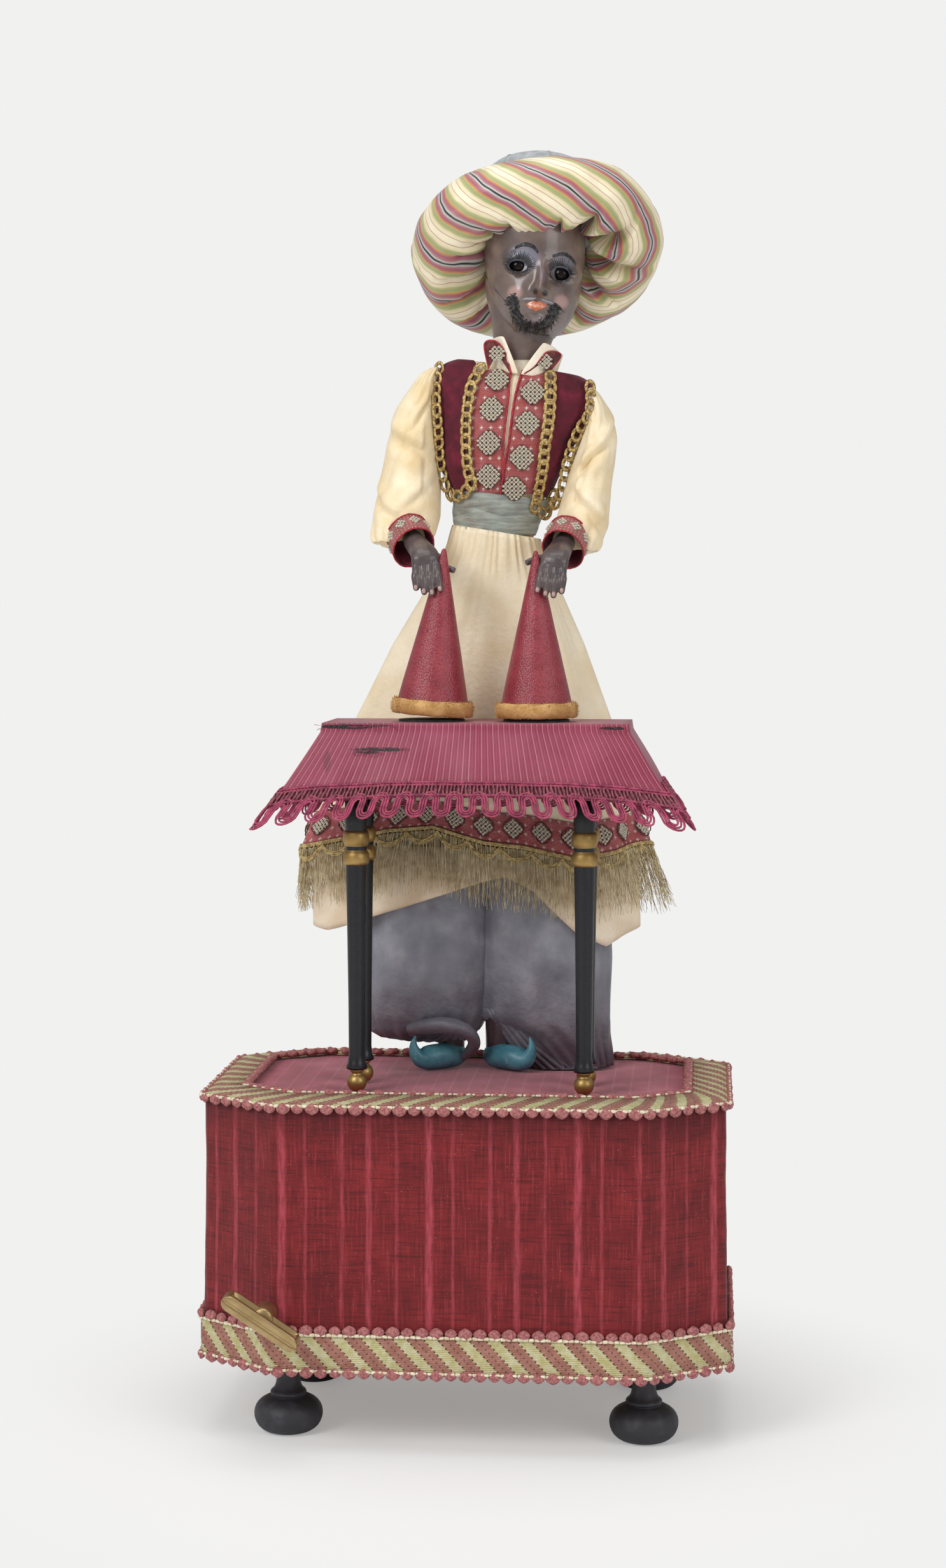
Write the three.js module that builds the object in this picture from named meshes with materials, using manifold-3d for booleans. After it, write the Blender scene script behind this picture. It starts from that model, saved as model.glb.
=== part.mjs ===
// A conjuror automaton: a turbaned doll stands behind a small table on a velvet-covered base
// and lifts two leather cones, driven by clockwork in the base.
// Millimetres, +X to the viewer's right, +Y to the back, +Z up, standing on the bun feet.

import * as THREE from "three";
import { mergeVertices } from "three/addons/utils/BufferGeometryUtils.js";
import Module from "manifold-3d";

const wasm = await Module();
wasm.setup();

// Fits
const gap = 0.3;
const overrun = 4;
const weld = 0.001;
const runningGap = 0.5;

// Base
const base = {
  width: 330,
  depth: 205,
  cornerWidth: 50.6,
  cornerDepth: 33.5,
  bottom: 50,
  top: 218.6,
  wall: 8,
  board: 8,
  velvet: 1.2,
};
const galloon = { bottom: 51, height: 26, thickness: 3, ledge: 26, topThickness: 2.4 };
const bunFoot = {
  x: 113.6,
  y: 57.1,
  soleRadius: 15,
  ballRadius: 22.2,
  ballHeight: 22,
  ringRadius: 11.8,
  ringHeight: 4,
  neckRadius: 7.3,
  spigotRadius: 5,
  spigotLength: 6,
};

// Winding key
const keyFromSide = 46;
const key = {
  x: keyFromSide - base.width / 2,
  z: 90,
  arborRadius: 3,
  barrelRadius: 6.9,
  barrelLength: 24,
  bowLength: 54,
  bowWidth: 15,
  bowThickness: 10,
  bowTilt: 33,
  recess: 3,
  rim: 3,
};

// Clockwork
const movement = {
  front: -61,
  back: 58,
  plate: 3,
  room: 5.5,
  right: 86,
  height: 84,
  pillarRadius: 3.5,
  pillarInset: 8,
  pivotRadius: 1.6,
};
const teeth = { module: 1.6, great: 36, cam: 24, drive: 36, pinion: 12, thickness: 4 };
const barrel = { radius: 25, depth: 24, front: -55 };
const ratchet = { teeth: 12, radius: 11, depth: 3, toothDepth: 2.5 };
const click = { length: 20, width: 6, thickness: 3, pinRadius: 2, reach: 9 };
const camshaft = {
  radius: 3,
  lowRadius: 10,
  lobeRadius: 22,
  camThickness: 2.6,
  lobeSpread: 36,
  lobeTurns: [157, 270, 45],
};
const fly = { bladeLength: 21, bladeHeight: 1.2, bladeDepth: 16, hubRadius: 4, front: -50 };
const lever = {
  pivotX: 70,
  pivotZ: 123,
  thickness: 2.4,
  height: 7,
  eyeRadius: 6,
  pinRadius: 2,
  nose: 4,
};
const rod = { radius: 1, pitch: 4.4, top: 640, bore: 6.4 };

// Table
const table = {
  centre: 7.5,
  width: 190,
  depth: 68,
  y: -39,
  top: 453.5,
  boxHeight: 27,
  boxWall: 5,
  cloth: 1,
  trapRadius: 21,
  trapHeight: 1.6,
};
const tableLeg = {
  spanX: 144,
  spanY: 33.5,
  leftOf: 4.5,
  topRadius: 7.2,
  bottomRadius: 5.2,
  flareRadius: 6,
  flareHeight: 8,
  ballRadius: 6.35,
  collarBottom: 364,
  collarTop: 385,
  collarRadius: 7.4,
  ridge: 0.9,
};
const cloth = {
  drop: 60,
  cornerDrop: 10,
  flare: 16,
  sideFlare: 34,
  cornerFlare: 6,
  wave: 1.2,
  thickness: 1.2,
};
const braid = { height: 21, thickness: 2, lift: 0.3 };

// Cones
const cone = {
  height: 105.5,
  baseRadius: 23,
  tipRadius: 1.6,
  wall: 1.5,
  point: 7.5,
  lift: 0.5,
  y: -38,
  plushHeight: 12.5,
  plushRadius: 25.6,
};
const coneLeft = { x: -22.8, lean: 4.3 };
const coneRight = { x: 43.6, lean: -0.4 };

// Doll
const doll = {
  y: 40,
  waistX: 12,
  neckX: 30,
  waistZ: 580,
  neckZ: 700,
  shoulderSlope: 9.6,
};
const leg = {
  leftX: -21,
  rightX: 14,
  radius: 10.5,
  top: 430,
  slipperHeight: 16,
  slipperLength: 36,
};
const torso = { bottom: 420, top: 685, width: 92, depth: 50 };
const vest = { bottom: 598, top: 681, thickness: 2.2, plastronWidth: 35 };
const sash = { bottom: 572, top: 597, thickness: 2.5 };
const skirt = {
  top: 571.7,
  hem: 364,
  hemX: 3.5,
  hemWidth: 243,
  hemDepth: 92,
  waistWidth: 64,
  waistDepth: 48,
  wall: 2,
  back: 8,
  fold: 2.2,
};
const fringe = { top: 372, bottom: 334, thickness: 2.6 };
const underskirt = { top: 370, hem: 315, width: 223, depth: 80, wall: 1.6, fold: 1.2 };
const trousers = {
  top: 402,
  leftHem: 238,
  rightHem: 220,
  leftWidth: 92,
  rightWidth: 92,
  depth: 62,
  fold: 1.6,
  partX: 2,
  parting: 4.5,
};
const collar = { height: 17, thickness: 1.6, clearance: 4.5, flare: 5, openWidth: 22 };

// Arms
const shoulder = { z: 662, axleRadius: 2.2, axleReach: 7 };
const sleeve = {
  rise: 8,
  clearance: 2.8,
  length: 108,
  leftWidth: 45,
  rightWidth: 36,
  depth: 44,
  fold: 0.8,
};
const cuffBand = { radius: 15, length: 15, leftOut: 26, rightOut: 17, forward: 38, rise: 6, turnOut: 4 };
const elbow = { out: 8, forward: 6, rise: 8 };
const hand = {
  wristRadius: 6.8,
  palmWidth: 21,
  palmThickness: 9,
  knuckleWidth: 19,
  fingerRadius: 2.4,
  fingerLength: 19,
  fingerPitch: 4.9,
  fingerLean: 2,
  aboveCone: 2.5,
  belowTip: 9,
  inFront: 2,
};

// Head
const head = {
  x: 38,
  y: 40,
  chin: 704,
  height: 96,
  width: 63,
  depth: 76,
  tilt: 6.5,
  neckRadius: 16.5,
  neckBottom: 689.5,
  eyeRadius: 6,
  eyeInset: 7,
  eyeSpan: 27.2,
  eyeHeight: 41,
  noseHeight: 24,
  noseLength: 13,
  noseWidth: 9,
};
const yoke = { radius: 6, bottom: 668, pivotZ: 697, pinRadius: 2, clearance: 1.8 };
const turban = { x: 38, y: 46, z: 765, ringRadius: 56, tubeRadius: 25, tilt: 36, puff: 1.8 };
const crown = { radius: 42, height: 76, tilt: 22 };

const degree = Math.PI / 180;
const fullTurn = 2 * Math.PI;

// Counts of sides and steps
const sides = { fine: 18, round: 12, small: 8, eye: 7, finger: 5 };
const steps = {
  cloth: 40,
  skirt: 36,
  trousers: 22,
  sleeve: 16,
  vest: 24,
  head: 18,
  ring: 39,
  tube: 10,
  ball: 6,
};
const turbanPuffs = 13;
const skirtFolds = 9;
const trouserFolds = 5;
const sleeveFolds = 4;
const clothWaves = 16;

// Finishes
function finish(color, roughness, metalness) {
  return new THREE.MeshStandardMaterial({ color, roughness, metalness });
}
const finishes = {
  wood: finish(0x8a6a48, 0.7, 0),
  blackWood: finish(0x17161a, 0.35, 0),
  brass: finish(0xb08d4c, 0.35, 1),
  steel: finish(0x9a9da1, 0.35, 1),
  redVelvet: finish(0x8c1b24, 0.95, 0),
  roseVelvet: finish(0xa03c50, 0.95, 0),
  braid: finish(0xd9c3a0, 0.9, 0),
  tableSilk: finish(0xa3284e, 0.6, 0),
  leather: finish(0x8e2330, 0.5, 0),
  plush: finish(0xc29a55, 0.9, 0),
  creamSatin: finish(0xf0dcb4, 0.5, 0),
  greySatin: finish(0x6d7280, 0.5, 0),
  sashSilk: finish(0x8f9a92, 0.6, 0),
  burgundy: finish(0x5b0f22, 0.9, 0),
  brocade: finish(0xa8474c, 0.7, 0),
  goldFringe: finish(0x9c843c, 0.5, 0.6),
  skin: finish(0x3c3234, 0.35, 0),
  glass: finish(0x0c0a0a, 0.05, 0),
  turbanSilk: finish(0xd8c79c, 0.55, 0),
  greyCloth: finish(0x8b8f94, 0.8, 0),
};

const model = new THREE.Group();

function add(name, geometry, material) {
  const mesh = new THREE.Mesh(geometry, material);
  mesh.name = name;
  model.add(mesh);
}

// Shapes joined and cut
function toSolid(geometry) {
  const source = geometry.index ? geometry.toNonIndexed() : geometry;
  const bare = new THREE.BufferGeometry();
  bare.setAttribute("position", source.getAttribute("position").clone());
  const merged = mergeVertices(bare, weld);
  return new wasm.Manifold(
    new wasm.Mesh({
      numProp: 3,
      vertProperties: merged.attributes.position.array,
      triVerts: new Uint32Array(merged.index.array),
    }),
  );
}

function toGeometry(solid) {
  const mesh = solid.getMesh();
  const geometry = new THREE.BufferGeometry();
  geometry.setAttribute("position", new THREE.BufferAttribute(mesh.vertProperties, 3));
  geometry.setIndex(new THREE.BufferAttribute(mesh.triVerts, 1));
  geometry.computeVertexNormals();
  return geometry;
}

function cut(geometry, ...tools) {
  return toGeometry(tools.reduce((solid, tool) => solid.subtract(toSolid(tool)), toSolid(geometry)));
}

function join(...parts) {
  return toGeometry(parts.map(toSolid).reduce((all, part) => all.add(part)));
}

function overlapOf(first, second) {
  return toGeometry(toSolid(first).intersect(toSolid(second)));
}

// Rings of points skinned into a closed body, with a fan over each end.
function loft(rings) {
  const count = rings[0].length;
  const points = rings.flat();
  const faces = [];
  for (let level = 0; level < rings.length - 1; level += 1) {
    stitch(faces, level * count, (level + 1) * count, count);
  }
  fan(points, faces, 0, rings[0], true);
  fan(points, faces, (rings.length - 1) * count, rings[rings.length - 1], false);
  return skin(points, faces);
}

// The same, with the last ring stitched back to the first.
function closedLoft(rings) {
  const count = rings[0].length;
  const faces = [];
  for (let level = 0; level < rings.length; level += 1) {
    stitch(faces, level * count, ((level + 1) % rings.length) * count, count);
  }
  return skin(rings.flat(), faces);
}

function stitch(faces, low, high, count) {
  for (let i = 0; i < count; i += 1) {
    const next = (i + 1) % count;
    faces.push(low + i, low + next, high + next);
    faces.push(low + i, high + next, high + i);
  }
}

function fan(points, faces, start, ring, facesDown) {
  const centre = ring.reduce((sum, point) => sum.add(point), new THREE.Vector3());
  points.push(centre.divideScalar(ring.length));
  const hub = points.length - 1;
  for (let i = 0; i < ring.length; i += 1) {
    const next = (i + 1) % ring.length;
    if (facesDown) {
      faces.push(hub, start + next, start + i);
    } else {
      faces.push(hub, start + i, start + next);
    }
  }
}

function skin(points, faces) {
  const geometry = new THREE.BufferGeometry();
  geometry.setFromPoints(points);
  geometry.setIndex(faces);
  geometry.computeVertexNormals();
  return geometry;
}

// Outlines in a plane
function disc(radius, x, y, count) {
  return Array.from({ length: count }, (_, i) => {
    const angle = (fullTurn * i) / count;
    return new THREE.Vector2(x + radius * Math.cos(angle), y + radius * Math.sin(angle));
  });
}

function rectangle(left, low, right, high) {
  return [
    new THREE.Vector2(left, low),
    new THREE.Vector2(right, low),
    new THREE.Vector2(right, high),
    new THREE.Vector2(left, high),
  ];
}

function prism(outline, bottom, height, holes = []) {
  const shape = new THREE.Shape(outline);
  holes.forEach((hole) => shape.holes.push(new THREE.Path(hole)));
  const geometry = new THREE.ExtrudeGeometry(shape, { depth: height, bevelEnabled: false });
  return geometry.translate(0, 0, bottom);
}

// An outline in X and Z, given its thickness along Y from its front face.
function uprightPrism(outline, front, thickness, holes = []) {
  return prism(outline, 0, thickness, holes)
    .rotateX(Math.PI / 2)
    .translate(0, front + thickness, 0);
}

function box(left, front, bottom, width, depth, height) {
  return new THREE.BoxGeometry(width, depth, height).translate(
    left + width / 2,
    front + depth / 2,
    bottom + height / 2,
  );
}

// Turned bodies, their profile as pairs of radius and place along the axis
function turned(profile, count) {
  return turnedAlongY(profile, count).rotateX(Math.PI / 2);
}

function turnedAlongY(profile, count) {
  const points = profile.map(([radius, along]) => new THREE.Vector2(radius, along));
  return new THREE.LatheGeometry(points, count);
}

function pin(radius, start, end, count) {
  return turned(
    [
      [0, start],
      [radius, start],
      [radius, end],
      [0, end],
    ],
    count,
  );
}

function pinAlongY(radius, start, end, count) {
  return turnedAlongY(
    [
      [0, start],
      [radius, start],
      [radius, end],
      [0, end],
    ],
    count,
  );
}

// A round limb along a path, each station with a radius across and a radius front to back.
function limb(stations, count) {
  const places = stations.map((station) => station.at);
  const rings = places.map((place, i) => {
    const before = places[Math.max(i - 1, 0)];
    const after = places[Math.min(i + 1, places.length - 1)];
    const along = after.clone().sub(before).normalize();
    const across = new THREE.Vector3(1, 0, 0).projectOnPlane(along).normalize();
    const over = along.clone().cross(across);
    return Array.from({ length: count }, (_, k) => {
      const angle = (fullTurn * k) / count;
      return place
        .clone()
        .addScaledVector(across, stations[i].across * Math.cos(angle))
        .addScaledVector(over, stations[i].over * Math.sin(angle));
    });
  });
  return loft(rings);
}

// Base outline, drawn in by an inset that keeps the canted corners parallel
function octagon(inset) {
  const a = base.cornerWidth;
  const b = base.cornerDepth;
  const cant = Math.hypot(a, b);
  const cornerShare = 1 - (inset * (a + b - cant)) / (a * b);
  const x = base.width / 2 - inset;
  const y = base.depth / 2 - inset;
  const cutX = a * cornerShare;
  const cutY = b * cornerShare;
  return [
    new THREE.Vector2(x, cutY - y),
    new THREE.Vector2(x, y - cutY),
    new THREE.Vector2(x - cutX, y),
    new THREE.Vector2(cutX - x, y),
    new THREE.Vector2(-x, y - cutY),
    new THREE.Vector2(-x, cutY - y),
    new THREE.Vector2(cutX - x, -y),
    new THREE.Vector2(x - cutX, -y),
  ];
}

const boardTop = base.top - base.velvet;
const boardBottom = boardTop - base.board;
const insideFloor = base.bottom + base.board;

const inWall = base.velvet + gap;
const inCase = inWall + base.wall;

// Half the room inside the case's wall, at a distance y in front of or behind its middle
function halfRoom(y) {
  const [, side, back] = octagon(inCase);
  const share = Math.max(0, (Math.abs(y) - side.y) / (back.y - side.y));
  return side.x + (back.x - side.x) * share;
}

// Rods that run up through the right leg
const rodPlaces = ["left_arm", "right_arm", "head"].map((name, i) => ({
  name,
  y: doll.y + (i - 1) * rod.pitch,
}));

// Base
function addBase() {
  const spigots = footPlaces().map(({ x, y }) => disc(bunFoot.spigotRadius + gap, x, y, sides.round));
  add(
    "base_floor_board",
    prism(octagon(inCase + gap), base.bottom, base.board, spigots),
    finishes.wood,
  );
  const keyway = keyBore(key.arborRadius + runningGap);
  const keyHole = keyBore(key.barrelRadius + runningGap);
  const wallHeight = boardBottom - base.bottom - gap;
  add(
    "base_case",
    cut(prism(octagon(inWall), base.bottom, wallHeight, [octagon(inCase)]), keyway),
    finishes.wood,
  );
  const rodHole = disc(rod.bore, leg.rightX, doll.y, sides.small);
  add("base_top_board", prism(octagon(inWall), boardBottom, base.board, [rodHole]), finishes.wood);
  add(
    "base_velvet",
    cut(prism(octagon(0), base.bottom, boardTop - base.bottom, [octagon(base.velvet)]), keyHole),
    finishes.redVelvet,
  );
  add("top_velvet", prism(octagon(0), boardTop + gap, base.velvet - gap, [rodHole]), finishes.roseVelvet);
}

function keyBore(radius) {
  return pinAlongY(radius, -base.depth, movement.front, sides.round).translate(key.x, 0, key.z);
}

function addGalloons() {
  const band = prism(octagon(-galloon.thickness - gap), galloon.bottom, galloon.height, [octagon(-gap)]);
  add("lower_galloon", cut(band, keyBore(key.barrelRadius + runningGap)), finishes.braid);
  add(
    "top_galloon",
    prism(octagon(0), base.top + gap, galloon.topThickness, [octagon(galloon.ledge)]),
    finishes.braid,
  );
}

function footPlaces() {
  return [
    { name: "front_left", x: -bunFoot.x, y: -bunFoot.y },
    { name: "front_right", x: bunFoot.x, y: -bunFoot.y },
    { name: "back_left", x: -bunFoot.x, y: bunFoot.y },
    { name: "back_right", x: bunFoot.x, y: bunFoot.y },
  ];
}

// Power that rounds the side of a bun foot; a lower one makes it fuller
const ballRoundness = 0.6;

function addFeet() {
  const { ballRadius, ballHeight, soleRadius, ringRadius, ringHeight, neckRadius, spigotRadius } = bunFoot;
  const ballArc = Array.from({ length: steps.ball + 1 }, (_, i) => {
    const heightShare = i / steps.ball;
    const bulgeShare = Math.sin(Math.PI * heightShare) ** ballRoundness;
    return [soleRadius + (ballRadius - soleRadius) * bulgeShare, ballHeight * heightShare];
  });
  const profile = [
    [0, 0],
    ...ballArc,
    [ringRadius, ballHeight + gap],
    [ringRadius, ballHeight + ringHeight],
    [neckRadius, ballHeight + ringHeight * 2],
    [neckRadius, base.bottom - gap],
    [spigotRadius, base.bottom - gap],
    [spigotRadius, base.bottom + bunFoot.spigotLength],
    [0, base.bottom + bunFoot.spigotLength],
  ];
  footPlaces().forEach(({ name, x, y }) => {
    add(`bun_foot_${name}`, turned(profile, sides.fine).translate(x, y, 0), finishes.blackWood);
  });
}

// Winding key and its arbor
const keyFace = -base.depth / 2 - galloon.thickness;
const keyFront = keyFace - key.barrelLength;

function addKey() {
  const endRadius = key.bowThickness / 2;
  const outline = [1, -1].flatMap((side) =>
    Array.from({ length: sides.small + 1 }, (_, i) => {
      const angle = (Math.PI * i) / sides.small - Math.PI / 2;
      const along = key.bowLength / 2 - endRadius + endRadius * Math.cos(angle);
      return new THREE.Vector2(side * along, side * endRadius * Math.sin(angle));
    }),
  );
  const bow = uprightPrism(outline, -key.bowWidth / 2, key.bowWidth);
  const recessLength = key.bowLength - key.rim * 4;
  const recess = box(
    -recessLength / 2,
    -key.bowWidth / 2 + key.rim,
    key.bowThickness / 2 - key.recess,
    recessLength,
    key.bowWidth - key.rim * 2,
    key.recess + overrun,
  );
  const placed = cut(bow, recess)
    .rotateY(key.bowTilt * degree)
    .translate(0, keyFront, 0);
  const socketEnd = keyFace + overrun * 2;
  const socket = pinAlongY(key.arborRadius + gap, keyFront + key.bowWidth, socketEnd, sides.small);
  const stem = pinAlongY(key.barrelRadius, keyFront, keyFace + overrun, sides.round);
  add("winding_key", cut(join(placed, stem), socket).translate(key.x, 0, key.z), finishes.brass);
}

function polar(radius, angle) {
  return new THREE.Vector2(radius * Math.cos(angle), radius * Math.sin(angle));
}

function ratchetOutline() {
  const pitch = fullTurn / ratchet.teeth;
  const root = ratchet.radius - ratchet.toothDepth;
  return Array.from({ length: ratchet.teeth }, (_, i) => [
    polar(root, pitch * i),
    polar(ratchet.radius, pitch * (i + 1) - degree),
  ]).flat();
}

const ratchetFront = movement.front - ratchet.depth - runningGap;

function addWindingArbor() {
  const wheel = uprightPrism(ratchetOutline(), ratchetFront, ratchet.depth);
  const shaft = pinAlongY(key.arborRadius, keyFront + key.bowWidth + gap, movement.back, sides.small);
  add("winding_arbor", join(shaft, wheel).translate(key.x, 0, key.z), finishes.steel);
}

// The click rides on a pin under the ratchet wheel, its tip just clear of the teeth.
const clickPin = { x: key.x + click.reach + ratchet.radius, z: key.z - click.length / 2 - ratchet.radius };

function addClick() {
  const toWheel = new THREE.Vector2(key.x - clickPin.x, key.z - clickPin.z);
  const reach = toWheel.length() - ratchet.radius - gap;
  const arm = [
    new THREE.Vector2(0, -click.width / 2),
    new THREE.Vector2(reach, -gap),
    new THREE.Vector2(reach, gap),
    new THREE.Vector2(0, click.width / 2),
  ];
  const turn = toWheel.angle();
  const body = join(
    uprightPrism(disc(click.width, 0, 0, sides.small), ratchetFront, click.thickness),
    uprightPrism(arm, ratchetFront, click.thickness).rotateY(-turn),
  );
  const hole = pinAlongY(click.pinRadius + gap, ratchetFront - overrun, movement.front, sides.small);
  add("click", cut(body, hole).translate(clickPin.x, 0, clickPin.z), finishes.steel);
}

// Toothed wheels
const wheelRadius = (count) => (count * teeth.module) / 2;
const centres = {
  barrel: key.x,
  camshaft: key.x + wheelRadius(teeth.great) + wheelRadius(teeth.cam),
};
centres.fly = centres.camshaft + wheelRadius(teeth.drive) + wheelRadius(teeth.pinion);

// Shares of the tooth pitch and of the module that set a tooth's form
const toothRootShare = 0.27;
const toothTipShare = 0.12;
const addendumShare = 0.7;
const dedendumShare = 1.05;

function gearOutline(count, firstTooth) {
  const pitch = fullTurn / count;
  const root = wheelRadius(count) - teeth.module * dedendumShare;
  const tip = wheelRadius(count) + teeth.module * addendumShare;
  const points = [];
  for (let i = 0; i < count; i += 1) {
    const middle = firstTooth + pitch * i;
    points.push([root, middle - pitch * toothRootShare]);
    points.push([tip, middle - pitch * toothTipShare]);
    points.push([tip, middle + pitch * toothTipShare]);
    points.push([root, middle + pitch * toothRootShare]);
  }
  return points.map(([radius, angle]) => polar(radius, angle));
}

const greatFront = barrel.front + barrel.depth;
const driveFront = greatFront + teeth.thickness * 2;

function addSpringBarrel() {
  const drum = pinAlongY(barrel.radius, barrel.front, greatFront + gap, sides.fine);
  const wheel = uprightPrism(gearOutline(teeth.great, 0), greatFront, teeth.thickness);
  const bore = pinAlongY(
    key.arborRadius + gap,
    barrel.front - overrun,
    greatFront + teeth.thickness + overrun,
    sides.small,
  );
  add("spring_barrel", cut(join(drum, wheel), bore).translate(centres.barrel, 0, key.z), finishes.brass);
}

// Each cam is low all round but for one lobe, which holds its lever up.
function camOutline(lobeAt) {
  const spread = camshaft.lobeSpread * degree;
  return Array.from({ length: sides.fine }, (_, i) => {
    const angle = (fullTurn * i) / sides.fine;
    const away = Math.abs(THREE.MathUtils.euclideanModulo(angle - lobeAt + Math.PI, fullTurn) - Math.PI);
    const riseShare = Math.max(0, Math.cos((Math.min(away, spread) / spread) * (Math.PI / 2)));
    const lobe = camshaft.lobeRadius - camshaft.lowRadius;
    return polar(camshaft.lowRadius + lobe * Math.sqrt(riseShare), angle);
  });
}

// A shaft between the plates, with a thinner pivot through each
function plateShaft(radius) {
  const start = movement.front + movement.plate + runningGap;
  const shaft = pinAlongY(radius, start, movement.back - runningGap, sides.small);
  const pivots = pinAlongY(movement.pivotRadius, movement.front, movement.back + movement.plate, sides.small);
  return join(shaft, pivots);
}

function addCamshaft() {
  const camWheel = uprightPrism(
    gearOutline(teeth.cam, Math.PI + Math.PI / teeth.cam),
    greatFront,
    teeth.thickness,
  );
  const driveWheel = uprightPrism(gearOutline(teeth.drive, 0), driveFront, teeth.thickness);
  const cams = rodPlaces.map(({ y }, i) => {
    const outline = camOutline(Math.PI / 2 + camshaft.lobeTurns[i] * degree);
    return uprightPrism(outline, y - camshaft.camThickness / 2, camshaft.camThickness);
  });
  const shaft = join(plateShaft(camshaft.radius), camWheel, driveWheel, ...cams);
  add("camshaft", shaft.translate(centres.camshaft, 0, key.z), finishes.brass);
}

function addFly() {
  const pinion = uprightPrism(
    gearOutline(teeth.pinion, Math.PI + Math.PI / teeth.pinion),
    driveFront,
    teeth.thickness,
  );
  const hub = pinAlongY(fly.hubRadius, fly.front, fly.front + fly.bladeDepth, sides.small);
  const blades = box(
    -fly.bladeLength,
    fly.front,
    -fly.bladeHeight / 2,
    fly.bladeLength * 2,
    fly.bladeDepth,
    fly.bladeHeight,
  );
  const shaft = join(plateShaft(fly.hubRadius / 2), pinion, hub, blades);
  add("fly_governor", shaft.translate(centres.fly, 0, key.z), finishes.brass);
}

// Plates carry the arbors in their pivot holes; the pillars are riveted to the front plate.
function addMovementPlates() {
  const low = insideFloor + gap;
  const high = low + movement.height;
  const left = movement.room - halfRoom(Math.max(-movement.front, movement.back + movement.plate));
  const outline = rectangle(left, low, movement.right, high);
  const holeRadius = movement.pivotRadius + gap;
  const pivots = [centres.camshaft, centres.fly].map((x) => disc(holeRadius, x, key.z, sides.small));
  const arborHole = disc(key.arborRadius + gap, key.x, key.z, sides.small);
  const front = uprightPrism(outline, movement.front, movement.plate, [...pivots, arborHole]);
  const rooted = movement.front + movement.plate / 2;
  const pillar = pinAlongY(movement.pillarRadius, rooted, movement.back - gap, sides.small);
  const pillarsX = [left + movement.pillarInset, movement.right - movement.pillarInset];
  const pillars = pillarsX.map((x) => pillar.clone().translate(x, 0, high - movement.pillarInset));
  const stud = pinAlongY(click.pinRadius, ratchetFront, rooted, sides.small);
  const clickStud = stud.translate(clickPin.x, 0, clickPin.z);
  add("movement_front_plate", join(front, ...pillars, clickStud), finishes.brass);
  const leverHole = disc(lever.pinRadius + gap, lever.pivotX, lever.pivotZ, sides.small);
  add(
    "movement_back_plate",
    uprightPrism(outline, movement.back, movement.plate, [...pivots, arborHole, leverHole]),
    finishes.brass,
  );
}

// Levers that feel the cams and carry the rods
const leverNoseZ = key.z + camshaft.lobeRadius + gap;
const leverTop = lever.pivotZ + lever.height / 2;

function addLevers() {
  const pivotStart = doll.y - rod.pitch * 2;
  add(
    "lever_pivot",
    pinAlongY(lever.pinRadius, pivotStart, movement.back + movement.plate, sides.small).translate(
      lever.pivotX,
      0,
      lever.pivotZ,
    ),
    finishes.steel,
  );
  rodPlaces.forEach(({ name, y }) => {
    const front = y - lever.thickness / 2;
    const outline = [
      new THREE.Vector2(centres.camshaft, leverNoseZ),
      new THREE.Vector2(centres.camshaft + lever.nose, lever.pivotZ - lever.height / 2),
      new THREE.Vector2(lever.pivotX, lever.pivotZ - lever.height / 2),
      new THREE.Vector2(lever.pivotX, leverTop),
      new THREE.Vector2(centres.camshaft - lever.nose, leverTop),
      new THREE.Vector2(centres.camshaft - lever.nose, lever.pivotZ - lever.height / 2),
    ];
    const round = disc(lever.eyeRadius, lever.pivotX, lever.pivotZ, sides.small);
    const eye = uprightPrism(round, front, lever.thickness);
    const drill = pinAlongY(lever.pinRadius + gap, front - overrun, front + overrun * 2, sides.small);
    const hole = drill.translate(lever.pivotX, 0, lever.pivotZ);
    add(`lever_${name}`, cut(join(uprightPrism(outline, front, lever.thickness), eye), hole), finishes.brass);
    add(
      `rod_${name}`,
      pin(rod.radius, leverTop + gap, rod.top, sides.small).translate(leg.rightX, y, 0),
      finishes.steel,
    );
  });
}

// Table
const boxTop = table.top - table.cloth - gap;
const boxBottom = boxTop - table.boxHeight;
const tableLeft = table.centre - table.width / 2;
const tableFront = table.y - table.depth / 2;
const coneBottom = table.top + table.trapHeight + cone.lift;

function addTableBox() {
  const { width, depth, boxHeight, boxWall } = table;
  const shell = box(tableLeft, tableFront, boxBottom, width, depth, boxHeight);
  const hollow = box(
    tableLeft + boxWall,
    tableFront + boxWall,
    boxBottom - overrun,
    width - boxWall * 2,
    depth - boxWall * 2,
    boxHeight - boxWall + overrun,
  );
  const blockDepth = tableLeg.topRadius * 2 + boxWall;
  const blockWidth = blockDepth + tableLeg.leftOf * 2;
  const blocks = legPlaces().map(({ x, y }) => {
    const left = x < table.centre ? tableLeft : tableLeft + width - blockWidth;
    const front = y < table.y ? tableFront : tableFront + depth - blockDepth;
    return box(left, front, boxBottom, blockWidth, blockDepth, boxHeight);
  });
  const trap = pin(table.trapRadius, boxTop - boxWall / 2, table.top + table.trapHeight, sides.fine);
  const traps = [coneLeft, coneRight].map(({ x }) => trap.clone().translate(x, cone.y, 0));
  add("table_box", join(cut(shell, hollow), ...blocks, ...traps), finishes.blackWood);
}

function legPlaces() {
  const middleX = table.centre - tableLeg.leftOf;
  const reachX = tableLeg.spanX / 2;
  const reachY = tableLeg.spanY / 2;
  return [
    { name: "front_left", x: middleX - reachX, y: table.y - reachY },
    { name: "front_right", x: middleX + reachX, y: table.y - reachY },
    { name: "back_left", x: middleX - reachX, y: table.y + reachY },
    { name: "back_right", x: middleX + reachX, y: table.y + reachY },
  ];
}

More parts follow.
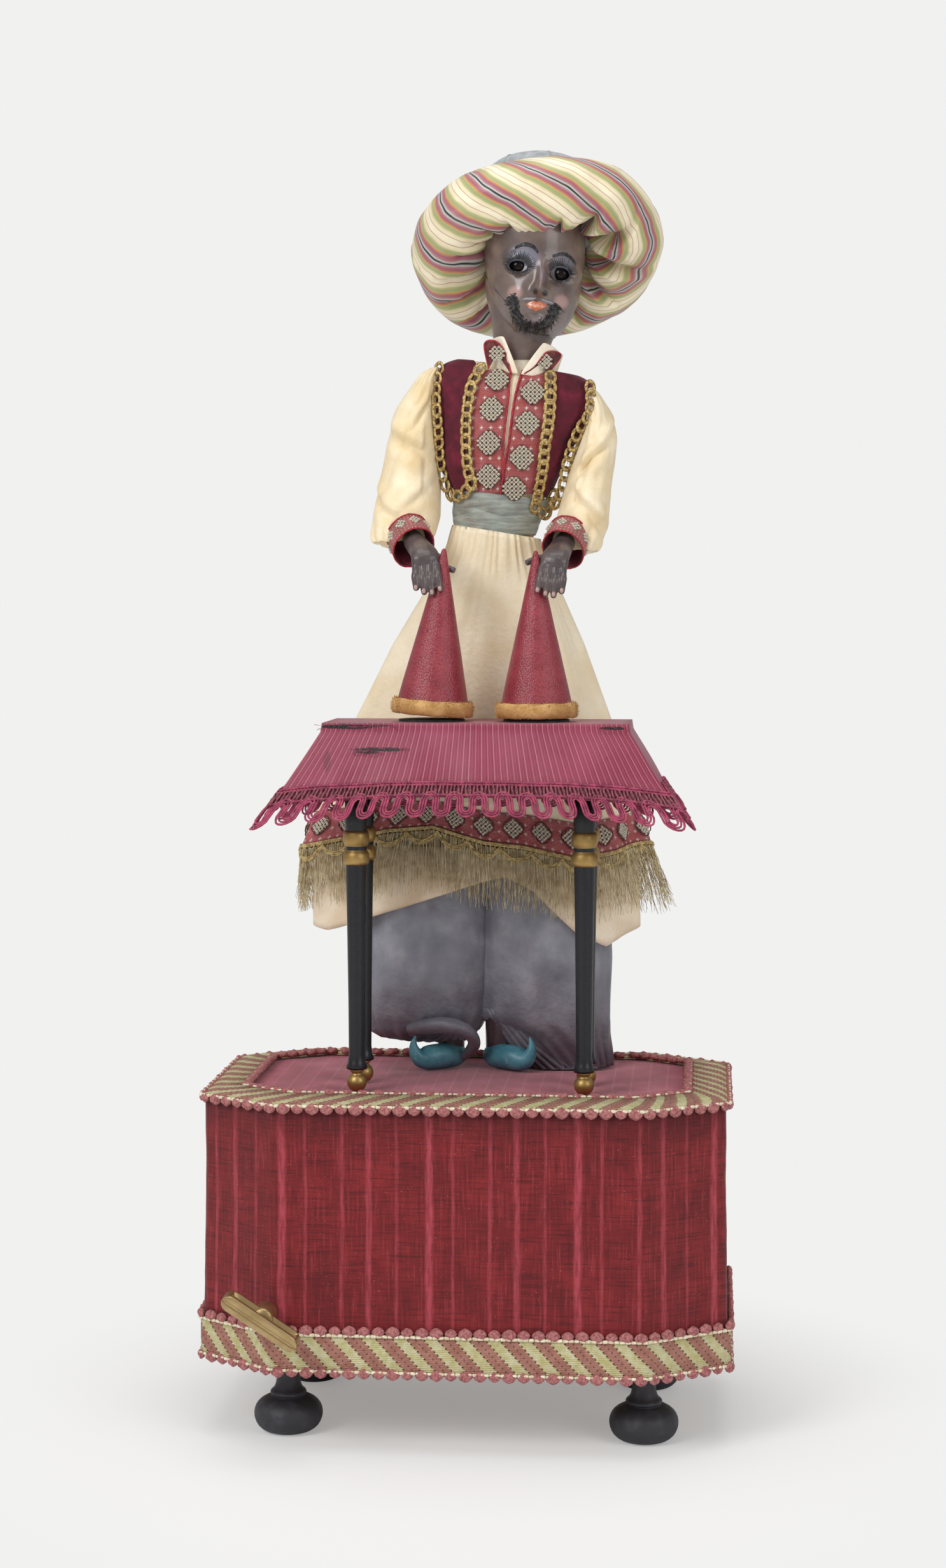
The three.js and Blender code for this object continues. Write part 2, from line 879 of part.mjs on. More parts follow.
function addTableLegs() {
  const { ballRadius, flareRadius, flareHeight, bottomRadius, topRadius, collarBottom, collarTop } = tableLeg;
  const foot = base.top;
  const ballTop = foot + ballRadius * 2;
  const ball = Array.from({ length: steps.ball + 1 }, (_, i) => {
    const angle = (Math.PI * i) / steps.ball - Math.PI / 2;
    return [ballRadius * Math.cos(angle), foot + ballRadius + ballRadius * Math.sin(angle)];
  });
  const collarHeight = collarTop - collarBottom;
  const profile = [
    [0, foot],
    [ball[1][0], foot],
    ...ball.slice(2, -1),
    [flareRadius, ballTop],
    [bottomRadius, ballTop + flareHeight],
    [topRadius - tableLeg.ridge, collarBottom],
    [tableLeg.collarRadius, collarBottom + gap],
    [tableLeg.collarRadius, collarBottom + collarHeight / 3],
    [tableLeg.collarRadius - tableLeg.ridge * 2, collarBottom + collarHeight / 2],
    [tableLeg.collarRadius, collarTop - collarHeight / 3],
    [tableLeg.collarRadius, collarTop],
    [topRadius - tableLeg.ridge, collarTop + gap],
    [topRadius, boxBottom - gap],
    [0, boxBottom - gap],
  ];
  legPlaces().forEach(({ name, x, y }) => {
    add(`table_leg_${name}`, turned(profile, sides.round).translate(x, y, 0), finishes.blackWood);
  });
}

// Tablecloth: flat on the table, its sides flaring outwards and its corners hanging lowest.
// Shares of the drop, and how far the cloth has flared by there
const clothShares = [
  [0, 0],
  [0.08, 0.02],
  [0.5, 0.45],
  [0.78, 0.75],
  [1, 1],
];

// Power that keeps a corner's droop near the corner
const cornerPower = 3;

function clothPoint(turn, downShare, flareShare, outward) {
  const longest = Math.max(Math.abs(Math.cos(turn)), Math.abs(Math.sin(turn)));
  const alongX = Math.cos(turn) / longest;
  const alongY = Math.sin(turn) / longest;
  const cornering = Math.abs(alongX * alongY) ** cornerPower;
  const halfX = table.width / 2 + gap + cloth.sideFlare * flareShare + outward;
  const flareY = alongY < 0 ? cloth.flare : 0;
  const halfY = table.depth / 2 + gap + flareY * flareShare + outward;
  const wave = cloth.wave * flareShare * (1 + Math.cos(clothWaves * turn)) * (alongY < 0 ? 1 : 0);
  const drop = cloth.drop * downShare + cloth.cornerDrop * downShare * cornering;
  const x = alongX * (halfX + wave + cloth.cornerFlare * flareShare * cornering);
  return new THREE.Vector3(table.centre + x, table.y + alongY * (halfY + wave), table.top - drop);
}

function clothRing(downShare, flareShare, outward) {
  return Array.from({ length: steps.cloth }, (_, i) =>
    clothPoint((fullTurn * i) / steps.cloth, downShare, flareShare, outward),
  );
}

function addTablecloth() {
  const inner = clothShares.map(([down, flare]) => clothRing(down, flare, gap));
  inner[0].forEach((point) => point.setZ(table.top - table.cloth));
  const outer = clothShares.map(([down, flare]) => clothRing(down, flare, gap + cloth.thickness));
  const drill = pin(table.trapRadius + gap, table.top - overrun, table.top + overrun, sides.fine);
  const trapHoles = [coneLeft, coneRight].map(({ x }) => drill.clone().translate(x, cone.y, 0));
  add("tablecloth", cut(loft([...inner, ...outer.reverse()]), ...trapHoles), finishes.tableSilk);

  const levels = [1 - braid.height / cloth.drop, 1];
  const inside = cloth.thickness + gap + braid.lift;
  const innerBraid = levels.map((share) => clothRing(share, share, inside));
  const outerBraid = levels.map((share) => clothRing(share, share, inside + braid.thickness));
  add("cloth_braid", closedLoft([...innerBraid, ...outerBraid.reverse()]), finishes.braid);
}

// Doll: its body leans, so each height has its own middle.
function spineX(z) {
  const share = (z - doll.waistZ) / (doll.neckZ - doll.waistZ);
  return doll.waistX + (doll.neckX - doll.waistX) * share;
}

function slopeDrop(x, z) {
  const share = THREE.MathUtils.clamp((z - doll.waistZ) / (doll.neckZ - doll.waistZ), 0, 1);
  return Math.tan(doll.shoulderSlope * degree) * (x - spineX(z)) * share;
}

// A ring of a garment or body, with folds round it
function bodyRing({ x, y, z, halfX, halfY, folds = 0, depth = 0, phase = 0, sloped = false }, count) {
  return Array.from({ length: count }, (_, i) => {
    const turn = (fullTurn * i) / count;
    const ripple = depth * Math.cos(folds * turn + phase);
    const px = x + (halfX + ripple) * Math.cos(turn);
    const py = y + (halfY + ripple) * Math.sin(turn);
    return new THREE.Vector3(px, py, z - (sloped ? slopeDrop(px, z) : 0));
  });
}

// Shares of the torso's height, half its width and half its depth, from the hips up
const torsoShares = [
  [0, 0.78, 0.95],
  [0.25, 0.6, 0.85],
  [0.56, 0.55, 0.74],
  [0.64, 0.58, 0.78],
  [0.74, 0.75, 0.95],
  [0.84, 0.9, 1],
  [0.93, 1, 0.85],
  [0.975, 0.85, 0.62],
  [1, 0.5, 0.5],
];

const torsoLevels = torsoShares.map(([share]) => torso.bottom + (torso.top - torso.bottom) * share);

function torsoHalf(z, column) {
  const share = (z - torso.bottom) / (torso.top - torso.bottom);
  const above = torsoShares.findIndex(([height]) => height >= share);
  if (above <= 0) {
    return torsoShares[above < 0 ? torsoShares.length - 1 : 0][column];
  }
  const [low, high] = [torsoShares[above - 1], torsoShares[above]];
  return THREE.MathUtils.mapLinear(share, low[0], high[0], low[column], high[column]);
}

function torsoRing(z, outward, count) {
  return bodyRing(
    {
      x: z < doll.waistZ ? hipX(z) : spineX(z),
      y: doll.y,
      z,
      halfX: (torso.width / 2) * torsoHalf(z, 1) + outward,
      halfY: (torso.depth / 2) * torsoHalf(z, 2) + outward,
      sloped: true,
    },
    count,
  );
}

function hipX(z) {
  const hips = (leg.leftX + leg.rightX) / 2;
  return THREE.MathUtils.mapLinear(z, torso.bottom, doll.waistZ, hips, doll.waistX);
}

const rodBore = pin(rod.bore, base.bottom, rod.top + overrun, sides.small).translate(leg.rightX, doll.y, 0);
const axleX = { left: spineX(shoulder.z) - torso.width / 2, right: spineX(shoulder.z) + torso.width / 2 };

function axleBore(clearance, start, end) {
  return pinAlongY(shoulder.axleRadius + clearance, start, end, sides.small)
    .rotateZ(-Math.PI / 2)
    .translate(0, doll.y, shoulder.z);
}

function addTorso() {
  const body = loft(torsoLevels.map((z) => torsoRing(z, 0, steps.vest)));
  const neckSocket = pin(yoke.radius + gap, yoke.bottom - gap, torso.top + overrun, sides.round).translate(
    spineX(yoke.pivotZ),
    doll.y,
    0,
  );
  const legSockets = [leg.leftX, leg.rightX].map((x) =>
    pin(leg.radius + gap, torso.bottom - overrun, leg.top + gap, sides.round).translate(x, doll.y, 0),
  );
  const axle = axleBore(gap, axleX.left - overrun, axleX.right + overrun);
  add("torso", cut(body, rodBore, neckSocket, axle, ...legSockets), finishes.creamSatin);
  add(
    "shoulder_axle",
    axleBore(0, axleX.left - shoulder.axleReach, axleX.right + shoulder.axleReach),
    finishes.steel,
  );
}

function garmentShell(bottom, top, inside, thickness, count) {
  const between = torsoLevels.filter((z) => z > bottom && z < top);
  const levels = [bottom, ...between, top];
  const inner = levels.map((z) => torsoRing(z, inside, count));
  const outer = levels.map((z) => torsoRing(z, inside + thickness, count));
  return closedLoft([...outer, ...inner.reverse()]);
}

function addVest() {
  const shell = garmentShell(vest.bottom, vest.top, gap * 2, vest.thickness, steps.vest);
  const height = vest.top - vest.bottom;
  const tall = height + overrun * 4;
  const lean = Math.atan((doll.neckX - doll.waistX) / (doll.neckZ - doll.waistZ));
  const strip = (width) =>
    new THREE.BoxGeometry(width, torso.depth, tall)
      .rotateY(lean)
      .translate(spineX(vest.bottom + height / 2), doll.y - torso.depth / 2, vest.bottom + height / 2);
  const axle = axleBore(gap, axleX.left - overrun * 2, axleX.right + overrun * 2);
  add("vest", cut(shell, strip(vest.plastronWidth), axle), finishes.burgundy);
  add("plastron", overlapOf(shell, strip(vest.plastronWidth - gap * 2)), finishes.brocade);
}

function addSash() {
  add("sash", garmentShell(sash.bottom, sash.top, gap * 2, sash.thickness, steps.vest), finishes.sashSilk);
}

function addCollar() {
  const low = torso.top + gap;
  const middle = low + collar.height / 2;
  const high = low + collar.height;
  const wall = (wallRadius, z, flare) => {
    const radius = wallRadius + flare;
    return bodyRing({ x: spineX(z), y: doll.y, z, halfX: radius, halfY: radius, sloped: true }, steps.sleeve);
  };
  const inside = head.neckRadius + collar.clearance;
  const rings = [
    wall(inside + collar.thickness, low, 0),
    wall(inside + collar.thickness, middle, 0),
    wall(inside + collar.thickness, high, collar.flare),
    wall(inside, high, collar.flare),
    wall(inside, middle, 0),
    wall(inside, low, 0),
  ];
  const opening = box(
    spineX(middle) - collar.openWidth / 2,
    doll.y - head.depth,
    low - overrun,
    collar.openWidth,
    head.depth,
    collar.height + overrun * 2,
  );
  add("collar", cut(closedLoft(rings), opening), finishes.creamSatin);
}

// Legs with their slippers, turned out at the toes
const floorTop = base.top + gap;

// Shares of the slipper's length along the foot, of its height, and of its half width, heel to curled toe
const slipperShares = [
  [-0.12, 0.3, 0.2],
  [0, 0.5, 0.75],
  [0.3, 0.5, 0.95],
  [0.6, 0.42, 0.9],
  [0.85, 0.5, 0.6],
  [0.98, 0.85, 0.36],
  [1, 1.25, 0.2],
  [0.93, 1.5, 0.05],
];
// Parts of the foot's direction, and the share of the slipper's height that half its thickness stays under
const toeOut = 0.8;
const toeForward = 0.6;
const fullestShare = 0.55;
const ankleShare = 0.92;

function addLegs() {
  [
    { name: "left", x: leg.leftX, out: -1 },
    { name: "right", x: leg.rightX, out: 1 },
  ].forEach(({ name, x, out }) => {
    const stations = slipperShares.map(([alongShare, upShare, widthShare]) => {
      const along = leg.slipperLength * alongShare;
      const halfWidth = leg.radius * widthShare;
      return {
        at: new THREE.Vector3(
          x - (out * leg.radius) / 2 + out * toeOut * along,
          doll.y - toeForward * along,
          floorTop + leg.slipperHeight * upShare,
        ),
        across: halfWidth,
        over: Math.min(halfWidth, leg.slipperHeight * fullestShare),
      };
    });
    const foot = slipperLoft(stations, out);
    const sole = floorTop + leg.slipperHeight / 4;
    const shank = turned(
      [
        [0, sole],
        [leg.radius * ankleShare, sole],
        [leg.radius, leg.top],
        [0, leg.top],
      ],
      sides.round,
    ).translate(x, doll.y, 0);
    const belowHeight = floorTop - base.bottom;
    const below = box(-base.width, -base.depth, base.bottom, base.width * 2, base.depth * 2, belowHeight);
    const tools = name === "right" ? [below, rodBore] : [below];
    add(`leg_${name}`, cut(join(shank, foot), ...tools), finishes.skin);
  });
}

// The slipper's rings stand across the foot's own line.
function slipperLoft(stations, out) {
  const count = sides.small;
  const rings = stations.map((station, i) => {
    const before = stations[Math.max(i - 1, 0)].at;
    const after = stations[Math.min(i + 1, stations.length - 1)].at;
    const along = after.clone().sub(before).normalize();
    const across = new THREE.Vector3(toeForward, out * toeOut, 0).normalize().multiplyScalar(-1);
    const level = across.projectOnPlane(along).normalize();
    const over = along.clone().cross(level);
    return Array.from({ length: count }, (_, k) => {
      const angle = (fullTurn * k) / count;
      return station.at
        .clone()
        .addScaledVector(level, station.across * Math.cos(angle))
        .addScaledVector(over, station.over * Math.sin(angle));
    });
  });
  return loft(rings);
}

// Trousers: baggy legs gathered under, each hollow round its leg
// Shares of the leg's height from the hem, of its width to its middle, and of the width and depth
const trouserShares = {
  left: [
    [0, 0.52, 0.5, 0.45],
    [0.04, 0.51, 0.76, 0.72],
    [0.14, 0.5, 0.94, 0.94],
    [0.35, 0.5, 1, 1],
    [0.65, 0.5, 0.97, 0.96],
    [1, 0.47, 0.84, 0.85],
  ],
  right: [
    [0, 0.73, 0.5, 0.5],
    [0.1, 0.67, 0.62, 0.7],
    [0.24, 0.57, 0.86, 0.9],
    [0.4, 0.5, 1, 1],
    [0.65, 0.5, 0.97, 0.95],
    [1, 0.48, 0.84, 0.85],
  ],
};

function addTrousers() {
  [
    { name: "left", x: leg.leftX, out: -1, hem: trousers.leftHem, width: trousers.leftWidth },
    { name: "right", x: leg.rightX, out: 1, hem: trousers.rightHem, width: trousers.rightWidth },
  ].forEach(({ name, x, out, hem, width }) => {
    const inner = trousers.partX + out * trousers.parting;
    const rings = trouserShares[name].map(([heightShare, middleShare, widthShare, depthShare]) =>
      bodyRing(
        {
          x: inner + out * width * middleShare,
          y: doll.y + skirt.back,
          z: hem + (trousers.top - hem) * heightShare,
          halfX: (width / 2) * widthShare,
          halfY: (trousers.depth / 2) * depthShare,
          folds: trouserFolds,
          depth: trousers.fold * heightShare,
          phase: out,
        },
        steps.trousers,
      ),
    );
    const hole = pin(leg.radius + gap, base.bottom, leg.top, sides.round).translate(x, doll.y, 0);
    add(`trouser_${name}`, cut(loft(rings), hole), finishes.greySatin);
  });
}

// Robe skirt: gathered at the waist, widening to a waved hem
// Shares of the skirt's height from the hem, and how far it has narrowed from hem to waist
const skirtShares = [
  [0, 0],
  [0.17, 0.14],
  [0.42, 0.36],
  [0.65, 0.6],
  [0.84, 0.84],
  [0.94, 0.96],
  [1, 1],
];

function skirtRing(heightShare, narrowShare, outward) {
  const z = skirt.hem + (skirt.top - skirt.hem) * heightShare;
  const depth = THREE.MathUtils.lerp(skirt.hemDepth, skirt.waistDepth, narrowShare);
  return bodyRing(
    {
      x: THREE.MathUtils.lerp(skirt.hemX, doll.waistX, narrowShare),
      y: doll.y + (1 - narrowShare) * skirt.back,
      z,
      halfX: THREE.MathUtils.lerp(skirt.hemWidth, skirt.waistWidth, narrowShare) / 2 + outward,
      halfY: depth / 2 + outward,
      folds: skirtFolds,
      depth: skirt.fold * (1 - narrowShare),
    },
    steps.skirt,
  );
}

function addRobe() {
  const outer = skirtShares.map(([height, narrow]) => skirtRing(height, narrow, 0));
  const inner = skirtShares.map(([height, narrow]) => skirtRing(height, narrow, -skirt.wall));
  add("robe_skirt", closedLoft([...outer, ...inner.reverse()]), finishes.creamSatin);

  const fall = skirt.top - skirt.hem;
  const fringeLevels = [fringe.bottom, skirt.hem, fringe.top].map((z) => (z - skirt.hem) / fall);
  const fringeWall = (outward) => fringeLevels.map((share) => skirtRing(share, Math.max(0, share), outward));
  const away = gap * 3;
  const fringeOuter = fringeWall(away + fringe.thickness);
  const fringeInner = fringeWall(away);
  add("hem_fringe", closedLoft([...fringeOuter, ...fringeInner.reverse()]), finishes.goldFringe);

  const under = (z, outward) =>
    bodyRing(
      {
        x: skirt.hemX,
        y: doll.y + skirt.back,
        z,
        halfX: underskirt.width / 2 + outward,
        halfY: underskirt.depth / 2 + outward,
        folds: skirtFolds,
        depth: underskirt.fold,
      },
      steps.skirt,
    );
  const levels = [underskirt.hem, underskirt.top];
  add(
    "underskirt",
    closedLoft([
      ...levels.map((z) => under(z, 0)),
      ...levels.map((z) => under(z, -underskirt.wall)).reverse(),
    ]),
    finishes.creamSatin,
  );
}

// Arms
// Shares of the sleeve's length down, of its width, of the way out from the body, of its depth
// and of its way forward
const sleeveShares = [
  [-0.06, 0.3, 0.12, 0.4, 0],
  [0.06, 0.62, 0.06, 0.72, 0],
  [0.3, 0.86, 0, 0.9, 0],
  [0.55, 1, 0.04, 1, 0.05],
  [0.78, 1, 0.16, 0.95, 0.3],
  [0.93, 0.8, 0.3, 0.8, 0.62],
];

function sideOf(out, z) {
  const side = spineX(z) + out * ((torso.width / 2) * torsoHalf(z, 1) + vest.thickness + gap * 2);
  return side + out * sleeve.clearance;
}

function armPlan(out) {
  const coneAt = out < 0 ? coneLeft : coneRight;
  const tipLean = Math.tan(coneAt.lean * degree) * cone.height;
  const width = out < 0 ? sleeve.leftWidth : sleeve.rightWidth;
  const cuffOut = out < 0 ? cuffBand.leftOut : cuffBand.rightOut;
  const tip = new THREE.Vector3(coneAt.x + tipLean, cone.y, coneBottom + cone.height);
  const cuff = new THREE.Vector3(tip.x + out * cuffOut, doll.y - cuffBand.forward, tip.z + cuffBand.rise);
  return { coneAt, width, tip, cuff };
}

// Shares of the way from knuckles to wrist: the palm's widest place, and the wrist's own
const palmShare = 0.45;
const wristShare = 0.85;
// Shares of a finger's length and radius: how far it hangs, its tip, and where it is full
const fingerFallShare = 0.8;
const fingerTipShare = 0.6;
const fingerFullShare = 0.2;
// Share of the cuff's radius that it is wide
const cuffWidthShare = 0.8;

function addArm(name, out) {
  const { coneAt, width, tip, cuff } = armPlan(out);
  const lift = Math.abs(Math.sin(coneAt.lean * degree)) * cone.plushRadius;
  const place = (geometry) =>
    geometry.rotateY(coneAt.lean * degree).translate(coneAt.x, cone.y, coneBottom + lift);

  const leather = turned(
    [
      [cone.baseRadius, 0],
      [cone.tipRadius, cone.height - cone.tipRadius],
      [0, cone.height],
      [0, cone.height - cone.point],
      [cone.baseRadius - cone.wall, 0],
      [cone.baseRadius, 0],
    ],
    sides.fine,
  );
  add(`cone_${name}`, place(leather), finishes.leather);

  const slope = (cone.baseRadius - cone.tipRadius) / cone.height;
  const inner = (z) => cone.baseRadius - z * slope + gap;
  const plush = turned(
    [
      [inner(0), 0],
      [cone.plushRadius - cone.wall, 0],
      [cone.plushRadius, cone.plushHeight / 4],
      [cone.plushRadius, (cone.plushHeight * 3) / 4],
      [cone.plushRadius - cone.wall * 2, cone.plushHeight],
      [inner(cone.plushHeight), cone.plushHeight],
      [inner(0), 0],
    ],
    sides.fine,
  );
  add(`cone_plush_${name}`, place(plush), finishes.plush);

  const wrist = cuff.clone().add(new THREE.Vector3(0, cuffBand.length / 2, 0));
  const elbowX = cuff.x + out * elbow.out;
  const elbowAt = new THREE.Vector3(elbowX, doll.y - elbow.forward, cuff.z + elbow.rise);
  const side = out * (cone.tipRadius + hand.palmThickness / 2 + hand.fingerRadius + hand.aboveCone);
  const knuckles = new THREE.Vector3(tip.x + side, tip.y - hand.inFront, tip.z - hand.belowTip);
  const towardsWrist = (share) => knuckles.clone().lerp(wrist, share);
  const thick = hand.palmThickness / 2;
  const palmStations = [
    { at: knuckles, across: hand.knuckleWidth / 2, over: thick },
    { at: towardsWrist(palmShare), across: hand.palmWidth / 2, over: thick },
    { at: towardsWrist(wristShare), across: hand.wristRadius, over: hand.wristRadius },
    { at: elbowAt, across: hand.wristRadius, over: hand.wristRadius },
  ];
  const palm = limb(palmStations, sides.small);
  const fingers = [-1.5, -0.5, 0.5, 1.5].map((pitches) => {
    const start = knuckles.clone().setX(knuckles.x + pitches * hand.fingerPitch);
    const fall = hand.fingerLength * fingerFallShare;
    const end = start.clone().add(new THREE.Vector3(-out * hand.fingerLean, -hand.fingerLength / 2, -fall));
    const tipRadius = hand.fingerRadius * fingerTipShare;
    const full = end.clone().lerp(start, fingerFullShare);
    const rooted = start.clone().lerp(wrist, fingerFullShare);
    return limb(
      [
        { at: end, across: tipRadius, over: tipRadius },
        { at: full, across: hand.fingerRadius, over: hand.fingerRadius },
        { at: rooted, across: hand.fingerRadius, over: hand.fingerRadius },
      ],
      sides.finger,
    );
  });
  const coneClear = place(
    turned(
      [
        [0, 0],
        [cone.baseRadius + gap, 0],
        [cone.tipRadius + gap, cone.height],
        [0, cone.height + gap],
      ],
      sides.fine,
    ),
  );
  const handShape = join(palm, ...fingers);
  add(`hand_${name}`, cut(handShape, coneClear), finishes.skin);

  const top = shoulder.z + sleeve.rise;
  const rings = sleeveShares.map(([downShare, widthShare, outShare, depthShare, forwardShare]) => {
    const z = top - sleeve.length * downShare;
    const wide = width * widthShare;
    const inside = sideOf(out, Math.max(z, sash.bottom)) + out * width * outShare;
    return bodyRing(
      {
        x: inside + (out * wide) / 2,
        y: doll.y - (doll.y - cuff.y) * forwardShare,
        z,
        halfX: wide / 2,
        halfY: (sleeve.depth / 2) * depthShare,
        folds: sleeveFolds,
        depth: sleeve.fold * widthShare,
        phase: out,
      },
      steps.sleeve,
    );
  });
  const cuffEnds = [
    cuff.clone().add(new THREE.Vector3(0, -cuffBand.length / 2, 0)),
    cuff.clone().add(new THREE.Vector3(out * cuffBand.turnOut, cuffBand.length, 0)),
  ];
  const band = limb(
    cuffEnds.map((at) => ({ at, across: cuffBand.radius * cuffWidthShare, over: cuffBand.radius })),
    sides.round,
  );
  const palmClear = palmStations.map(({ at, across, over }) => ({
    at,
    across: across + runningGap * 2,
    over: over + runningGap * 2,
  }));
  palmClear[palmClear.length - 1].at = elbowAt.clone().add(new THREE.Vector3(0, runningGap * 2, 0));
  const armHole = limb(palmClear, sides.small);
  const outerEnd = axleX[name] + out * shoulder.axleReach * 2;
  const innerEnd = axleX[name] - out * overrun * 2;
  const axle = axleBore(runningGap, Math.min(outerEnd, innerEnd), Math.max(outerEnd, innerEnd));
  const bag = join(loft(rings.reverse()), band);
  add(`sleeve_${name}`, cut(bag, armHole, axle), finishes.creamSatin);
}

// Head
// Shares of the head's height, of half its width, and of half its depth to the front and to the back
const headShares = [
  [0, 0.3, 0.62, 0.05],
  [0.05, 0.45, 0.86, 0.2],
  [0.14, 0.62, 0.95, 0.45],
  [0.26, 0.76, 0.98, 0.7],
  [0.4, 0.88, 0.98, 0.9],
  [0.52, 0.96, 0.95, 1],
  [0.66, 1, 0.97, 1.02],
  [0.8, 0.96, 0.92, 1],
  [0.92, 0.76, 0.7, 0.8],
  [1, 0.36, 0.34, 0.4],
];

function tilted(geometry) {
  return geometry
    .translate(-head.x, 0, -head.chin)
    .rotateY(head.tilt * degree)
    .translate(head.x, 0, head.chin);
}

function headForm(shares, outward) {
  const rings = shares.map(([heightShare, widthShare, frontShare, backShare]) =>
    Array.from({ length: steps.head }, (_, i) => {
      const turn = (fullTurn * i) / steps.head;
      const depthShare = Math.sin(turn) < 0 ? frontShare : backShare;
      return new THREE.Vector3(
        head.x + ((head.width / 2) * widthShare + outward) * Math.cos(turn),
        head.y + ((head.depth / 2) * depthShare + outward) * Math.sin(turn),
        head.chin + head.height * heightShare + outward,
      );
    }),
  );
  return tilted(loft(rings));
}

function addHead() {
  const skull = headForm(headShares, 0);
  const neckTop = head.chin + head.height / 3;
  const neckX = spineX(yoke.pivotZ);
  const neck = limb(
    [head.neckBottom, head.chin, neckTop].map((z) => ({
      at: new THREE.Vector3(THREE.MathUtils.mapLinear(z, head.neckBottom, neckTop, neckX, head.x), doll.y, z),
      across: head.neckRadius,
      over: head.neckRadius,
    })),
    sides.round,
  );
  const nose = tilted(
    new THREE.SphereGeometry(1, sides.small, sides.finger)
      .scale(head.noseWidth / 2, head.noseLength / 2, head.noseHeight / 3)
      .translate(head.x, head.y - head.depth / 2, head.chin + head.noseHeight),
  );
  const boreTop = yoke.pivotZ + yoke.radius * 2;
  const drill = pin(yoke.radius + yoke.clearance, yoke.bottom, boreTop, sides.round);
  const bore = drill.translate(neckX, doll.y, 0);
  const eyes = [-1, 1].map((side) => eyeBall(side, gap));
  add("head", cut(join(skull, neck, nose), bore, ...eyes), finishes.skin);
  add("eye_left", eyeBall(-1, 0), finishes.glass);
  add("eye_right", eyeBall(1, 0), finishes.glass);
  const stem = pin(yoke.radius, yoke.bottom, yoke.pivotZ + yoke.radius, sides.round);
  const boreFlat = (yoke.radius + yoke.clearance) * Math.cos(Math.PI / sides.round);
  const pinReach = Math.sqrt(boreFlat ** 2 - yoke.pinRadius ** 2) - gap;
  const crossPin = pinAlongY(yoke.pinRadius, -pinReach, pinReach, sides.small)
    .rotateZ(-Math.PI / 2)
    .translate(0, 0, yoke.pivotZ);
  add("neck_yoke", join(stem, crossPin).translate(neckX, doll.y, 0), finishes.brass);
}

function eyeBall(side, clearance) {
  const ball = new THREE.SphereGeometry(head.eyeRadius + clearance, sides.small, sides.eye);
  const x = head.x + (side * head.eyeSpan) / 2;
  return tilted(ball.translate(x, head.y - head.depth / 2 + head.eyeInset, head.chin + head.eyeHeight));
}

// Shares of the crown's radius and of its height above the middle of the ring
const crownShares = [
  [0, 0],
  [0.62, 0],
  [0.66, 0.3],
  [0.86, 0.44],
  [0.94, 0.58],
  [0.84, 0.76],
  [0.54, 0.92],
  [0, 1],
];

// Turban: a puffed ring of silk, tilted back, round a domed crown
function turbanRing(outward) {
  const rings = Array.from({ length: steps.ring }, (_, i) => {
    const turn = (fullTurn * i) / steps.ring;
    return Array.from({ length: steps.tube }, (_, k) => {
      const around = (fullTurn * k) / steps.tube;
      const puff = turban.puff * Math.cos(turbanPuffs * turn + around);
      const radius = turban.tubeRadius + puff - turban.puff + outward;
      const reach = turban.ringRadius + radius * Math.sin(around);
      return new THREE.Vector3(reach * Math.cos(turn), reach * Math.sin(turn), radius * Math.cos(around));
    });
  });
  const ring = closedLoft(rings).rotateX(-turban.tilt * degree);
  return ring.translate(turban.x, turban.y, turban.z);
}

function addTurban() {
  const headSpace = headForm(headShares.slice(3), gap * 2);
  const neckRoom = head.neckRadius + runningGap * 2;
  const neckMiddle = (head.x + spineX(yoke.pivotZ)) / 2;
  const neckPin = pin(neckRoom, head.neckBottom, head.chin + head.height / 2, sides.round);
  const neckSpace = neckPin.translate(neckMiddle, doll.y, 0);
  add("turban_ring", cut(turbanRing(0), headSpace, neckSpace), finishes.turbanSilk);
  const dome = turned(
    crownShares.map(([radiusShare, heightShare]) => [crown.radius * radiusShare, crown.height * heightShare]),
    sides.fine,
  )
    .rotateX(-crown.tilt * degree)
    .translate(turban.x, turban.y, turban.z);
  add("turban_crown", cut(dome, headSpace, turbanRing(gap)), finishes.greyCloth);
}

addBase();
addGalloons();
addFeet();
addKey();
addWindingArbor();
addClick();
addSpringBarrel();
addCamshaft();
addFly();
addMovementPlates();
addLevers();
addTableBox();
addTableLegs();
addTablecloth();
addLegs();
addTrousers();
addRobe();
addTorso();
addVest();
addSash();
addCollar();
addArm("left", -1);
addArm("right", 1);
addHead();
addTurban();

// The origin lies on the floor under the middle of the whole object.
const bounds = new THREE.Box3().setFromObject(model);
const middle = bounds.getCenter(new THREE.Vector3());
model.position.set(-middle.x, -middle.y, -bounds.min.z);

export default model;
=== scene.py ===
import math
import random
from types import SimpleNamespace as Sizes

import bmesh
import bpy
from mathutils import Matrix, Vector, noise


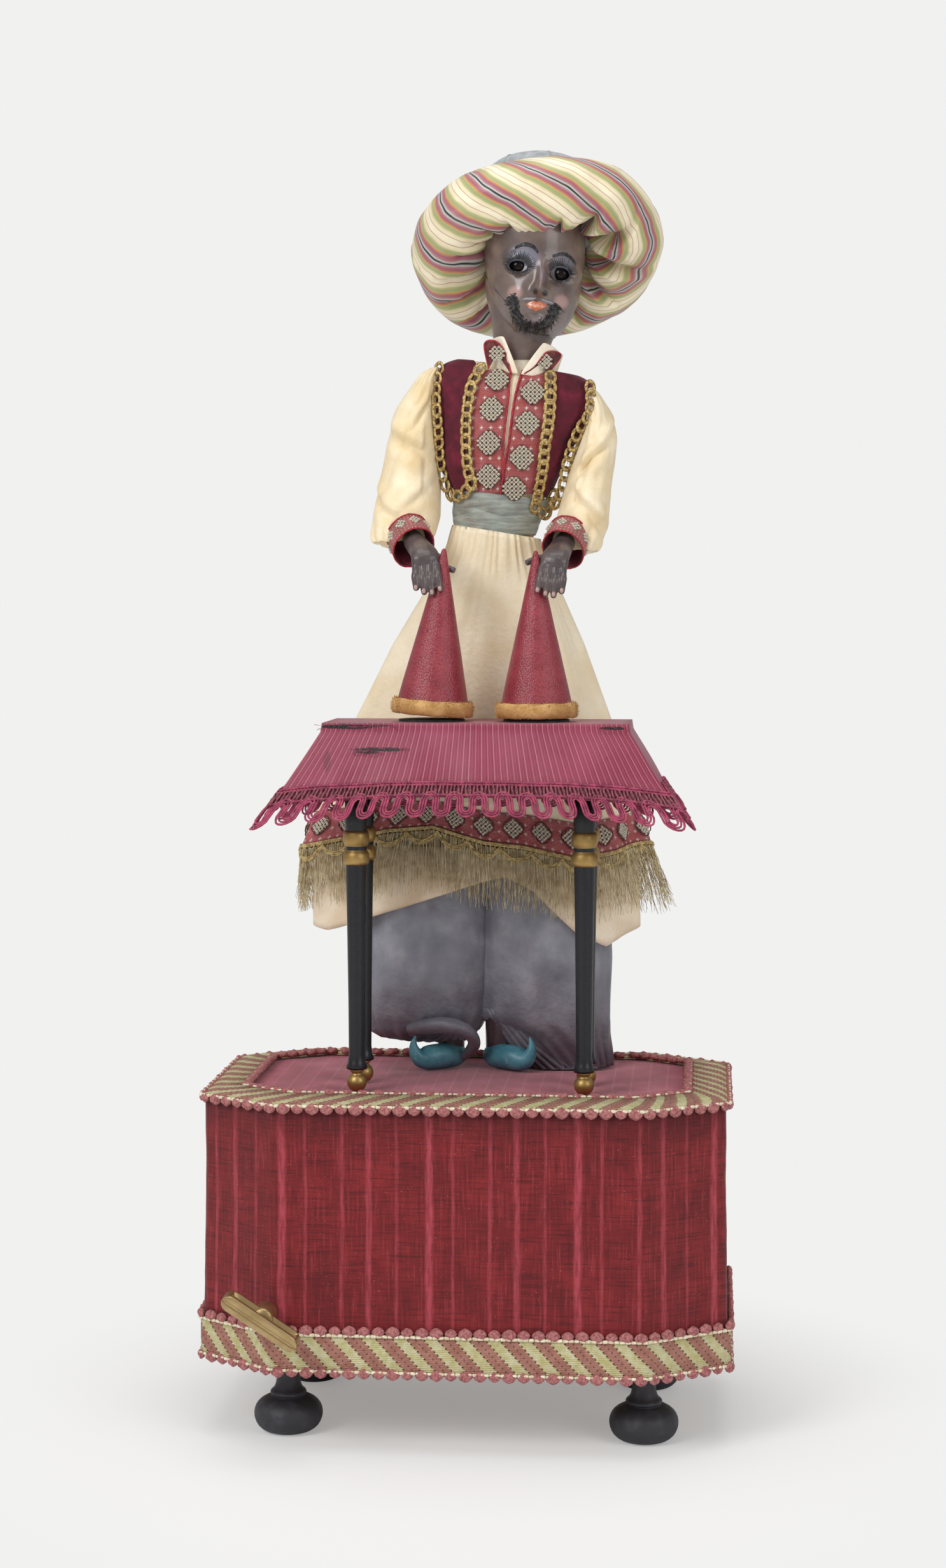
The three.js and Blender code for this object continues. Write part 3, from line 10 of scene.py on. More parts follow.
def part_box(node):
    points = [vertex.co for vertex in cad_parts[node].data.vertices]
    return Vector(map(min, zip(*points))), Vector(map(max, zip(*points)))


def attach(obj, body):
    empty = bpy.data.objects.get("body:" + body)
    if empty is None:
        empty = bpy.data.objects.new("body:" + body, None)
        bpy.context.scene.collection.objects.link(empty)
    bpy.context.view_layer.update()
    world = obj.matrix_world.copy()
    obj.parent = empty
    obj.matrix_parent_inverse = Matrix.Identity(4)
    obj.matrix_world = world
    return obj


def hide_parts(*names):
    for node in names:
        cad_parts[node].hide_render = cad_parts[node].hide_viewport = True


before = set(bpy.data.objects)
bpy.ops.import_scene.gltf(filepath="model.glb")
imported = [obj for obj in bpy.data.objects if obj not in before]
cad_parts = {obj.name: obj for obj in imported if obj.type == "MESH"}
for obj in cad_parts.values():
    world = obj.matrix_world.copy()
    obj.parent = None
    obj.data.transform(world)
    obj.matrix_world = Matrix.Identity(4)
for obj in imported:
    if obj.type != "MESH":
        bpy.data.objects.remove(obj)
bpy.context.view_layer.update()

# Places are in millimetres from the middle of the base on the floor; BACK moves them into the frame.
MM = 0.001
BASE_LOW, BASE_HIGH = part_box("base_velvet")
BACK = (BASE_LOW.y + BASE_HIGH.y) / 2 / MM
TURN = 2 * math.pi
UP = Vector((0, 0, 1))
RIGHT = Vector((1, 0, 0))
# The radius that stands for a point where a turned profile meets its axis
POINT = 0.05
BOTH_WAYS = (0, math.pi)
CORNERS = {"front_left": (-1, -1), "front_right": (1, -1), "back_left": (-1, 1), "back_right": (1, 1)}


def at(x, y, z):
    return Vector((x, y + BACK, z)) * MM


def mm(x, y, z):
    return Vector((x, y, z)) * MM


def circle(count, start=0.0):
    """Cosines and sines of turns evenly spaced round a circle."""
    return [(math.cos(TURN * k / count + start), math.sin(TURN * k / count + start)) for k in range(count)]


def turns_round(count):
    """Turns evenly spaced round a circle, starting at the back."""
    return [TURN * k / count + math.pi / 2 for k in range(count)]


def blend(a, b, share):
    return a + (b - a) * share


def blends(a, b, steps):
    return [blend(a, b, i / steps) for i in range(steps + 1)]


def smooth(share):
    share = min(max(share, 0), 1)
    return share * share * (3 - 2 * share)


def bell(value):
    return math.exp(-(value**2))


def through(table, place):
    """Straight lines through a table's rows, each a place and then its values."""
    if place <= table[0][0]:
        return table[0][1:]
    for low, high in zip(table, table[1:]):
        if place <= high[0]:
            share = (place - low[0]) / (high[0] - low[0])
            return [blend(a, b, share) for a, b in zip(low[1:], high[1:])]
    return table[-1][1:]


def curve_through(points, steps):
    """A smooth line through points, with some steps between each two."""
    line = []
    for i, (first, second) in enumerate(zip(points, points[1:])):
        before, after = points[max(i - 1, 0)], points[min(i + 2, len(points) - 1)]
        for step in range(steps):
            t = step / steps
            bend = (2 * before - 5 * first + 4 * second - after) * t * t
            swing = (3 * first - before - 3 * second + after) * t**3
            line.append((2 * first + (second - before) * t + bend + swing) / 2)
    return line + [points[-1]]


def gaps_of(points):
    return [(b - a).length for a, b in zip(points, points[1:])]


def even_values(values, gaps, count):
    """Values at even distances, from a fine list of values and the gaps between their places."""
    reach = [0.0]
    for gap in gaps:
        reach.append(reach[-1] + gap)
    found, k = [], 0
    for i in range(count):
        goal = reach[-1] * i / count
        while reach[k + 1] < goal:
            k += 1
        found.append(blend(values[k], values[k + 1], (goal - reach[k]) / (reach[k + 1] - reach[k])))
    return found


def wander(point, size, seed=0.0):
    """A soft random number from -1 to 1 that changes over about size."""
    return noise.noise(point / size + Vector((seed, seed * 1.7, -seed)))


def wander_round(turn, height, size, seed=0.0):
    """The same round an upright piece, at a turn and a height in radii."""
    return wander(Vector((math.cos(turn), math.sin(turn), height)), size, seed)


# Finished pieces
def finish(piece, material, body, stands_for=(), slot=None, wall=0, levels=0, outward=False):
    """Gives a mesh its material, its wall and its smoothness, and sets it on its body."""
    if not piece.data.materials:
        piece.data.materials.append(material)
    for face in piece.data.polygons:
        face.use_smooth = True
    if wall:
        made = piece.modifiers.new("wall", "SOLIDIFY")
        made.thickness = wall * MM
        made.offset = 1 if outward else -1
    if levels:
        made = piece.modifiers.new("rounding", "SUBSURF")
        made.levels = made.render_levels = levels
        made.uv_smooth = "PRESERVE_BOUNDARIES"
    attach(piece, body)
    if stands_for:
        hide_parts(*stands_for)
    return piece


def dress(nodes, material):
    """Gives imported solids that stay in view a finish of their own."""
    for name in nodes:
        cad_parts[name].data.materials.clear()
        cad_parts[name].data.materials.append(material)


def placed(name, data):
    piece = bpy.data.objects.new(name, data)
    bpy.context.scene.collection.objects.link(piece)
    return piece


def mesh_object(name, points, faces, corners=None):
    """A mesh from points and faces; corners gives a place on the flat cloth to each face corner."""
    mesh = bpy.data.meshes.new(name)
    mesh.from_pydata([tuple(p) for p in points], [], faces)
    if corners:
        layer = mesh.uv_layers.new(name="cloth")
        for loop, corner in zip(layer.data, corners):
            loop.uv = corner
    mesh.update()
    return placed(name, mesh)


def surface(name, rows, closed=True, width=None, flip=False, caps=()):
    """A surface through rows of points, with its weave laid out over its width and length in metres."""
    count = len(rows[0])
    across = count if closed else count - 1
    if width is None:
        width = max(sum((row[(i + 1) % count] - row[i]).length for i in range(across)) for row in rows)
    falls = [0.0]
    for low, high in zip(rows, rows[1:]):
        falls.append(falls[-1] + sum((b - a).length for a, b in zip(low, high)) / count)
    faces, corners = [], []
    for r in range(len(rows) - 1):
        for c in range(across):
            n = (c + 1) % count
            quad = [r * count + c, r * count + n, (r + 1) * count + n, (r + 1) * count + c]
            spots = [(c, r), (c + 1, r), (c + 1, r + 1), (c, r + 1)]
            if flip:
                quad.reverse()
                spots.reverse()
            faces.append(quad)
            corners += [(width * u / across, falls[v]) for u, v in spots]
    points = [p for row in rows for p in row]
    for end in caps:
        start = 0 if end == 0 else (len(rows) - 1) * count
        hub = len(points)
        points.append(sum(rows[end], Vector()) / count)
        for c in range(count):
            n = (c + 1) % count
            faces.append([hub, start + n, start + c] if (end == 0) != flip else [hub, start + c, start + n])
            corners += [(0, 0)] * 3
    return mesh_object(name, points, faces, corners)


def put_right(piece):
    """Merges doubled points and turns a closed mesh's faces outwards."""
    made = bmesh.new()
    made.from_mesh(piece.data)
    bmesh.ops.remove_doubles(made, verts=made.verts, dist=0.02 * MM)
    bmesh.ops.recalc_face_normals(made, faces=made.faces)
    made.to_mesh(piece.data)
    made.free()
    return piece


def solid(name, rows):
    """A closed solid through rings of points."""
    return put_right(surface(name, rows, caps=(0, -1)))


def turned(name, profile, x, y, sides=48):
    """A turned solid on an upright axis, its profile from the bottom up as radius and height."""
    return solid(name, [[at(x + r * c, y + r * s, z) for c, s in circle(sides)] for r, z in profile])


def tube_rows(stations, sides=12):
    """Rings across a path; each station is a place, a half width and a half depth in millimetres."""
    rows = []
    across = None
    places = [station[0] for station in stations]
    for i, (place, wide, deep) in enumerate(stations):
        along = (places[min(i + 1, len(places) - 1)] - places[max(i - 1, 0)]).normalized()
        if across is None:
            across = RIGHT if abs(along.x) <= 0.9 else Vector((0, 1, 0))
        across = (across - along * across.dot(along)).normalized()
        over = along.cross(across)
        rows.append([place + across * (wide * MM * c) + over * (deep * MM * s) for c, s in circle(sides)])
    return rows


def limb(name, spots, steps, sides):
    """A rounded solid through places with half widths and half depths."""
    places = curve_through([place for place, _, _ in spots], steps)
    sizes = curve_through([Vector((wide, deep, 0)) for _, wide, deep in spots], steps)
    return solid(name, tube_rows([(p, s.x, s.y) for p, s in zip(places, sizes)], sides))


# Geometry Nodes: threads swept along lines, and small parts repeated at places
def tree_node(tree, kind, inputs, **settings):
    """Adds a node; an input is another node's socket or a plain value."""
    made = tree.nodes.new(kind)
    for label, value in settings.items():
        setattr(made, label, value)
    for label, value in inputs.items():
        if isinstance(value, bpy.types.NodeSocket):
            tree.links.new(value, made.inputs[label])
        else:
            made.inputs[label].default_value = value
    return made.outputs


def point_value(tree, name, kind):
    return tree_node(tree, "GeometryNodeInputNamedAttribute", {"Name": name}, data_type=kind)["Attribute"]


def mesh_tree(name, sockets, made_of):
    """A tree whose mesh, from made_of, becomes real and takes a material."""
    tree = bpy.data.node_groups.new(name, "GeometryNodeTree")
    ids = {}
    for label, kind in {"Geometry": "Geometry", **sockets, "Material": "Material"}.items():
        made = tree.interface.new_socket(label, in_out="INPUT", socket_type="NodeSocket" + kind)
        ids[label] = made.identifier
    tree.interface.new_socket("Geometry", in_out="OUTPUT", socket_type="NodeSocketGeometry")
    given = tree.nodes.new("NodeGroupInput").outputs
    mesh = tree_node(tree, "GeometryNodeRealizeInstances", {"Geometry": made_of(tree, given)})[0]
    mesh = tree_node(tree, "GeometryNodeSetMaterial", {"Geometry": mesh, "Material": given["Material"]})[0]
    tree.links.new(mesh, tree.nodes.new("NodeGroupOutput").inputs["Geometry"])
    return tree, ids


def swept_threads(tree, given):
    """Turns each line of edges into a round thread, thinner where its thickness says so."""
    section = {"Resolution": given["Sides"], "Radius": given["Radius"]}
    parts = {
        "Curve": tree_node(tree, "GeometryNodeMeshToCurve", {"Mesh": given["Geometry"]})["Curve"],
        "Profile Curve": tree_node(tree, "GeometryNodeCurvePrimitiveCircle", section)["Curve"],
        "Scale": point_value(tree, "thickness", "FLOAT"),
        "Fill Caps": True,
    }
    return tree_node(tree, "GeometryNodeCurveToMesh", parts)["Mesh"]


def repeated_parts(tree, given):
    """Sets a part at every point, turned and sized by the point's own values."""
    euler = {"Euler": point_value(tree, "turn", "FLOAT_VECTOR")}
    parts = {
        "Points": given["Geometry"],
        "Instance": tree_node(tree, "GeometryNodeObjectInfo", {"Object": given["Part"]})["Geometry"],
        "Rotation": tree_node(tree, "FunctionNodeEulerToRotation", euler)["Rotation"],
        "Scale": point_value(tree, "size", "FLOAT"),
    }
    return tree_node(tree, "GeometryNodeInstanceOnPoints", parts)["Instances"]


THREADS = mesh_tree("threads", {"Radius": "Float", "Sides": "Int"}, swept_threads)
REPEATS = mesh_tree("repeats", {"Part": "Object"}, repeated_parts)
PARTS = []


def grown(name, points, edges, point_values, made_tree, values):
    """Runs a tree on a guide of points and edges and keeps the plain mesh that it makes."""
    mesh = bpy.data.meshes.new(name)
    mesh.from_pydata([tuple(p) for p in points], edges, [])
    for label, (kind, field, numbers) in point_values.items():
        mesh.attributes.new(label, kind, "POINT").data.foreach_set(field, numbers)
    guide = placed(name, mesh)
    tree, ids = made_tree
    modifier = guide.modifiers.new(tree.name, "NODES")
    modifier.node_group = tree
    for label, value in values.items():
        modifier[ids[label]] = value
    graph = bpy.context.evaluated_depsgraph_get()
    guide.data = bpy.data.meshes.new_from_object(guide.evaluated_get(graph))
    guide.modifiers.remove(modifier)
    bpy.data.meshes.remove(mesh)
    return guide


def threads(name, lines, radius, material, body, sides=5, **more):
    """Round threads along lines of points, or of points each with a share of the radius."""
    points, edges, shares = [], [], []
    for line in lines:
        start = len(points)
        for entry in line:
            place, share = entry if isinstance(entry, tuple) else (entry, 1.0)
            points.append(place)
            shares.append(share)
        edges += [(start + i, start + i + 1) for i in range(len(line) - 1)]
    values = {"Radius": radius * MM, "Sides": sides, "Material": material}
    piece = grown(name, points, edges, {"thickness": ("FLOAT", "value", shares)}, THREADS, values)
    return finish(piece, material, body, **more)


def repeats(name, part, places, material, body):
    """A part set at places, each a point, its facing directions along and out, and a size."""
    turns = []
    for _, along, out, _ in places:
        side = out.cross(along).normalized()
        along = along.normalized()
        turns += Matrix((along, side, along.cross(side))).transposed().to_euler()
    values = {"turn": ("FLOAT_VECTOR", "vector", turns), "size": ("FLOAT", "value", [p[3] for p in places])}
    piece = grown(name, [p[0] for p in places], [], values, REPEATS, {"Part": part, "Material": material})
    return finish(piece, material, body)


def small_part(name, rows, caps=(0, -1)):
    """A part that is only used for repeating, and deleted at the end."""
    part = put_right(surface(name, rows, caps=caps))
    for face in part.data.polygons:
        face.use_smooth = True
    PARTS.append(part)
    return part


# Finishes
def tint(code):
    """A colour chart's six hex digits as a linear colour."""
    channels = [int(code[i : i + 2], 16) / 255 for i in (0, 2, 4)]
    return (*[c / 12.92 if c <= 0.04045 else ((c + 0.055) / 1.055) ** 2.4 for c in channels], 1)


class Finish:
    """A material in the making: each method adds nodes and gives back the socket it ends in."""

    def __init__(self, name, **shader):
        self.material = bpy.data.materials.new(name)
        self.material.use_nodes = True
        self.tree = self.material.node_tree
        self.shader = self.tree.nodes["Principled BSDF"]
        for label, value in shader.items():
            self.shader.inputs[label.replace("_", " ")].default_value = value
        places = self.tree.nodes.new("ShaderNodeTexCoord")
        self.place = places.outputs["Object"]
        self.cloth = places.outputs["UV"]

    def node(self, kind, inputs, output=0, **settings):
        return tree_node(self.tree, "ShaderNode" + kind, inputs, **settings)[output]

    def stretched(self, where, scale):
        return self.node("VectorMath", {0: where, 1: scale}, operation="MULTIPLY")

    def grain(self, size, where=None, detail=2, roughness=0.5):
        """Noise whose spots are about size millimetres, or three sizes along the axes."""
        sizes = size if isinstance(size, tuple) else (size, size, size)
        where = self.stretched(where or self.place, tuple(1 / (s * MM) for s in sizes))
        return self.node("TexNoise", {"Vector": where, "Scale": 1, "Detail": detail, "Roughness": roughness})

    def patches(self, size, low, high, detail=2, most=1.0, where=None, roughness=0.5):
        """Patches of a grain, from none where it is low to the most where it is high."""
        return self.ramp(self.grain(size, where, detail, roughness), [(low, 0.0), (high, most)])

    def far_from(self, place, reach):
        """Distance from a place, in units of a reach along each axis in millimetres."""
        away = self.node("VectorMath", {0: self.place, 1: tuple(place)}, operation="SUBTRACT")
        away = self.stretched(away, tuple(1 / (r * MM) for r in reach))
        return self.node("VectorMath", {0: away}, output="Value", operation="LENGTH")

    def axis(self, which, where=None):
        return self.node("SeparateXYZ", {"Vector": where or self.place}, output="XYZ".index(which))

    def math(self, operation, a, b=0.0):
        return self.node("Math", {0: a, 1: b}, operation=operation)

    def swing(self, size, reach, detail=2, where=None):
        """A shift that wanders over size, from minus to plus half a reach."""
        return self.math("MULTIPLY", self.math("SUBTRACT", self.grain(size, where, detail), 0.5), reach)

    def wave(self, value, period):
        """A wave that comes again every period, in millimetres."""
        return self.math("SINE", self.math("MULTIPLY", value, TURN / (period * MM)))

    def cycle(self, value, period):
        """A share from 0 to 1 that starts again every period, in millimetres."""
        return self.math("FRACT", self.math("DIVIDE", value, period * MM))

    def ramp(self, factor, stops, interpolation="LINEAR"):
        made = self.tree.nodes.new("ShaderNodeValToRGB")
        made.color_ramp.interpolation = interpolation
        elements = made.color_ramp.elements
        while len(elements) < len(stops):
            elements.new(1)
        for element, (place, value) in zip(elements, stops):
            element.position = place
            element.color = tint(value) if isinstance(value, str) else (value, value, value, 1)
        self.tree.links.new(factor, made.inputs["Fac"])
        return made.outputs["Color"]

    def mix(self, factor, first, second):
        made = self.tree.nodes.new("ShaderNodeMix")
        made.data_type = "RGBA"
        for label, value in (("Factor_Float", factor), ("A_Color", first), ("B_Color", second)):
            socket = next(s for s in made.inputs if s.identifier == label)
            if isinstance(value, bpy.types.NodeSocket):
                self.tree.links.new(value, socket)
            else:
                socket.default_value = tint(value) if isinstance(value, str) else value
        return next(s for s in made.outputs if s.identifier == "Result_Color")

    def colour(self, socket):
        self.tree.links.new(socket, self.shader.inputs["Base Color"])
        return self

    def rough(self, factor, low, high):
        ends = {"Value": factor, "To Min": low, "To Max": high}
        self.tree.links.new(self.node("MapRange", ends), self.shader.inputs["Roughness"])
        return self

    def bump(self, height, depth):
        """Relief whose height runs from 0 to 1 over depth millimetres; calls add up."""
        before = self.shader.inputs["Normal"].links
        inputs = {"Height": height, "Distance": depth * MM, "Strength": 1.0}
        if before:
            inputs["Normal"] = before[0].from_socket
        self.tree.links.new(self.node("Bump", inputs), self.shader.inputs["Normal"])
        return self


# Finishes of the base
def worn_velvet():
    made = Finish("worn_velvet", Roughness=0.9, Sheen_Weight=0.25, Sheen_Roughness=0.4)
    around, up = made.axis("X", made.cloth), made.axis("Y", made.cloth)
    soft = made.grain(24, detail=8, roughness=0.65)
    pile = made.ramp(soft, [(0.3, "64131a"), (0.52, "78191d"), (0.75, "8a2527")])
    upright = made.grain((1.5, 30, 1), made.cloth, detail=4, roughness=0.6)
    level = made.grain((26, 1.3, 1), made.cloth, detail=4, roughness=0.6)
    for strands, low, high, code in (
        (level, (0.32, 0.85), (0.5, 0.0), "480a11"),
        (upright, (0.3, 0.8), (0.48, 0.0), "510d14"),
        (upright, (0.55, 0.0), (0.78, 0.75), "a33c42"),
        (level, (0.6, 0.0), (0.8, 0.4), "9a3438"),
    ):
        pile = made.mix(made.ramp(strands, [low, high]), pile, code)
    stops = [(0.0, 0.0)]
    for middle, half, strength in VELVET_STRIPES:
        core = half * 0.45
        stops += [
            (middle - half, 0.0), (middle - core, strength), (middle + core, strength), (middle + half, 0.0)
        ]
    waver = made.swing((40, 40, 1), 2 * MM, where=made.cloth)
    stripe = made.ramp(made.cycle(made.math("ADD", around, waver), VELVET_REPEAT), stops)
    worn = made.ramp(
        made.grain((2.2, 16, 1), made.cloth, detail=5, roughness=0.7), [(0.34, 0.15), (0.6, 0.9)]
    )
    pile = made.mix(made.math("MULTIPLY", stripe, worn), pile, "b04552")
    pile = made.mix(made.patches(0.9, 0.72, 0.78, detail=1, most=0.6), pile, "c4706a")
    height = made.math("DIVIDE", up, BASE_WALL_HEIGHT * MM)
    # Painted shade: the wall darkens towards its foot and towards its rounded top edge.
    painted_shade = made.ramp(height, [(0.0, 0.45), (0.12, 0.0), (0.85, 0.0), (1.0, 0.7)])
    made.colour(made.mix(painted_shade, pile, "35070c"))
    made.bump(made.math("ADD", upright, level), 0.35)
    return made.bump(made.grain(9, detail=4), 0.4).material


def rose_velvet():
    made = Finish("rose_velvet", Roughness=0.85, Sheen_Weight=0.35, Sheen_Roughness=0.4)
    pile = made.ramp(made.grain(22, detail=6), [(0.3, "8f2438"), (0.55, "a83850"), (0.78, "bb5468")])
    line = made.ramp(made.cycle(made.axis("X"), 11.5), [(0.0, 0.5), (0.08, 0.0), (0.92, 0.0), (1.0, 0.5)])
    made.colour(made.mix(line, pile, "c26a78"))
    return made.bump(made.grain(0.7, detail=3), 0.3).material


def woven_galloon():
    """Slanting bands of cream and dusty pink, woven in small steps, with a hole at each step painted dark
    brown as the shade inside it.
    """
    made = Finish("woven_galloon", Roughness=0.75)
    around, up = made.axis("X", made.cloth), made.axis("Y", made.cloth)
    row_height, slope = 2.3, 0.92
    step = made.math("SNAP", up, row_height * MM)
    slant = made.cycle(made.math("ADD", around, made.math("MULTIPLY", step, slope)), GALLOON_REPEAT)
    yellow = made.mix(made.patches(5, 0.35, 0.65), "ddd6ae", "c9c184")
    pink = made.mix(made.patches(4, 0.35, 0.65), "b98474", "a87060")
    share = made.ramp(slant, [(0.0, 0.0), (0.45, 0.0), (0.47, 1.0), (0.98, 1.0), (1.0, 0.0)])
    stops = [
        (0.0, 1.0), (0.03, 0.0), (0.41, 0.0), (0.44, 1.0), (0.47, 1.0), (0.5, 0.0), (0.69, 0.0), (0.71, 0.75)
    ]
    stops += [(0.74, 0.75), (0.76, 0.0), (0.96, 0.0), (0.98, 1.0), (1.0, 1.0)]
    # Painted shade: the holes at the band edges are dark brown, for the shade inside them.
    shaded_holes = made.ramp(slant, stops)
    dots = made.ramp(made.cycle(up, row_height), [(0.25, 0.0), (0.4, 1.0), (0.75, 1.0), (0.9, 0.0)])
    made.colour(made.mix(made.math("MULTIPLY", shaded_holes, dots), made.mix(share, yellow, pink), "4c2c20"))
    made.bump(made.wave(up, row_height / 2), 0.25)
    return made.bump(made.grain(0.5), 0.2).material


def thread_finish(name, light, dark, size=3.0, roughness=0.7, **shader):
    """Spun thread that wanders between two colours."""
    made = Finish(name, Roughness=roughness, **shader)
    made.colour(made.mix(made.patches(size, 0.35, 0.65), light, dark))
    return made.bump(made.grain(0.35), 0.15).material


def aged_black(name, light, dark, roughness):
    """Black paint or polish with worn brown places."""
    made = Finish(name)
    made.colour(made.mix(made.patches(7, 0.5, 0.72, detail=6), dark, light))
    made.rough(made.grain(5, detail=4), roughness, roughness + 0.25)
    return made.bump(made.grain(1.5, detail=5), 0.12).material


def aged_brass(name, light, dark, roughness=0.35):
    made = Finish(name, Metallic=0.85)
    tarnish = made.patches(11, 0.34, 0.74, detail=6, most=0.8)
    made.colour(made.mix(tarnish, light, dark))
    made.rough(tarnish, roughness, roughness + 0.3)
    return made.bump(made.grain(0.9, detail=4), 0.08).material


def plain_steel(name, roughness=0.35):
    made = Finish(name, Metallic=0.9)
    made.colour(made.ramp(made.grain(3, detail=4), [(0.35, "84878b"), (0.65, "a9acb0")]))
    return made.rough(made.grain(2), roughness, roughness + 0.15).material


def case_timber():
    made = Finish("case_timber", Roughness=0.65)
    rings = made.grain((40, 2.2, 2.2), detail=5)
    made.colour(made.ramp(rings, [(0.3, "6d4c30"), (0.55, "8d6a46"), (0.75, "a4835c")]))
    return made.bump(rings, 0.15).material


# Finishes of the table
def striped_silk():
    """Raspberry silk with pale dotted lines down the cloth and darker bands between them."""
    made = Finish("striped_silk", Roughness=0.42, Sheen_Weight=0.15)
    across, down = made.axis("X", made.cloth), made.axis("Y", made.cloth)
    share = made.cycle(across, SILK_REPEAT)
    bands = made.ramp(
        share, [(0.0, "8f2c47"), (0.25, "771f37"), (0.5, "983550"), (0.8, "7e243c"), (1.0, "8f2c47")]
    )
    silk = made.mix(made.patches(30, 0.4, 0.7, detail=5, most=0.4), bands, "a44b63")
    line = made.ramp(share, [(0.0, 0.0), (0.44, 0.0), (0.49, 0.9), (0.55, 0.9), (0.6, 0.0)])
    dots = made.ramp(made.cycle(down, 1.1), [(0.3, 0.15), (0.45, 1.0), (0.8, 1.0), (0.95, 0.15)])
    uneven = [(0.0, 1.0), (0.2, 0.5), (0.45, 1.0), (0.6, 0.35), (0.8, 0.9), (1.0, 1.0)]
    strong = made.ramp(made.cycle(across, SILK_REPEAT * 4.5), uneven)
    silk = made.mix(made.math("MULTIPLY", made.math("MULTIPLY", line, strong), dots), silk, "d898a2")
    through_cloth = 60
    for middle, half_width, half_height, dark in RIPS:
        far = made.far_from(middle, (half_width, through_cloth, half_height))
        ragged = made.math("ADD", far, made.swing((1.2, 9, 9), 1.1, detail=3))
        silk = made.mix(made.ramp(ragged, [(0.75, dark), (1.0, 0.0)]), silk, "16080c")
    thin = made.ramp(share, [(0.0, 0.4), (0.04, 0.0), (0.96, 0.0), (1.0, 0.4)])
    made.colour(made.mix(thin, silk, "b05b73"))
    made.bump(made.grain((0.3, 6, 1), made.cloth, detail=3), 0.12)
    return made.bump(made.grain(14, detail=3), 0.5).material


def pebbled_leather():
    made = Finish("pebbled_leather")
    pebbles = made.node("TexVoronoi", {"Vector": made.place, "Scale": 900.0, "Randomness": 1.0})
    worn = made.grain(12, detail=5)
    tone = made.ramp(worn, [(0.35, "8a2b36"), (0.65, "9c3a44")])
    # Painted shade: darker in the crevices between the pebbles.
    made.colour(made.mix(made.ramp(pebbles, [(0.3, 0.0), (0.9, 0.6)]), tone, "66202a"))
    made.rough(worn, 0.3, 0.42)
    return made.bump(made.math("SUBTRACT", 1.0, pebbles), 0.25).material


# Finishes of the doll's clothes
def cream_satin(name, light, dark, shine=0.36):
    """Old satin, darker and warmer in its soiled places."""
    made = Finish(name, Roughness=shine, Sheen_Weight=0.1)
    tone = made.ramp(made.grain(26, detail=6), [(0.35, light), (0.68, dark)])
    made.colour(made.mix(made.patches(2.2, 0.45, 0.75, detail=4, most=0.25), tone, dark))
    made.rough(made.grain(6, detail=3), shine, shine + 0.22)
    made.bump(made.grain(3.2, detail=5), 0.5)
    return made.bump(made.grain(0.4, detail=1), 0.05).material


def grey_satin():
    """Blue-grey satin with worn purple-brown patches and painted purple-brown shade towards its lower,
    gathered edge; its lightest random patches are painted sheen highlights.
    """
    made = Finish("grey_satin", Roughness=0.34, Sheen_Weight=0.1)
    # Random tone whose lightest patches are painted sheen highlights.
    tone = made.ramp(made.grain(20, detail=5), [(0.3, "74757f"), (0.55, "888a93"), (0.75, "a0a1a8")])
    worn = made.patches((30, 30, 40), 0.5, 0.72, detail=4, most=0.6)
    # Painted shade: purple-brown towards the lower edge of the trousers.
    hem, reach = 222, 75
    height = made.math("DIVIDE", made.math("SUBTRACT", made.axis("Z"), hem * MM), reach * MM)
    tone = made.mix(made.math("MULTIPLY", worn, 0.75), tone, "4a3640")
    made.colour(made.mix(made.ramp(height, [(0.0, 0.8), (0.5, 0.3), (1.0, 0.0)]), tone, "43303a"))
    made.rough(made.grain(5, detail=4), 0.3, 0.55)
    made.bump(made.grain(4, detail=5), 0.8)
    return made.bump(made.grain((0.35, 0.35, 3), detail=1), 0.08).material


def vest_velvet():
    made = Finish("vest_velvet", Roughness=0.9, Sheen_Weight=0.18, Sheen_Roughness=0.35)
    made.colour(made.ramp(made.grain(7, detail=5), [(0.3, "45091b"), (0.55, "5e0e24"), (0.78, "7c1834")]))
    return made.bump(made.grain(0.6, detail=3), 0.25).material


def rose_brocade(name, ground, figure, pitch):
    """Ribbed rose silk with rows of small silver crosses."""
    made = Finish(name, Roughness=0.5)
    up = made.axis("Y", made.cloth)
    cell = [
        made.math("ABSOLUTE", made.math("SUBTRACT", made.cycle(way, pitch), 0.5))
        for way in (made.axis("X", made.cloth), up)
    ]
    arm_width, arm_length = 0.05, 0.19
    narrow = made.math("LESS_THAN", made.math("MINIMUM", *cell), arm_width)
    short = made.math("LESS_THAN", made.math("MAXIMUM", *cell), arm_length)
    tone = made.mix(made.patches(6, 0.35, 0.7, detail=4), ground, "b8686a")
    made.colour(made.mix(made.math("MULTIPLY", narrow, short), tone, figure))
    return made.bump(made.wave(up, 0.9), 0.15).material


def silver_weave():
    """Metal thread in basket weave, with painted highlights on its raised crossings and painted shade in its
    hollows.
    """
    made = Finish("silver_weave", Metallic=0.15, Roughness=0.35)
    pitch = 1.6
    basket = made.math("MULTIPLY", made.wave(made.axis("X"), pitch), made.wave(made.axis("Z"), pitch))
    # Painted light and shade: lighter where the weave stands up, darker where it sinks.
    made.colour(made.mix(made.ramp(basket, [(0.3, 0.0), (0.7, 1.0)]), "c6bda6", "fffdf4"))
    return made.bump(basket, 0.3).material


def sash_silk():
    made = Finish("sash_silk", Roughness=0.45, Sheen_Weight=0.15)
    strands = made.grain((14, 14, 2.5), detail=4)
    tone = made.ramp(strands, [(0.35, "7d837d"), (0.5, "929990"), (0.68, "a9aea3")])
    made.colour(made.mix(made.patches(9, 0.5, 0.75, detail=4, most=0.5), tone, "7e6a5c"))
    return made.bump(strands, 0.5).material


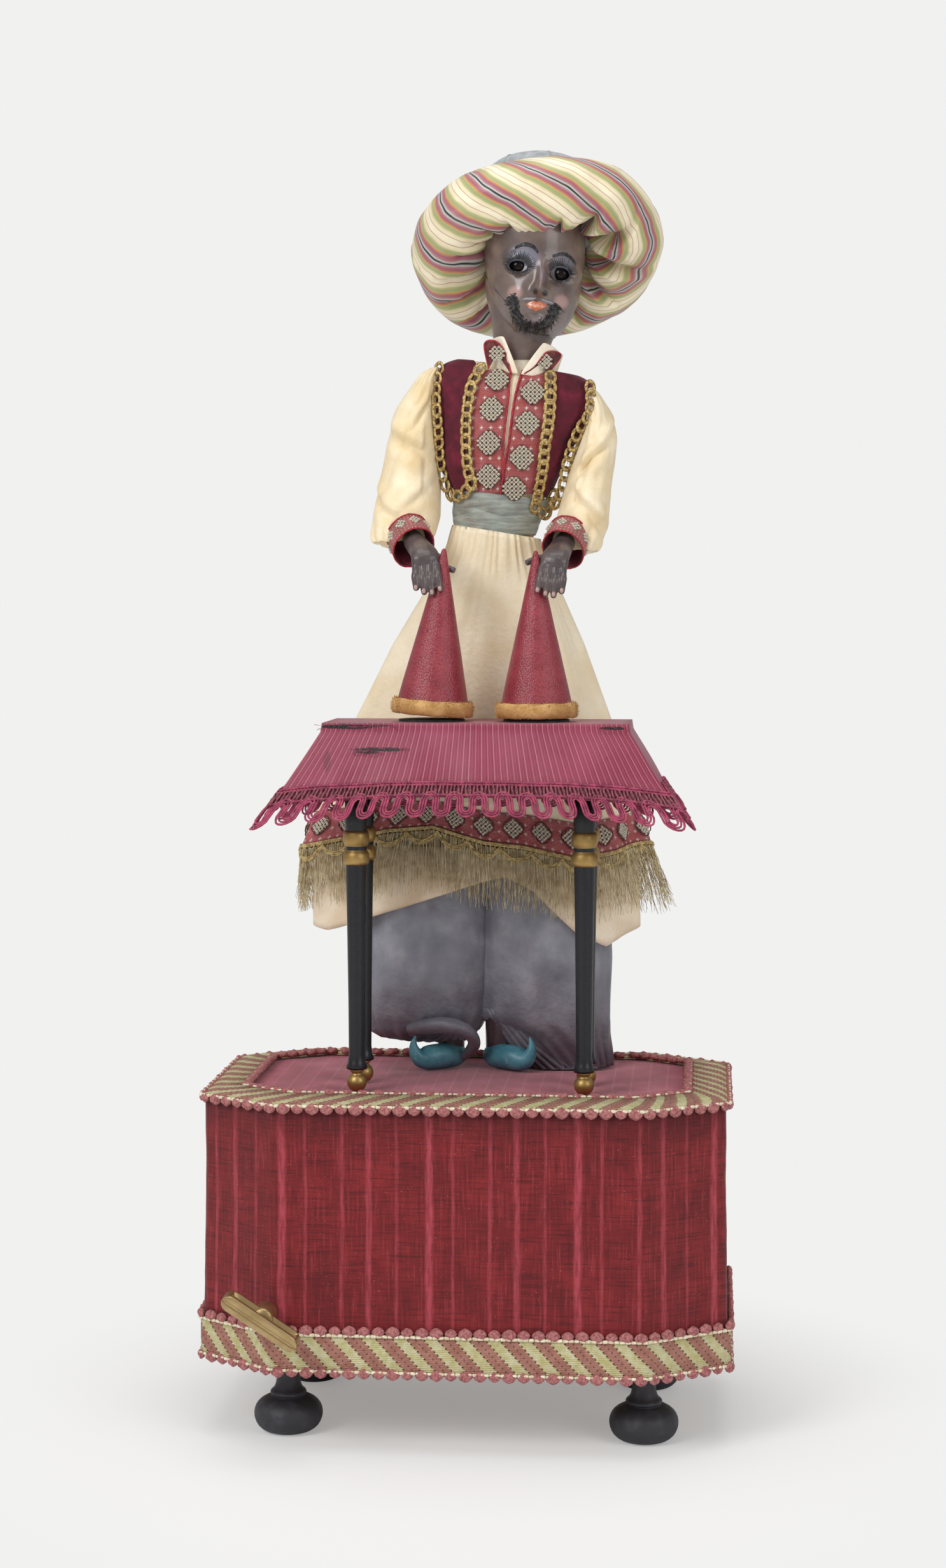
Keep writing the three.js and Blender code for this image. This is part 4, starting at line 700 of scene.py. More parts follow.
def turban_silk():
    """Fine stripes laid round the puff: cream, green, ochre, mauve and pale grey with thin black lines."""
    made = Finish("turban_silk", Roughness=0.45, Sheen_Weight=0.15)
    along = made.math("ADD", made.axis("X", made.cloth), made.swing(25, 4 * MM))
    share = made.cycle(along, TURBAN_REPEAT)
    from_black = made.math("ABSOLUTE", made.math("SUBTRACT", made.math("MULTIPLY", share, 2.0), 1.0))
    stops = [
        (0.0, "121e26"), (0.035, "121e26"), (0.05, "bcbdb6"), (0.12, "b4b6b0"), (0.13, "b87880"),
        (0.26, "9f5868"),
        (0.33, "b87078"), (0.345, "cf8a3c"), (0.39, "cf8a3c"), (0.41, "bdb780"), (0.46, "a0a66e"),
        (0.6, "b0b27c"),
        (0.68, "e8dbb2"), (0.82, "f0e4c0"), (0.83, "c9a38e"), (0.86, "c9a38e"), (0.87, "f2e7c6"),
        (1.0, "f6ecd0"),
    ]
    aged = made.patches(18, 0.42, 0.75, detail=5, most=0.25)
    made.colour(made.mix(aged, made.ramp(from_black, stops), "a5907a"))
    return made.bump(made.grain(7, detail=4), 0.5).material


def felt_grey():
    made = Finish("felt_grey", Roughness=0.9)
    made.colour(made.ramp(made.grain(6, detail=5), [(0.35, "94989b"), (0.65, "b0b3b5")]))
    return made.bump(made.grain(0.6, detail=3), 0.3).material


# Finishes of the doll itself
def painted_skin(name, light, dark):
    """Dark flesh paint with a soft gloss, fine scuffs and a tone that wanders from lighter to darker."""
    made = Finish(name, Coat_Weight=0.35, Coat_Roughness=0.2)
    tone = made.ramp(made.grain(14, detail=6), [(0.35, dark), (0.66, light)])
    made.colour(made.mix(made.patches(1.1, 0.62, 0.74, detail=6, most=0.5), tone, "8a7a70"))
    made.rough(made.grain(6, detail=3), 0.34, 0.52)
    return made.bump(made.grain(1.6, detail=4), 0.08).material


def gloss(name, code, roughness):
    made = Finish(name, Roughness=roughness)
    return made.colour(made.mix(made.patches(2.5, 0.4, 0.7, most=0.08), code, "ffffff")).material


def slipper_paint():
    made = Finish("slipper_paint")
    chips = made.patches(2.4, 0.6, 0.68, detail=6, most=0.8)
    tone = made.ramp(made.grain(10, detail=4), [(0.35, "3b7888"), (0.65, "5893a1")])
    made.colour(made.mix(chips, tone, "7fa0a2"))
    return made.rough(chips, 0.4, 0.7).material


# The base: velvet, galloons, bun feet and winding key
BASE = Sizes(
    width=330, depth=205, corner_x=50.6, corner_y=33.5, bottom=50, top=218.6, flare=1.8, rounding=2.5
)
BASE_WALL_HEIGHT = BASE.top - BASE.bottom
# The height that the table and the doll stand at
DECK = BASE.top + 0.3
LINE_STEP = 3.0
TOP_RING_COUNT = 180
VELVET = Sizes(
    inset=0.8, foot=0.5, edge=4, rows=26, slack=0.45, slack_size=0.03, ripple=0.25, ripple_size=0.009
)
VELVET_REPEAT = 92.5
# Pale stripes in one repeat of the velvet: middle and half width as shares, and strength
VELVET_STRIPES = [
    (0.1, 0.034, 1.0), (0.26, 0.015, 0.6), (0.51, 0.018, 0.65), (0.69, 0.026, 0.8), (0.88, 0.014, 0.55)
]
TOP_VELVET = Sizes(insets=(3.2, 8, 16, 24, 34, 46, 58), sink=0.2, swell=0.35, swell_size=0.025)


def octagon_corners(inset):
    """Corners of the base, round from the middle of its back and back to it."""
    a, b = BASE.corner_x, BASE.corner_y
    share = 1 - inset * (a + b - math.hypot(a, b)) / (a * b)
    x, y = BASE.width / 2 - inset, BASE.depth / 2 - inset
    cut_x, cut_y = a * share, b * share
    left = [(0, y), (cut_x - x, y), (-x, y - cut_y), (-x, cut_y - y), (cut_x - x, -y)]
    return [Vector(corner) for corner in left + [(-u, v) for u, v in reversed(left)]]


def octagon_line(inset, step=LINE_STEP, rounding=BASE.rounding):
    """Places round the octagon, each with its outward direction turned gradually round each corner."""
    corners = octagon_corners(inset)
    full = octagon_corners(0)
    count = int(sum(gaps_of(corners)) / step)
    girth = sum(gaps_of(full))
    places, outs = [], []
    for i in range(count):
        left = girth * i / count
        for a, b, side in zip(corners, corners[1:], gaps_of(full)):
            if left <= side:
                break
            left -= side
        share = left / side
        along = (b - a).normalized()
        out = Vector((along.y, -along.x))
        near = min(share, 1 - share) * (b - a).length
        place = a.lerp(b, share)
        is_seam = a is corners[0] and share < 0.5 or b is corners[-1] and share > 0.5
        if near < rounding and not is_seam:
            place -= out * ((rounding - near) ** 2 / (rounding * 4))
        places.append(place)
        outs.append(out)
    return [(places[i], (outs[i - 1] + outs[i] + outs[(i + 1) % count]).normalized()) for i in range(count)]


def top_line(inset):
    """A line on the top with the same count of places as every other one."""
    step = sum(gaps_of(octagon_corners(inset))) / (TOP_RING_COUNT + 0.5)
    return octagon_line(inset, step, rounding=0)


def beside(spot, away, z):
    place, out = spot
    return at(place.x + out.x * away, place.y + out.y * away, z)


def base_flare(z):
    """How far the velvet stands out towards the bottom."""
    return BASE.flare * (1 - smooth((z - BASE.bottom) / (BASE_WALL_HEIGHT * 0.8)))


def slack_velvet(spot, z):
    point = beside(spot, base_flare(z), z)
    slack = VELVET.slack * wander(point, VELVET.slack_size) + VELVET.ripple * wander(
        point, VELVET.ripple_size, 3
    )
    return point + spot[1].to_3d() * slack * MM


def build_velvet():
    line = octagon_line(VELVET.inset)
    height = BASE_WALL_HEIGHT - 2 * VELVET.edge
    levels = [BASE.bottom + VELVET.edge + height * i / VELVET.rows for i in range(VELVET.rows + 1)]
    rows = [[slack_velvet(spot, z) for spot in line] for z in [BASE.bottom + VELVET.foot] + levels]
    shoulder = BASE.top - 0.6 - BASE.rounding
    for share in (0.35, 0.7, 0.92, 1.0):
        angle = share * math.pi / 2
        inward, rise = BASE.rounding * (1 - math.cos(angle)), BASE.rounding * math.sin(angle)
        rows.append([beside(spot, -inward, shoulder + rise) for spot in line])
    walls = surface("velvet_walls", rows)
    finish(walls, worn_velvet(), "root", ["base_velvet"], "base_velvet", wall=1.0)

    rings = []
    for inset in TOP_VELVET.insets:
        ring = []
        for p, _ in top_line(inset):
            swell = TOP_VELVET.swell * wander(at(p.x, p.y, 0), TOP_VELVET.swell_size)
            ring.append(at(p.x, p.y, BASE.top - TOP_VELVET.sink + swell))
        rings.append(ring)
    field = surface("velvet_top", rings, caps=(-1,))
    finish(field, rose_velvet(), "root", ["top_velvet"], "top_velvet", wall=1.0)


GALLOON = Sizes(bottom=51.5, height=25, top_width=22, top_edge=2.5, girth=967, off=0.4, bulge=1.0, edge=1.5)
GALLOON_REPEAT = 19.8
# How far the upper galloon hangs down over the edge, stands out there, and rises at its inner edge
DROOP = Sizes(down=1.6, out=1.4, rise=3.2)
STITCH = Sizes(length=3.5, width=2.1, height=1.5, gap=0.05, lean=0.12, lean_beat=2.3, uneven=0.06, beat=1.7)
STITCH_PROFILE = [(POINT, -0.5), (0.36, -0.44), (0.5, -0.28), (0.5, 0.28), (0.36, 0.44), (POINT, 0.5)]
PICOT = Sizes(pitch=9.1, length=8.6, height=6.2, depth=4.2, twist=0.14, uneven=0.09, sway=0.08, lift=0.1)


def stitch_part():
    rows = [
        [mm(along * STITCH.length, wide * STITCH.width * c, wide * STITCH.height * s) for c, s in circle(8)]
        for wide, along in STITCH_PROFILE
    ]
    return small_part("stitch", rows)


def picot_part():
    """A thick scallop of twisted chenille, lying along x and standing up in y."""
    rows, sides = [], 10
    for i in range(9):
        place = i / 4 - 1
        size = math.sqrt(max(1 - abs(place) ** 2.4, 0.004))
        row = []
        for k, (c, s) in enumerate(circle(sides)):
            twist = 1 + PICOT.twist * math.cos(2 * (TURN * k / sides) + 4.5 * place)
            high, deep = PICOT.height / 2 * size * twist, PICOT.depth / 2 * size * twist
            row.append(mm(PICOT.length / 2 * place, high * c, deep * s))
        rows.append(row)
    return small_part("picot", rows)


def edge_frames(line):
    """Each place of a line with the directions along it and outwards."""
    count = len(line)
    return [
        (place, (line[(i + 1) % count][0] - line[i - 1][0]).to_3d().normalized(), out.to_3d())
        for i, (place, out) in enumerate(line)
    ]


def stitched_edge(name, part, line, z, material, sway=UP):
    """Stitches end to end along a line of the octagon."""
    places = []
    for i, (p, along, out) in enumerate(edge_frames(line)):
        lean = along + sway * STITCH.lean * math.sin(i * STITCH.lean_beat)
        size = 1 + STITCH.uneven * math.sin(i * STITCH.beat)
        places.append((at(p.x, p.y, z), lean, out if sway is UP else UP, size))
    repeats(name, part, places, material, "root")


def picot_places(line, z, lies_flat=False):
    """Scallops side by side along a line of the octagon."""
    places = []
    for i, (p, along, out) in enumerate(edge_frames(line)):
        lean = along + out * PICOT.sway * math.sin(i * 1.7)
        if lies_flat:
            lean += UP * PICOT.lift * math.sin(i * 2.9)
        size = 1 + PICOT.uneven * math.sin(i * 2.3)
        places.append((at(p.x, p.y, z), lean, UP if lies_flat else out, size))
    return places


def build_galloons():
    weave = woven_galloon()
    low, high = GALLOON.bottom, GALLOON.bottom + GALLOON.height
    line = octagon_line(-GALLOON.off)
    full, near = GALLOON.bulge, GALLOON.bulge * 0.9
    section = [
        (0, low), (near, low + GALLOON.edge), (full, (low + high) / 2), (near, high - GALLOON.edge), (0, high)
    ]
    rows = [[beside(spot, away + BASE.flare, z) for spot in line] for away, z in section]
    lower = surface("galloon_lower", rows)
    finish(lower, weave, "root", ["lower_galloon"], "galloon", wall=0.8)

    inner, outer = GALLOON.top_edge + GALLOON.top_width, GALLOON.top_edge
    section = [(inner, 0), (inner - 0.4, DROOP.rise), (outer + 3, 1.2), (outer, 0.4)]
    section += [(-DROOP.out + 0.7, -DROOP.down / 2), (-DROOP.out, -DROOP.down)]
    rings = [[at(p.x, p.y, DECK + rise) for p, _ in top_line(inset)] for inset, rise in section]
    upper = surface("galloon_upper", rings, flip=True)
    finish(upper, weave, "root", ["top_galloon"], "galloon", wall=0.8)
    return low, high, inner


def build_galloon_edges(low, high, inner):
    cream = thread_finish("cream_cord", "efe6cf", "cdbf9c", size=2.0)
    pink = thread_finish("pink_chenille", "b97a76", "8a4e50", size=1.6, roughness=0.9)
    stitch, step = stitch_part(), STITCH.length + STITCH.gap
    line = octagon_line(-2.0 - BASE.flare, step)
    for label, z in (("low", low + 1.1), ("high", high - 1.1)):
        stitched_edge(f"galloon_cord_{label}", stitch, line, z, cream)
    line = octagon_line(-DROOP.out - 0.4, step, rounding=0)
    stitched_edge("ledge_cord_outer", stitch, line, DECK + (1 - DROOP.down), cream)
    line = octagon_line(inner - 1, step, rounding=0)
    stitched_edge("ledge_cord_inner", stitch, line, DECK + (DROOP.rise + 0.4), cream, sway=RIGHT * 0.3)

    line = octagon_line(-1.2 - BASE.flare, PICOT.pitch)
    places = picot_places(line, high + 1.4) + picot_places(line, low - 0.2)
    places += picot_places(octagon_line(-DROOP.out, PICOT.pitch, rounding=0), DECK - DROOP.down - 0.8)
    places += picot_places(
        octagon_line(inner + 0.4, PICOT.pitch, rounding=0), DECK + DROOP.rise, lies_flat=True
    )
    repeats("galloon_picots", picot_part(), places, pink, "root")


FOOT = Sizes(x=113.6, y=57.1)
FOOT_PROFILE = [
    (POINT, 0), (13, 0), (16, 0.8), (19.8, 3.6), (21.8, 8), (22.2, 12), (21.2, 16.2), (18, 19.8),
    (13.4, 21.9),
    (10.6, 22.4), (10.5, 23.0), (11.4, 23.4), (11.8, 24.6), (11.2, 25.9), (9.8, 26.8), (8.5, 28.6), (7.6, 32),
    (7.3, 38), (7.3, BASE.bottom + 1),
]


def build_feet():
    black = aged_black("bun_black", "3a3a42", "2b2b31", 0.42)
    for name, (x, y) in CORNERS.items():
        foot = turned(f"bun_foot_shown_{name}", FOOT_PROFILE, x * FOOT.x, y * FOOT.y)
        finish(foot, black, "root", [f"bun_foot_{name}"], "bun_black", levels=1)


KEY = Sizes(x=-119, z=90, face=-105.5, barrel=6.9, barrel_length=24, chamfer=0.7)
BOW = Sizes(
    length=54, width=15, thickness=10, tilt=math.radians(33), recess=2.6, rim=2.6, groove=0.7, edge=0.5
)
# Shares of the bow's half length, close together where its ends turn in
BOW_SHARES = (0, 0.3, 0.6, 0.8, 0.88, 0.95, 0.985, 1)


def bow_section():
    """The bow cut across, as widths and heights: a groove round its edge and a recess in its face."""
    wide, high = BOW.width / 2, BOW.thickness / 2
    half = [
        (wide - 1, -high), (wide, -high + 1), (wide, -1.4), (wide - BOW.groove, -1.0),
        (wide - BOW.groove, 0.4),
        (wide, 0.8), (wide, high - 1), (wide - 1, high), (wide - BOW.rim, high),
        (wide - BOW.rim - 0.6, high - BOW.recess),
    ]
    mirrored = [(-y, z) for y, z in reversed(half)]
    return mirrored[-1:] + half + mirrored[:-1]


def build_key():
    brass = aged_brass("key_brass", "b39a6e", "927a52", 0.26)
    front = KEY.face - KEY.barrel_length
    centre = at(KEY.x, front, KEY.z)
    along = Vector((math.cos(BOW.tilt), 0, -math.sin(BOW.tilt)))
    over = Vector((math.sin(BOW.tilt), 0, math.cos(BOW.tilt)))
    wide, high, squeezed = BOW.width / 2, BOW.thickness / 2, BOW_SHARES[3]
    rows = []
    for share in [-share for share in reversed(BOW_SHARES)] + list(BOW_SHARES[1:]):
        near = max(0, (abs(share) - squeezed) / (1 - squeezed))
        squeeze = math.sqrt(max(1 - near * near, 0.02))
        row = []
        for y, z in bow_section():
            in_recess = abs(share) > squeezed and 0 < z < high and abs(y) < wide - BOW.rim
            height = high if in_recess else z
            spot = centre + along * share * (BOW.length / 2) * MM
            row.append(spot + mm(0, y, 0) + over * height * squeeze * MM)
        rows.append(row)
    bow = solid("key_bow", rows)
    finish(bow, brass, "winder", ["winding_key"], "key_brass")
    bevel = bow.modifiers.new("edges", "BEVEL")
    bevel.width = BOW.edge * MM
    bevel.segments = 2
    thin = KEY.barrel - KEY.chamfer
    profile = [(5.6, front + 3), (KEY.barrel, front + 4.5), (KEY.barrel, KEY.face - 3)]
    profile += [(thin, KEY.face - 2.2), (thin, KEY.face - 0.4)]
    rings = [[at(KEY.x + r * c, y, KEY.z + r * s) for c, s in circle(32)] for r, y in profile]
    finish(solid("key_barrel", rings), brass, "winder", ["winding_key"], "key_brass")


build_velvet()
build_galloon_edges(*build_galloons())
build_feet()
build_key()
dress(("base_case", "base_floor_board", "base_top_board"), case_timber())


# The table, its cloth and the braid round the cloth
TABLE = Sizes(x=7.5, y=-39, width=190, depth=68, top=453.5, leg_x=3, span_x=72, span_y=16.75)
CLOTH = Sizes(drop=60, corner_drop=10, flare=16, side_flare=34, corner_flare=6, edge=1.4, off=0.6, lift=0.3)
FOLDS = Sizes(front=1.2, count=16, soft=1.6, soft_size=0.16, hem=1.2, hem_size=0.2)
CLOTH_FALL = [(0, 0), (0.08, 0.02), (0.5, 0.45), (0.78, 0.75), (1, 1)]
CLOTH_END = 0.75
SILK_REPEAT = 4.1
BRAID = Sizes(cord=0.74, gap=1.45, proud=1.2, pitch=14.2, bar_pitch=2.3, header=9.5, loops=11.4)
# Rips in the silk: middle, half width, half height and how dark; the last is only a stain
RIPS = [
    (at(-72, -74, 451.6), 21, 1.7, 1.0), (at(-56, -74, 452.4), 16, 0.8, 0.8),
    (at(93, -74, 451.2), 9, 1.2, 0.95),
    (at(-52, -77, 437.6), 19, 1.5, 1.0), (at(-58, -77, 436.0), 10, 1.3, 0.9),
    (at(-84, -77, 430), 2.2, 7, 0.35),
]


def cloth_point(turn, down, outward=0.0, fold=1.0):
    """A place on the cloth: its turn round the table and its share of the way down, below 0 on the top."""
    longest = max(abs(math.cos(turn)), abs(math.sin(turn)))
    along_x, along_y = math.cos(turn) / longest, math.sin(turn) / longest
    cornering = abs(along_x * along_y) ** 3
    half_x, half_y = TABLE.width / 2 + CLOTH.off, TABLE.depth / 2 + CLOTH.off
    top = TABLE.top + CLOTH.lift
    if down <= 0:
        inward = 1 + down
        return at(TABLE.x + along_x * half_x * inward, TABLE.y + along_y * half_y * inward, top)
    flare = through(CLOTH_FALL, down)[0]
    front = 1 if along_y < 0 else 0
    half_x += CLOTH.side_flare * flare + outward
    half_y += CLOTH.flare * flare * front + outward
    wave = FOLDS.front * flare * (1 + math.cos(FOLDS.count * turn)) * front * fold
    soft = wander(Vector((turn, down * 0.3, 0)), FOLDS.soft_size)
    wave += FOLDS.soft * flare * fold * soft * (1 + 2 * cornering)
    drop = CLOTH.drop * down + CLOTH.corner_drop * down * cornering
    drop += FOLDS.hem * down * wander(Vector((turn, 0, 5)), FOLDS.hem_size)
    x = along_x * (half_x + wave + CLOTH.corner_flare * flare * cornering)
    edge = CLOTH.edge * (1 - min(down / 0.08, 1)) ** 2
    return at(TABLE.x + x, TABLE.y + along_y * (half_y + wave), top - drop - edge * 0.3)


def even_turns(count, steps=2000):
    """Turns round the table whose places on the edge are about evenly spaced, and the edge's length."""
    fine = [TURN * (i / steps - 0.75) for i in range(steps + 1)]
    gaps = gaps_of([cloth_point(turn, 0.6, fold=0) for turn in fine])
    return even_values(fine, gaps, count), sum(gaps) / MM


def build_tablecloth():
    turns, around = even_turns(300)
    downs = [-0.1 * i for i in range(9, 0, -1)] + [0.0, 0.02, 0.05, 0.08] + blends(0.12, CLOTH_END, 20)
    rows = [[cloth_point(turn, down) for turn in turns] for down in downs]
    cloth = surface("striped_cloth", rows, width=around * MM, flip=True, caps=(0,))
    finish(cloth, striped_silk(), "root", ["tablecloth"], "table_silk", wall=0.6)


def braid_spot(edge, along, down, outward):
    """A place on the braid: millimetres along the cloth's edge and down from the top of the braid."""
    turns, around = edge
    place = along / around * len(turns) % len(turns)
    low, part = int(place), place % 1
    high = (low + 1) % len(turns)
    step = TURN if turns[high] < turns[low] else 0
    share = CLOTH_END + (down - BRAID.header) / CLOTH.drop
    return cloth_point(blend(turns[low], turns[high] + step, part), share, outward=outward)


def loop_line(edge, loops, strand):
    """One cord of the braid: half circles joined by straight sides, hanging in open loops."""
    pitch = edge[1] / loops
    radius = pitch / 4
    top = BRAID.header - 3.4
    bottom = top + radius + BRAID.gap
    straight = BRAID.header + BRAID.loops - top - 2 * (radius + BRAID.gap)
    line = []
    for i in range(loops):
        for centre, wide, sign in ((0.25, radius + strand, 1), (0.75, radius - strand, -1)):
            for k in range(9):
                angle = math.pi * k / 8
                along = (i + centre) * pitch - wide * math.cos(angle)
                down = bottom + (straight if sign > 0 else 0) + sign * wide * math.sin(angle)
                proud = BRAID.proud + (0.5 if k in (0, 8) else 0)
                line.append(braid_spot(edge, along, down, proud))
    return line + line[:1]


def twisted_header(edge, count):
    """Pairs of threads twisted round each other along the braid's header."""
    lines = []
    for down in (0.2, 1.6, BRAID.header - 1.6):
        for start in BOTH_WAYS:
            line = []
            for i in range(count):
                phase = i * 1.9 + start
                sway, proud = 0.4 * math.sin(phase), BRAID.proud + 0.1 + 0.5 * math.cos(phase)
                line.append(braid_spot(edge, edge[1] * i / count, down + sway, proud))
            lines.append(line + line[:1])
    return lines


def header_bar(edge, number):
    bar = []
    for k in range(6):
        along = number * BRAID.bar_pitch + 0.3 * math.sin(number * 2.1 + k)
        bar.append(braid_spot(edge, along, 1.2 + (BRAID.header - 2.6) * k / 5, BRAID.proud + 0.3 * (k % 2)))
    return bar


def build_braid():
    """Three cords that hang in open loops below a header of upright bars."""
    silk = thread_finish("silk_braid", "b04464", "7c2643", size=4, roughness=0.5)
    knots = thread_finish("braid_knots", "9c5860", "6a3040", size=2, roughness=0.7)
    edge = even_turns(900)
    loops = round(edge[1] / BRAID.pitch)
    lines = [loop_line(edge, loops, strand * BRAID.gap) for strand in (-1, 0, 1)]
    threads("looped_braid", lines, BRAID.cord, silk, "root", 6, stands_for=["cloth_braid"], slot="silk_braid")
    threads("braid_header", twisted_header(edge, loops * 12), 0.6, silk, "root", sides=4)
    bars = [header_bar(edge, number) for number in range(int(edge[1] / BRAID.bar_pitch))]
    threads("braid_bars", bars, 0.72, knots, "root")
    threads("cloth_frays", rip_frays(), 0.2, silk, "root", sides=3)


def rip_frays(count=26):
    """Loose ends along both sides of each rip."""
    rng = random.Random(14)
    edge_z = TABLE.top - 8.5
    frays = []
    for middle, half_width, half_height, _ in RIPS[:-1]:
        proud = -2.5 if middle.z > edge_z * MM else -2.0
        for _ in range(count):
            across, lift = rng.uniform(-1, 1) * half_width, rng.choice((-1, 1)) * half_height * 0.8
            start = middle + mm(across, proud, lift)
            way = mm(rng.uniform(-2.5, 4), rng.uniform(-0.8, 0), rng.uniform(-1.2, 0.6))
            end = start + way * 1.1 + UP * rng.uniform(-0.8, 0.4) * MM
            frays.append([(start, 1.0), (start + way * 0.6, 0.8), (end, 0.4)])
    return frays


BALL = Sizes(radius=6.35, rings=12)
LEG_SHAFT = [(3.2, DECK + 14.4), (6.4, DECK + 14.8), (6.8, DECK + 16), (5.6, DECK + 19)]
LEG_SHAFT += [
    (5.1, DECK + 24), (5.3, DECK + 60), (6.0, 330), (6.6, 362), (6.6, 386), (7.0, 390), (7.2, 424.8)
]
LEG_COLLAR = [
    (6.2, 363.5), (7.6, 364.2), (8.3, 366), (8.3, 370), (7.6, 372), (6.5, 373.2), (6.5, 375.4), (7.6, 376.6),
    (8.3, 378.6), (8.3, 383), (7.5, 385), (6.2, 385.6),
]


def leg_ball():
    """Profile of a brass ball foot, from its lowest point up to the neck under the shaft."""
    profile = [(POINT, DECK)]
    for i in range(2, BALL.rings - 1):
        angle = math.pi * (i / BALL.rings - 0.5)
        profile.append((BALL.radius * math.cos(angle), DECK + BALL.radius + BALL.radius * math.sin(angle)))
    return profile + [(r, DECK + z) for r, z in ((3.6, 12.6), (4.4, 13.4), (4.4, 14.6), (3.2, 15))]


def build_table():
    build_tablecloth()
    build_braid()
    black = aged_black("table_ebony", "121116", "090a10", 0.2)
    brass = aged_brass("ball_brass", "b2935a", "7a5f34")
    dress(["table_box"], aged_black("table_black", "3a2a22", "1c1718", 0.45))
    shapes = {"shaft": (LEG_SHAFT, black), "ball": (leg_ball(), brass), "collar": (LEG_COLLAR, brass)}
    for name, (x, y) in CORNERS.items():
        place = (TABLE.leg_x + x * TABLE.span_x, TABLE.y + y * TABLE.span_y)
        for label, (profile, material) in shapes.items():
            piece = turned(f"table_{label}_{name}", profile, *place, sides=32)
            finish(piece, material, "root", [f"table_leg_{name}"], "black_wood")


build_table()

# The cones in the doll's hands
CONE = Sizes(height=105.5, radius=24.4, y=-38, bottom=455.6, foot=2.2, tip=1.9, tip_height=102.6)
CONES = {"left": Sizes(x=-22.8, lean=4.3, sway=1, seed=3), "right": Sizes(x=43.6, lean=-0.4, sway=-1, seed=8)}
CONE_LIFT_RADIUS = 25.2
PLUSH = Sizes(height=10, middle=23.6, half=2.3, fibre=0.14, fibres=1500, seeds={"left": 11, "right": 12})


def cone_place(side):
    """Where a cone's own upright frame stands."""
    spot = CONES[side]
    lean = math.radians(spot.lean)
    lift = abs(math.sin(lean)) * CONE_LIFT_RADIUS
    return Matrix.Translation(at(spot.x, CONE.y, CONE.bottom + lift)) @ Matrix.Rotation(lean, 4, "Y")


def cone_rows(side):
    full = CONE.radius - 0.4
    profile = [(CONE.radius - 1, 0.4), (CONE.radius, 0.6)]
    profile += zip(blends(full, CONE.tip, 22), blends(CONE.foot, CONE.tip_height, 22))
    profile += [(1.4, 104.4), (0.6, 105.3), (POINT, 105.4)]
    rows = []
    for radius, z in profile:
        spots = [Vector((radius * c, radius * s, z)) for c, s in circle(40)]
        dents = [1 + 0.012 * wander(spot, 16, CONES[side].seed) for spot in spots]
        rows.append(
            [cone_place(side) @ mm(spot.x * dent, spot.y * dent, z) for spot, dent in zip(spots, dents)]
        )
    return rows


def cone_seam(side, steps=40):
    """The raised edge of the leather, which winds a little up the front."""
    line = []
    for i in range(steps + 1):
        share = i / steps
        radius = blend(CONE.radius, 1.6, share) + 0.25
        angle = math.radians(88 + 26 * math.sin(share * 2.2) * CONES[side].sway)
        spot = Vector((radius * math.cos(angle), radius * math.sin(angle), blend(3, 103.5, share)))
        line.append(cone_place(side) @ (spot * MM))
    return line


def plush_spot(c, s, angle):
    """A place on the plush ring, at a turn's cosine and sine and an angle up its outer side."""
    radius = PLUSH.middle + PLUSH.half * math.sin(angle)
    return Vector((radius * c, radius * s, PLUSH.height * (0.5 - 0.48 * math.cos(angle))))


def plush_fibres(side):
    rng = random.Random(PLUSH.seeds[side])
    frame_of = cone_place(side)
    fibres = []
    for _ in range(PLUSH.fibres):
        turn, angle = rng.uniform(0, TURN), math.pi * rng.uniform(0.05, 0.95)
        c, s = math.cos(turn), math.sin(turn)
        start = plush_spot(c, s, angle)
        out = Vector((c * math.sin(angle), s * math.sin(angle), -math.cos(angle)))
        stray = Vector((rng.uniform(-1, 1), rng.uniform(-1, 1), rng.uniform(-0.6, 1))) * 0.7
        tip = start + out * rng.uniform(0.6, 1.3) + stray * 0.8
        tip.z = max(tip.z, 0.1)
        fibres.append([(frame_of @ (start * MM), 1.0), (frame_of @ (tip * MM), 0.35)])
    return fibres


def build_cones():
    leather = pebbled_leather()
    selvage = thread_finish("cone_selvage", "cdb787", "8f7040", size=1.5)
    plush = thread_finish("gold_plush", "d4aa70", "b88b52", size=9, roughness=0.95)
    for side in CONES:
        body = f"{side}_arm"
        cone = solid(f"leather_cone_{side}", cone_rows(side))
        finish(cone, leather, body, [f"cone_{side}"], "red_leather")
        threads(f"cone_edge_{side}", [cone_seam(side)], 0.45, selvage, body)
        rolls = []
        for angle in blends(0, math.pi, 8):
            spots = [plush_spot(c, s, angle) for c, s in circle(60)]
            ripples = [0.2 * math.sin(5.3 * k) for k in range(60)]
            rolls.append([cone_place(side) @ ((spot + UP * rise) * MM) for spot, rise in zip(spots, ripples)])
        ring = put_right(surface(f"plush_ring_{side}", rolls))
        finish(ring, plush, body, [f"cone_plush_{side}"], "gold_plush", wall=0.8)
        threads(f"plush_fibres_{side}", plush_fibres(side), PLUSH.fibre, plush, body, sides=3)


build_cones()


# Lower half of the doll: slippers, trousers, under-robe, robe and its fringed hem
DOLL = Sizes(y=40, waist_x=12, waist_z=580, neck_x=30, neck_z=700, slope=math.tan(math.radians(9.6)))
LEGS = {"left": Sizes(x=-18, out=-1), "right": Sizes(x=14, out=1)}
LEG_RADIUS = 10.5
SLIPPER = Sizes(height=16, length=36, toe_out=0.8, toe_forward=0.6, deepest=0.52)
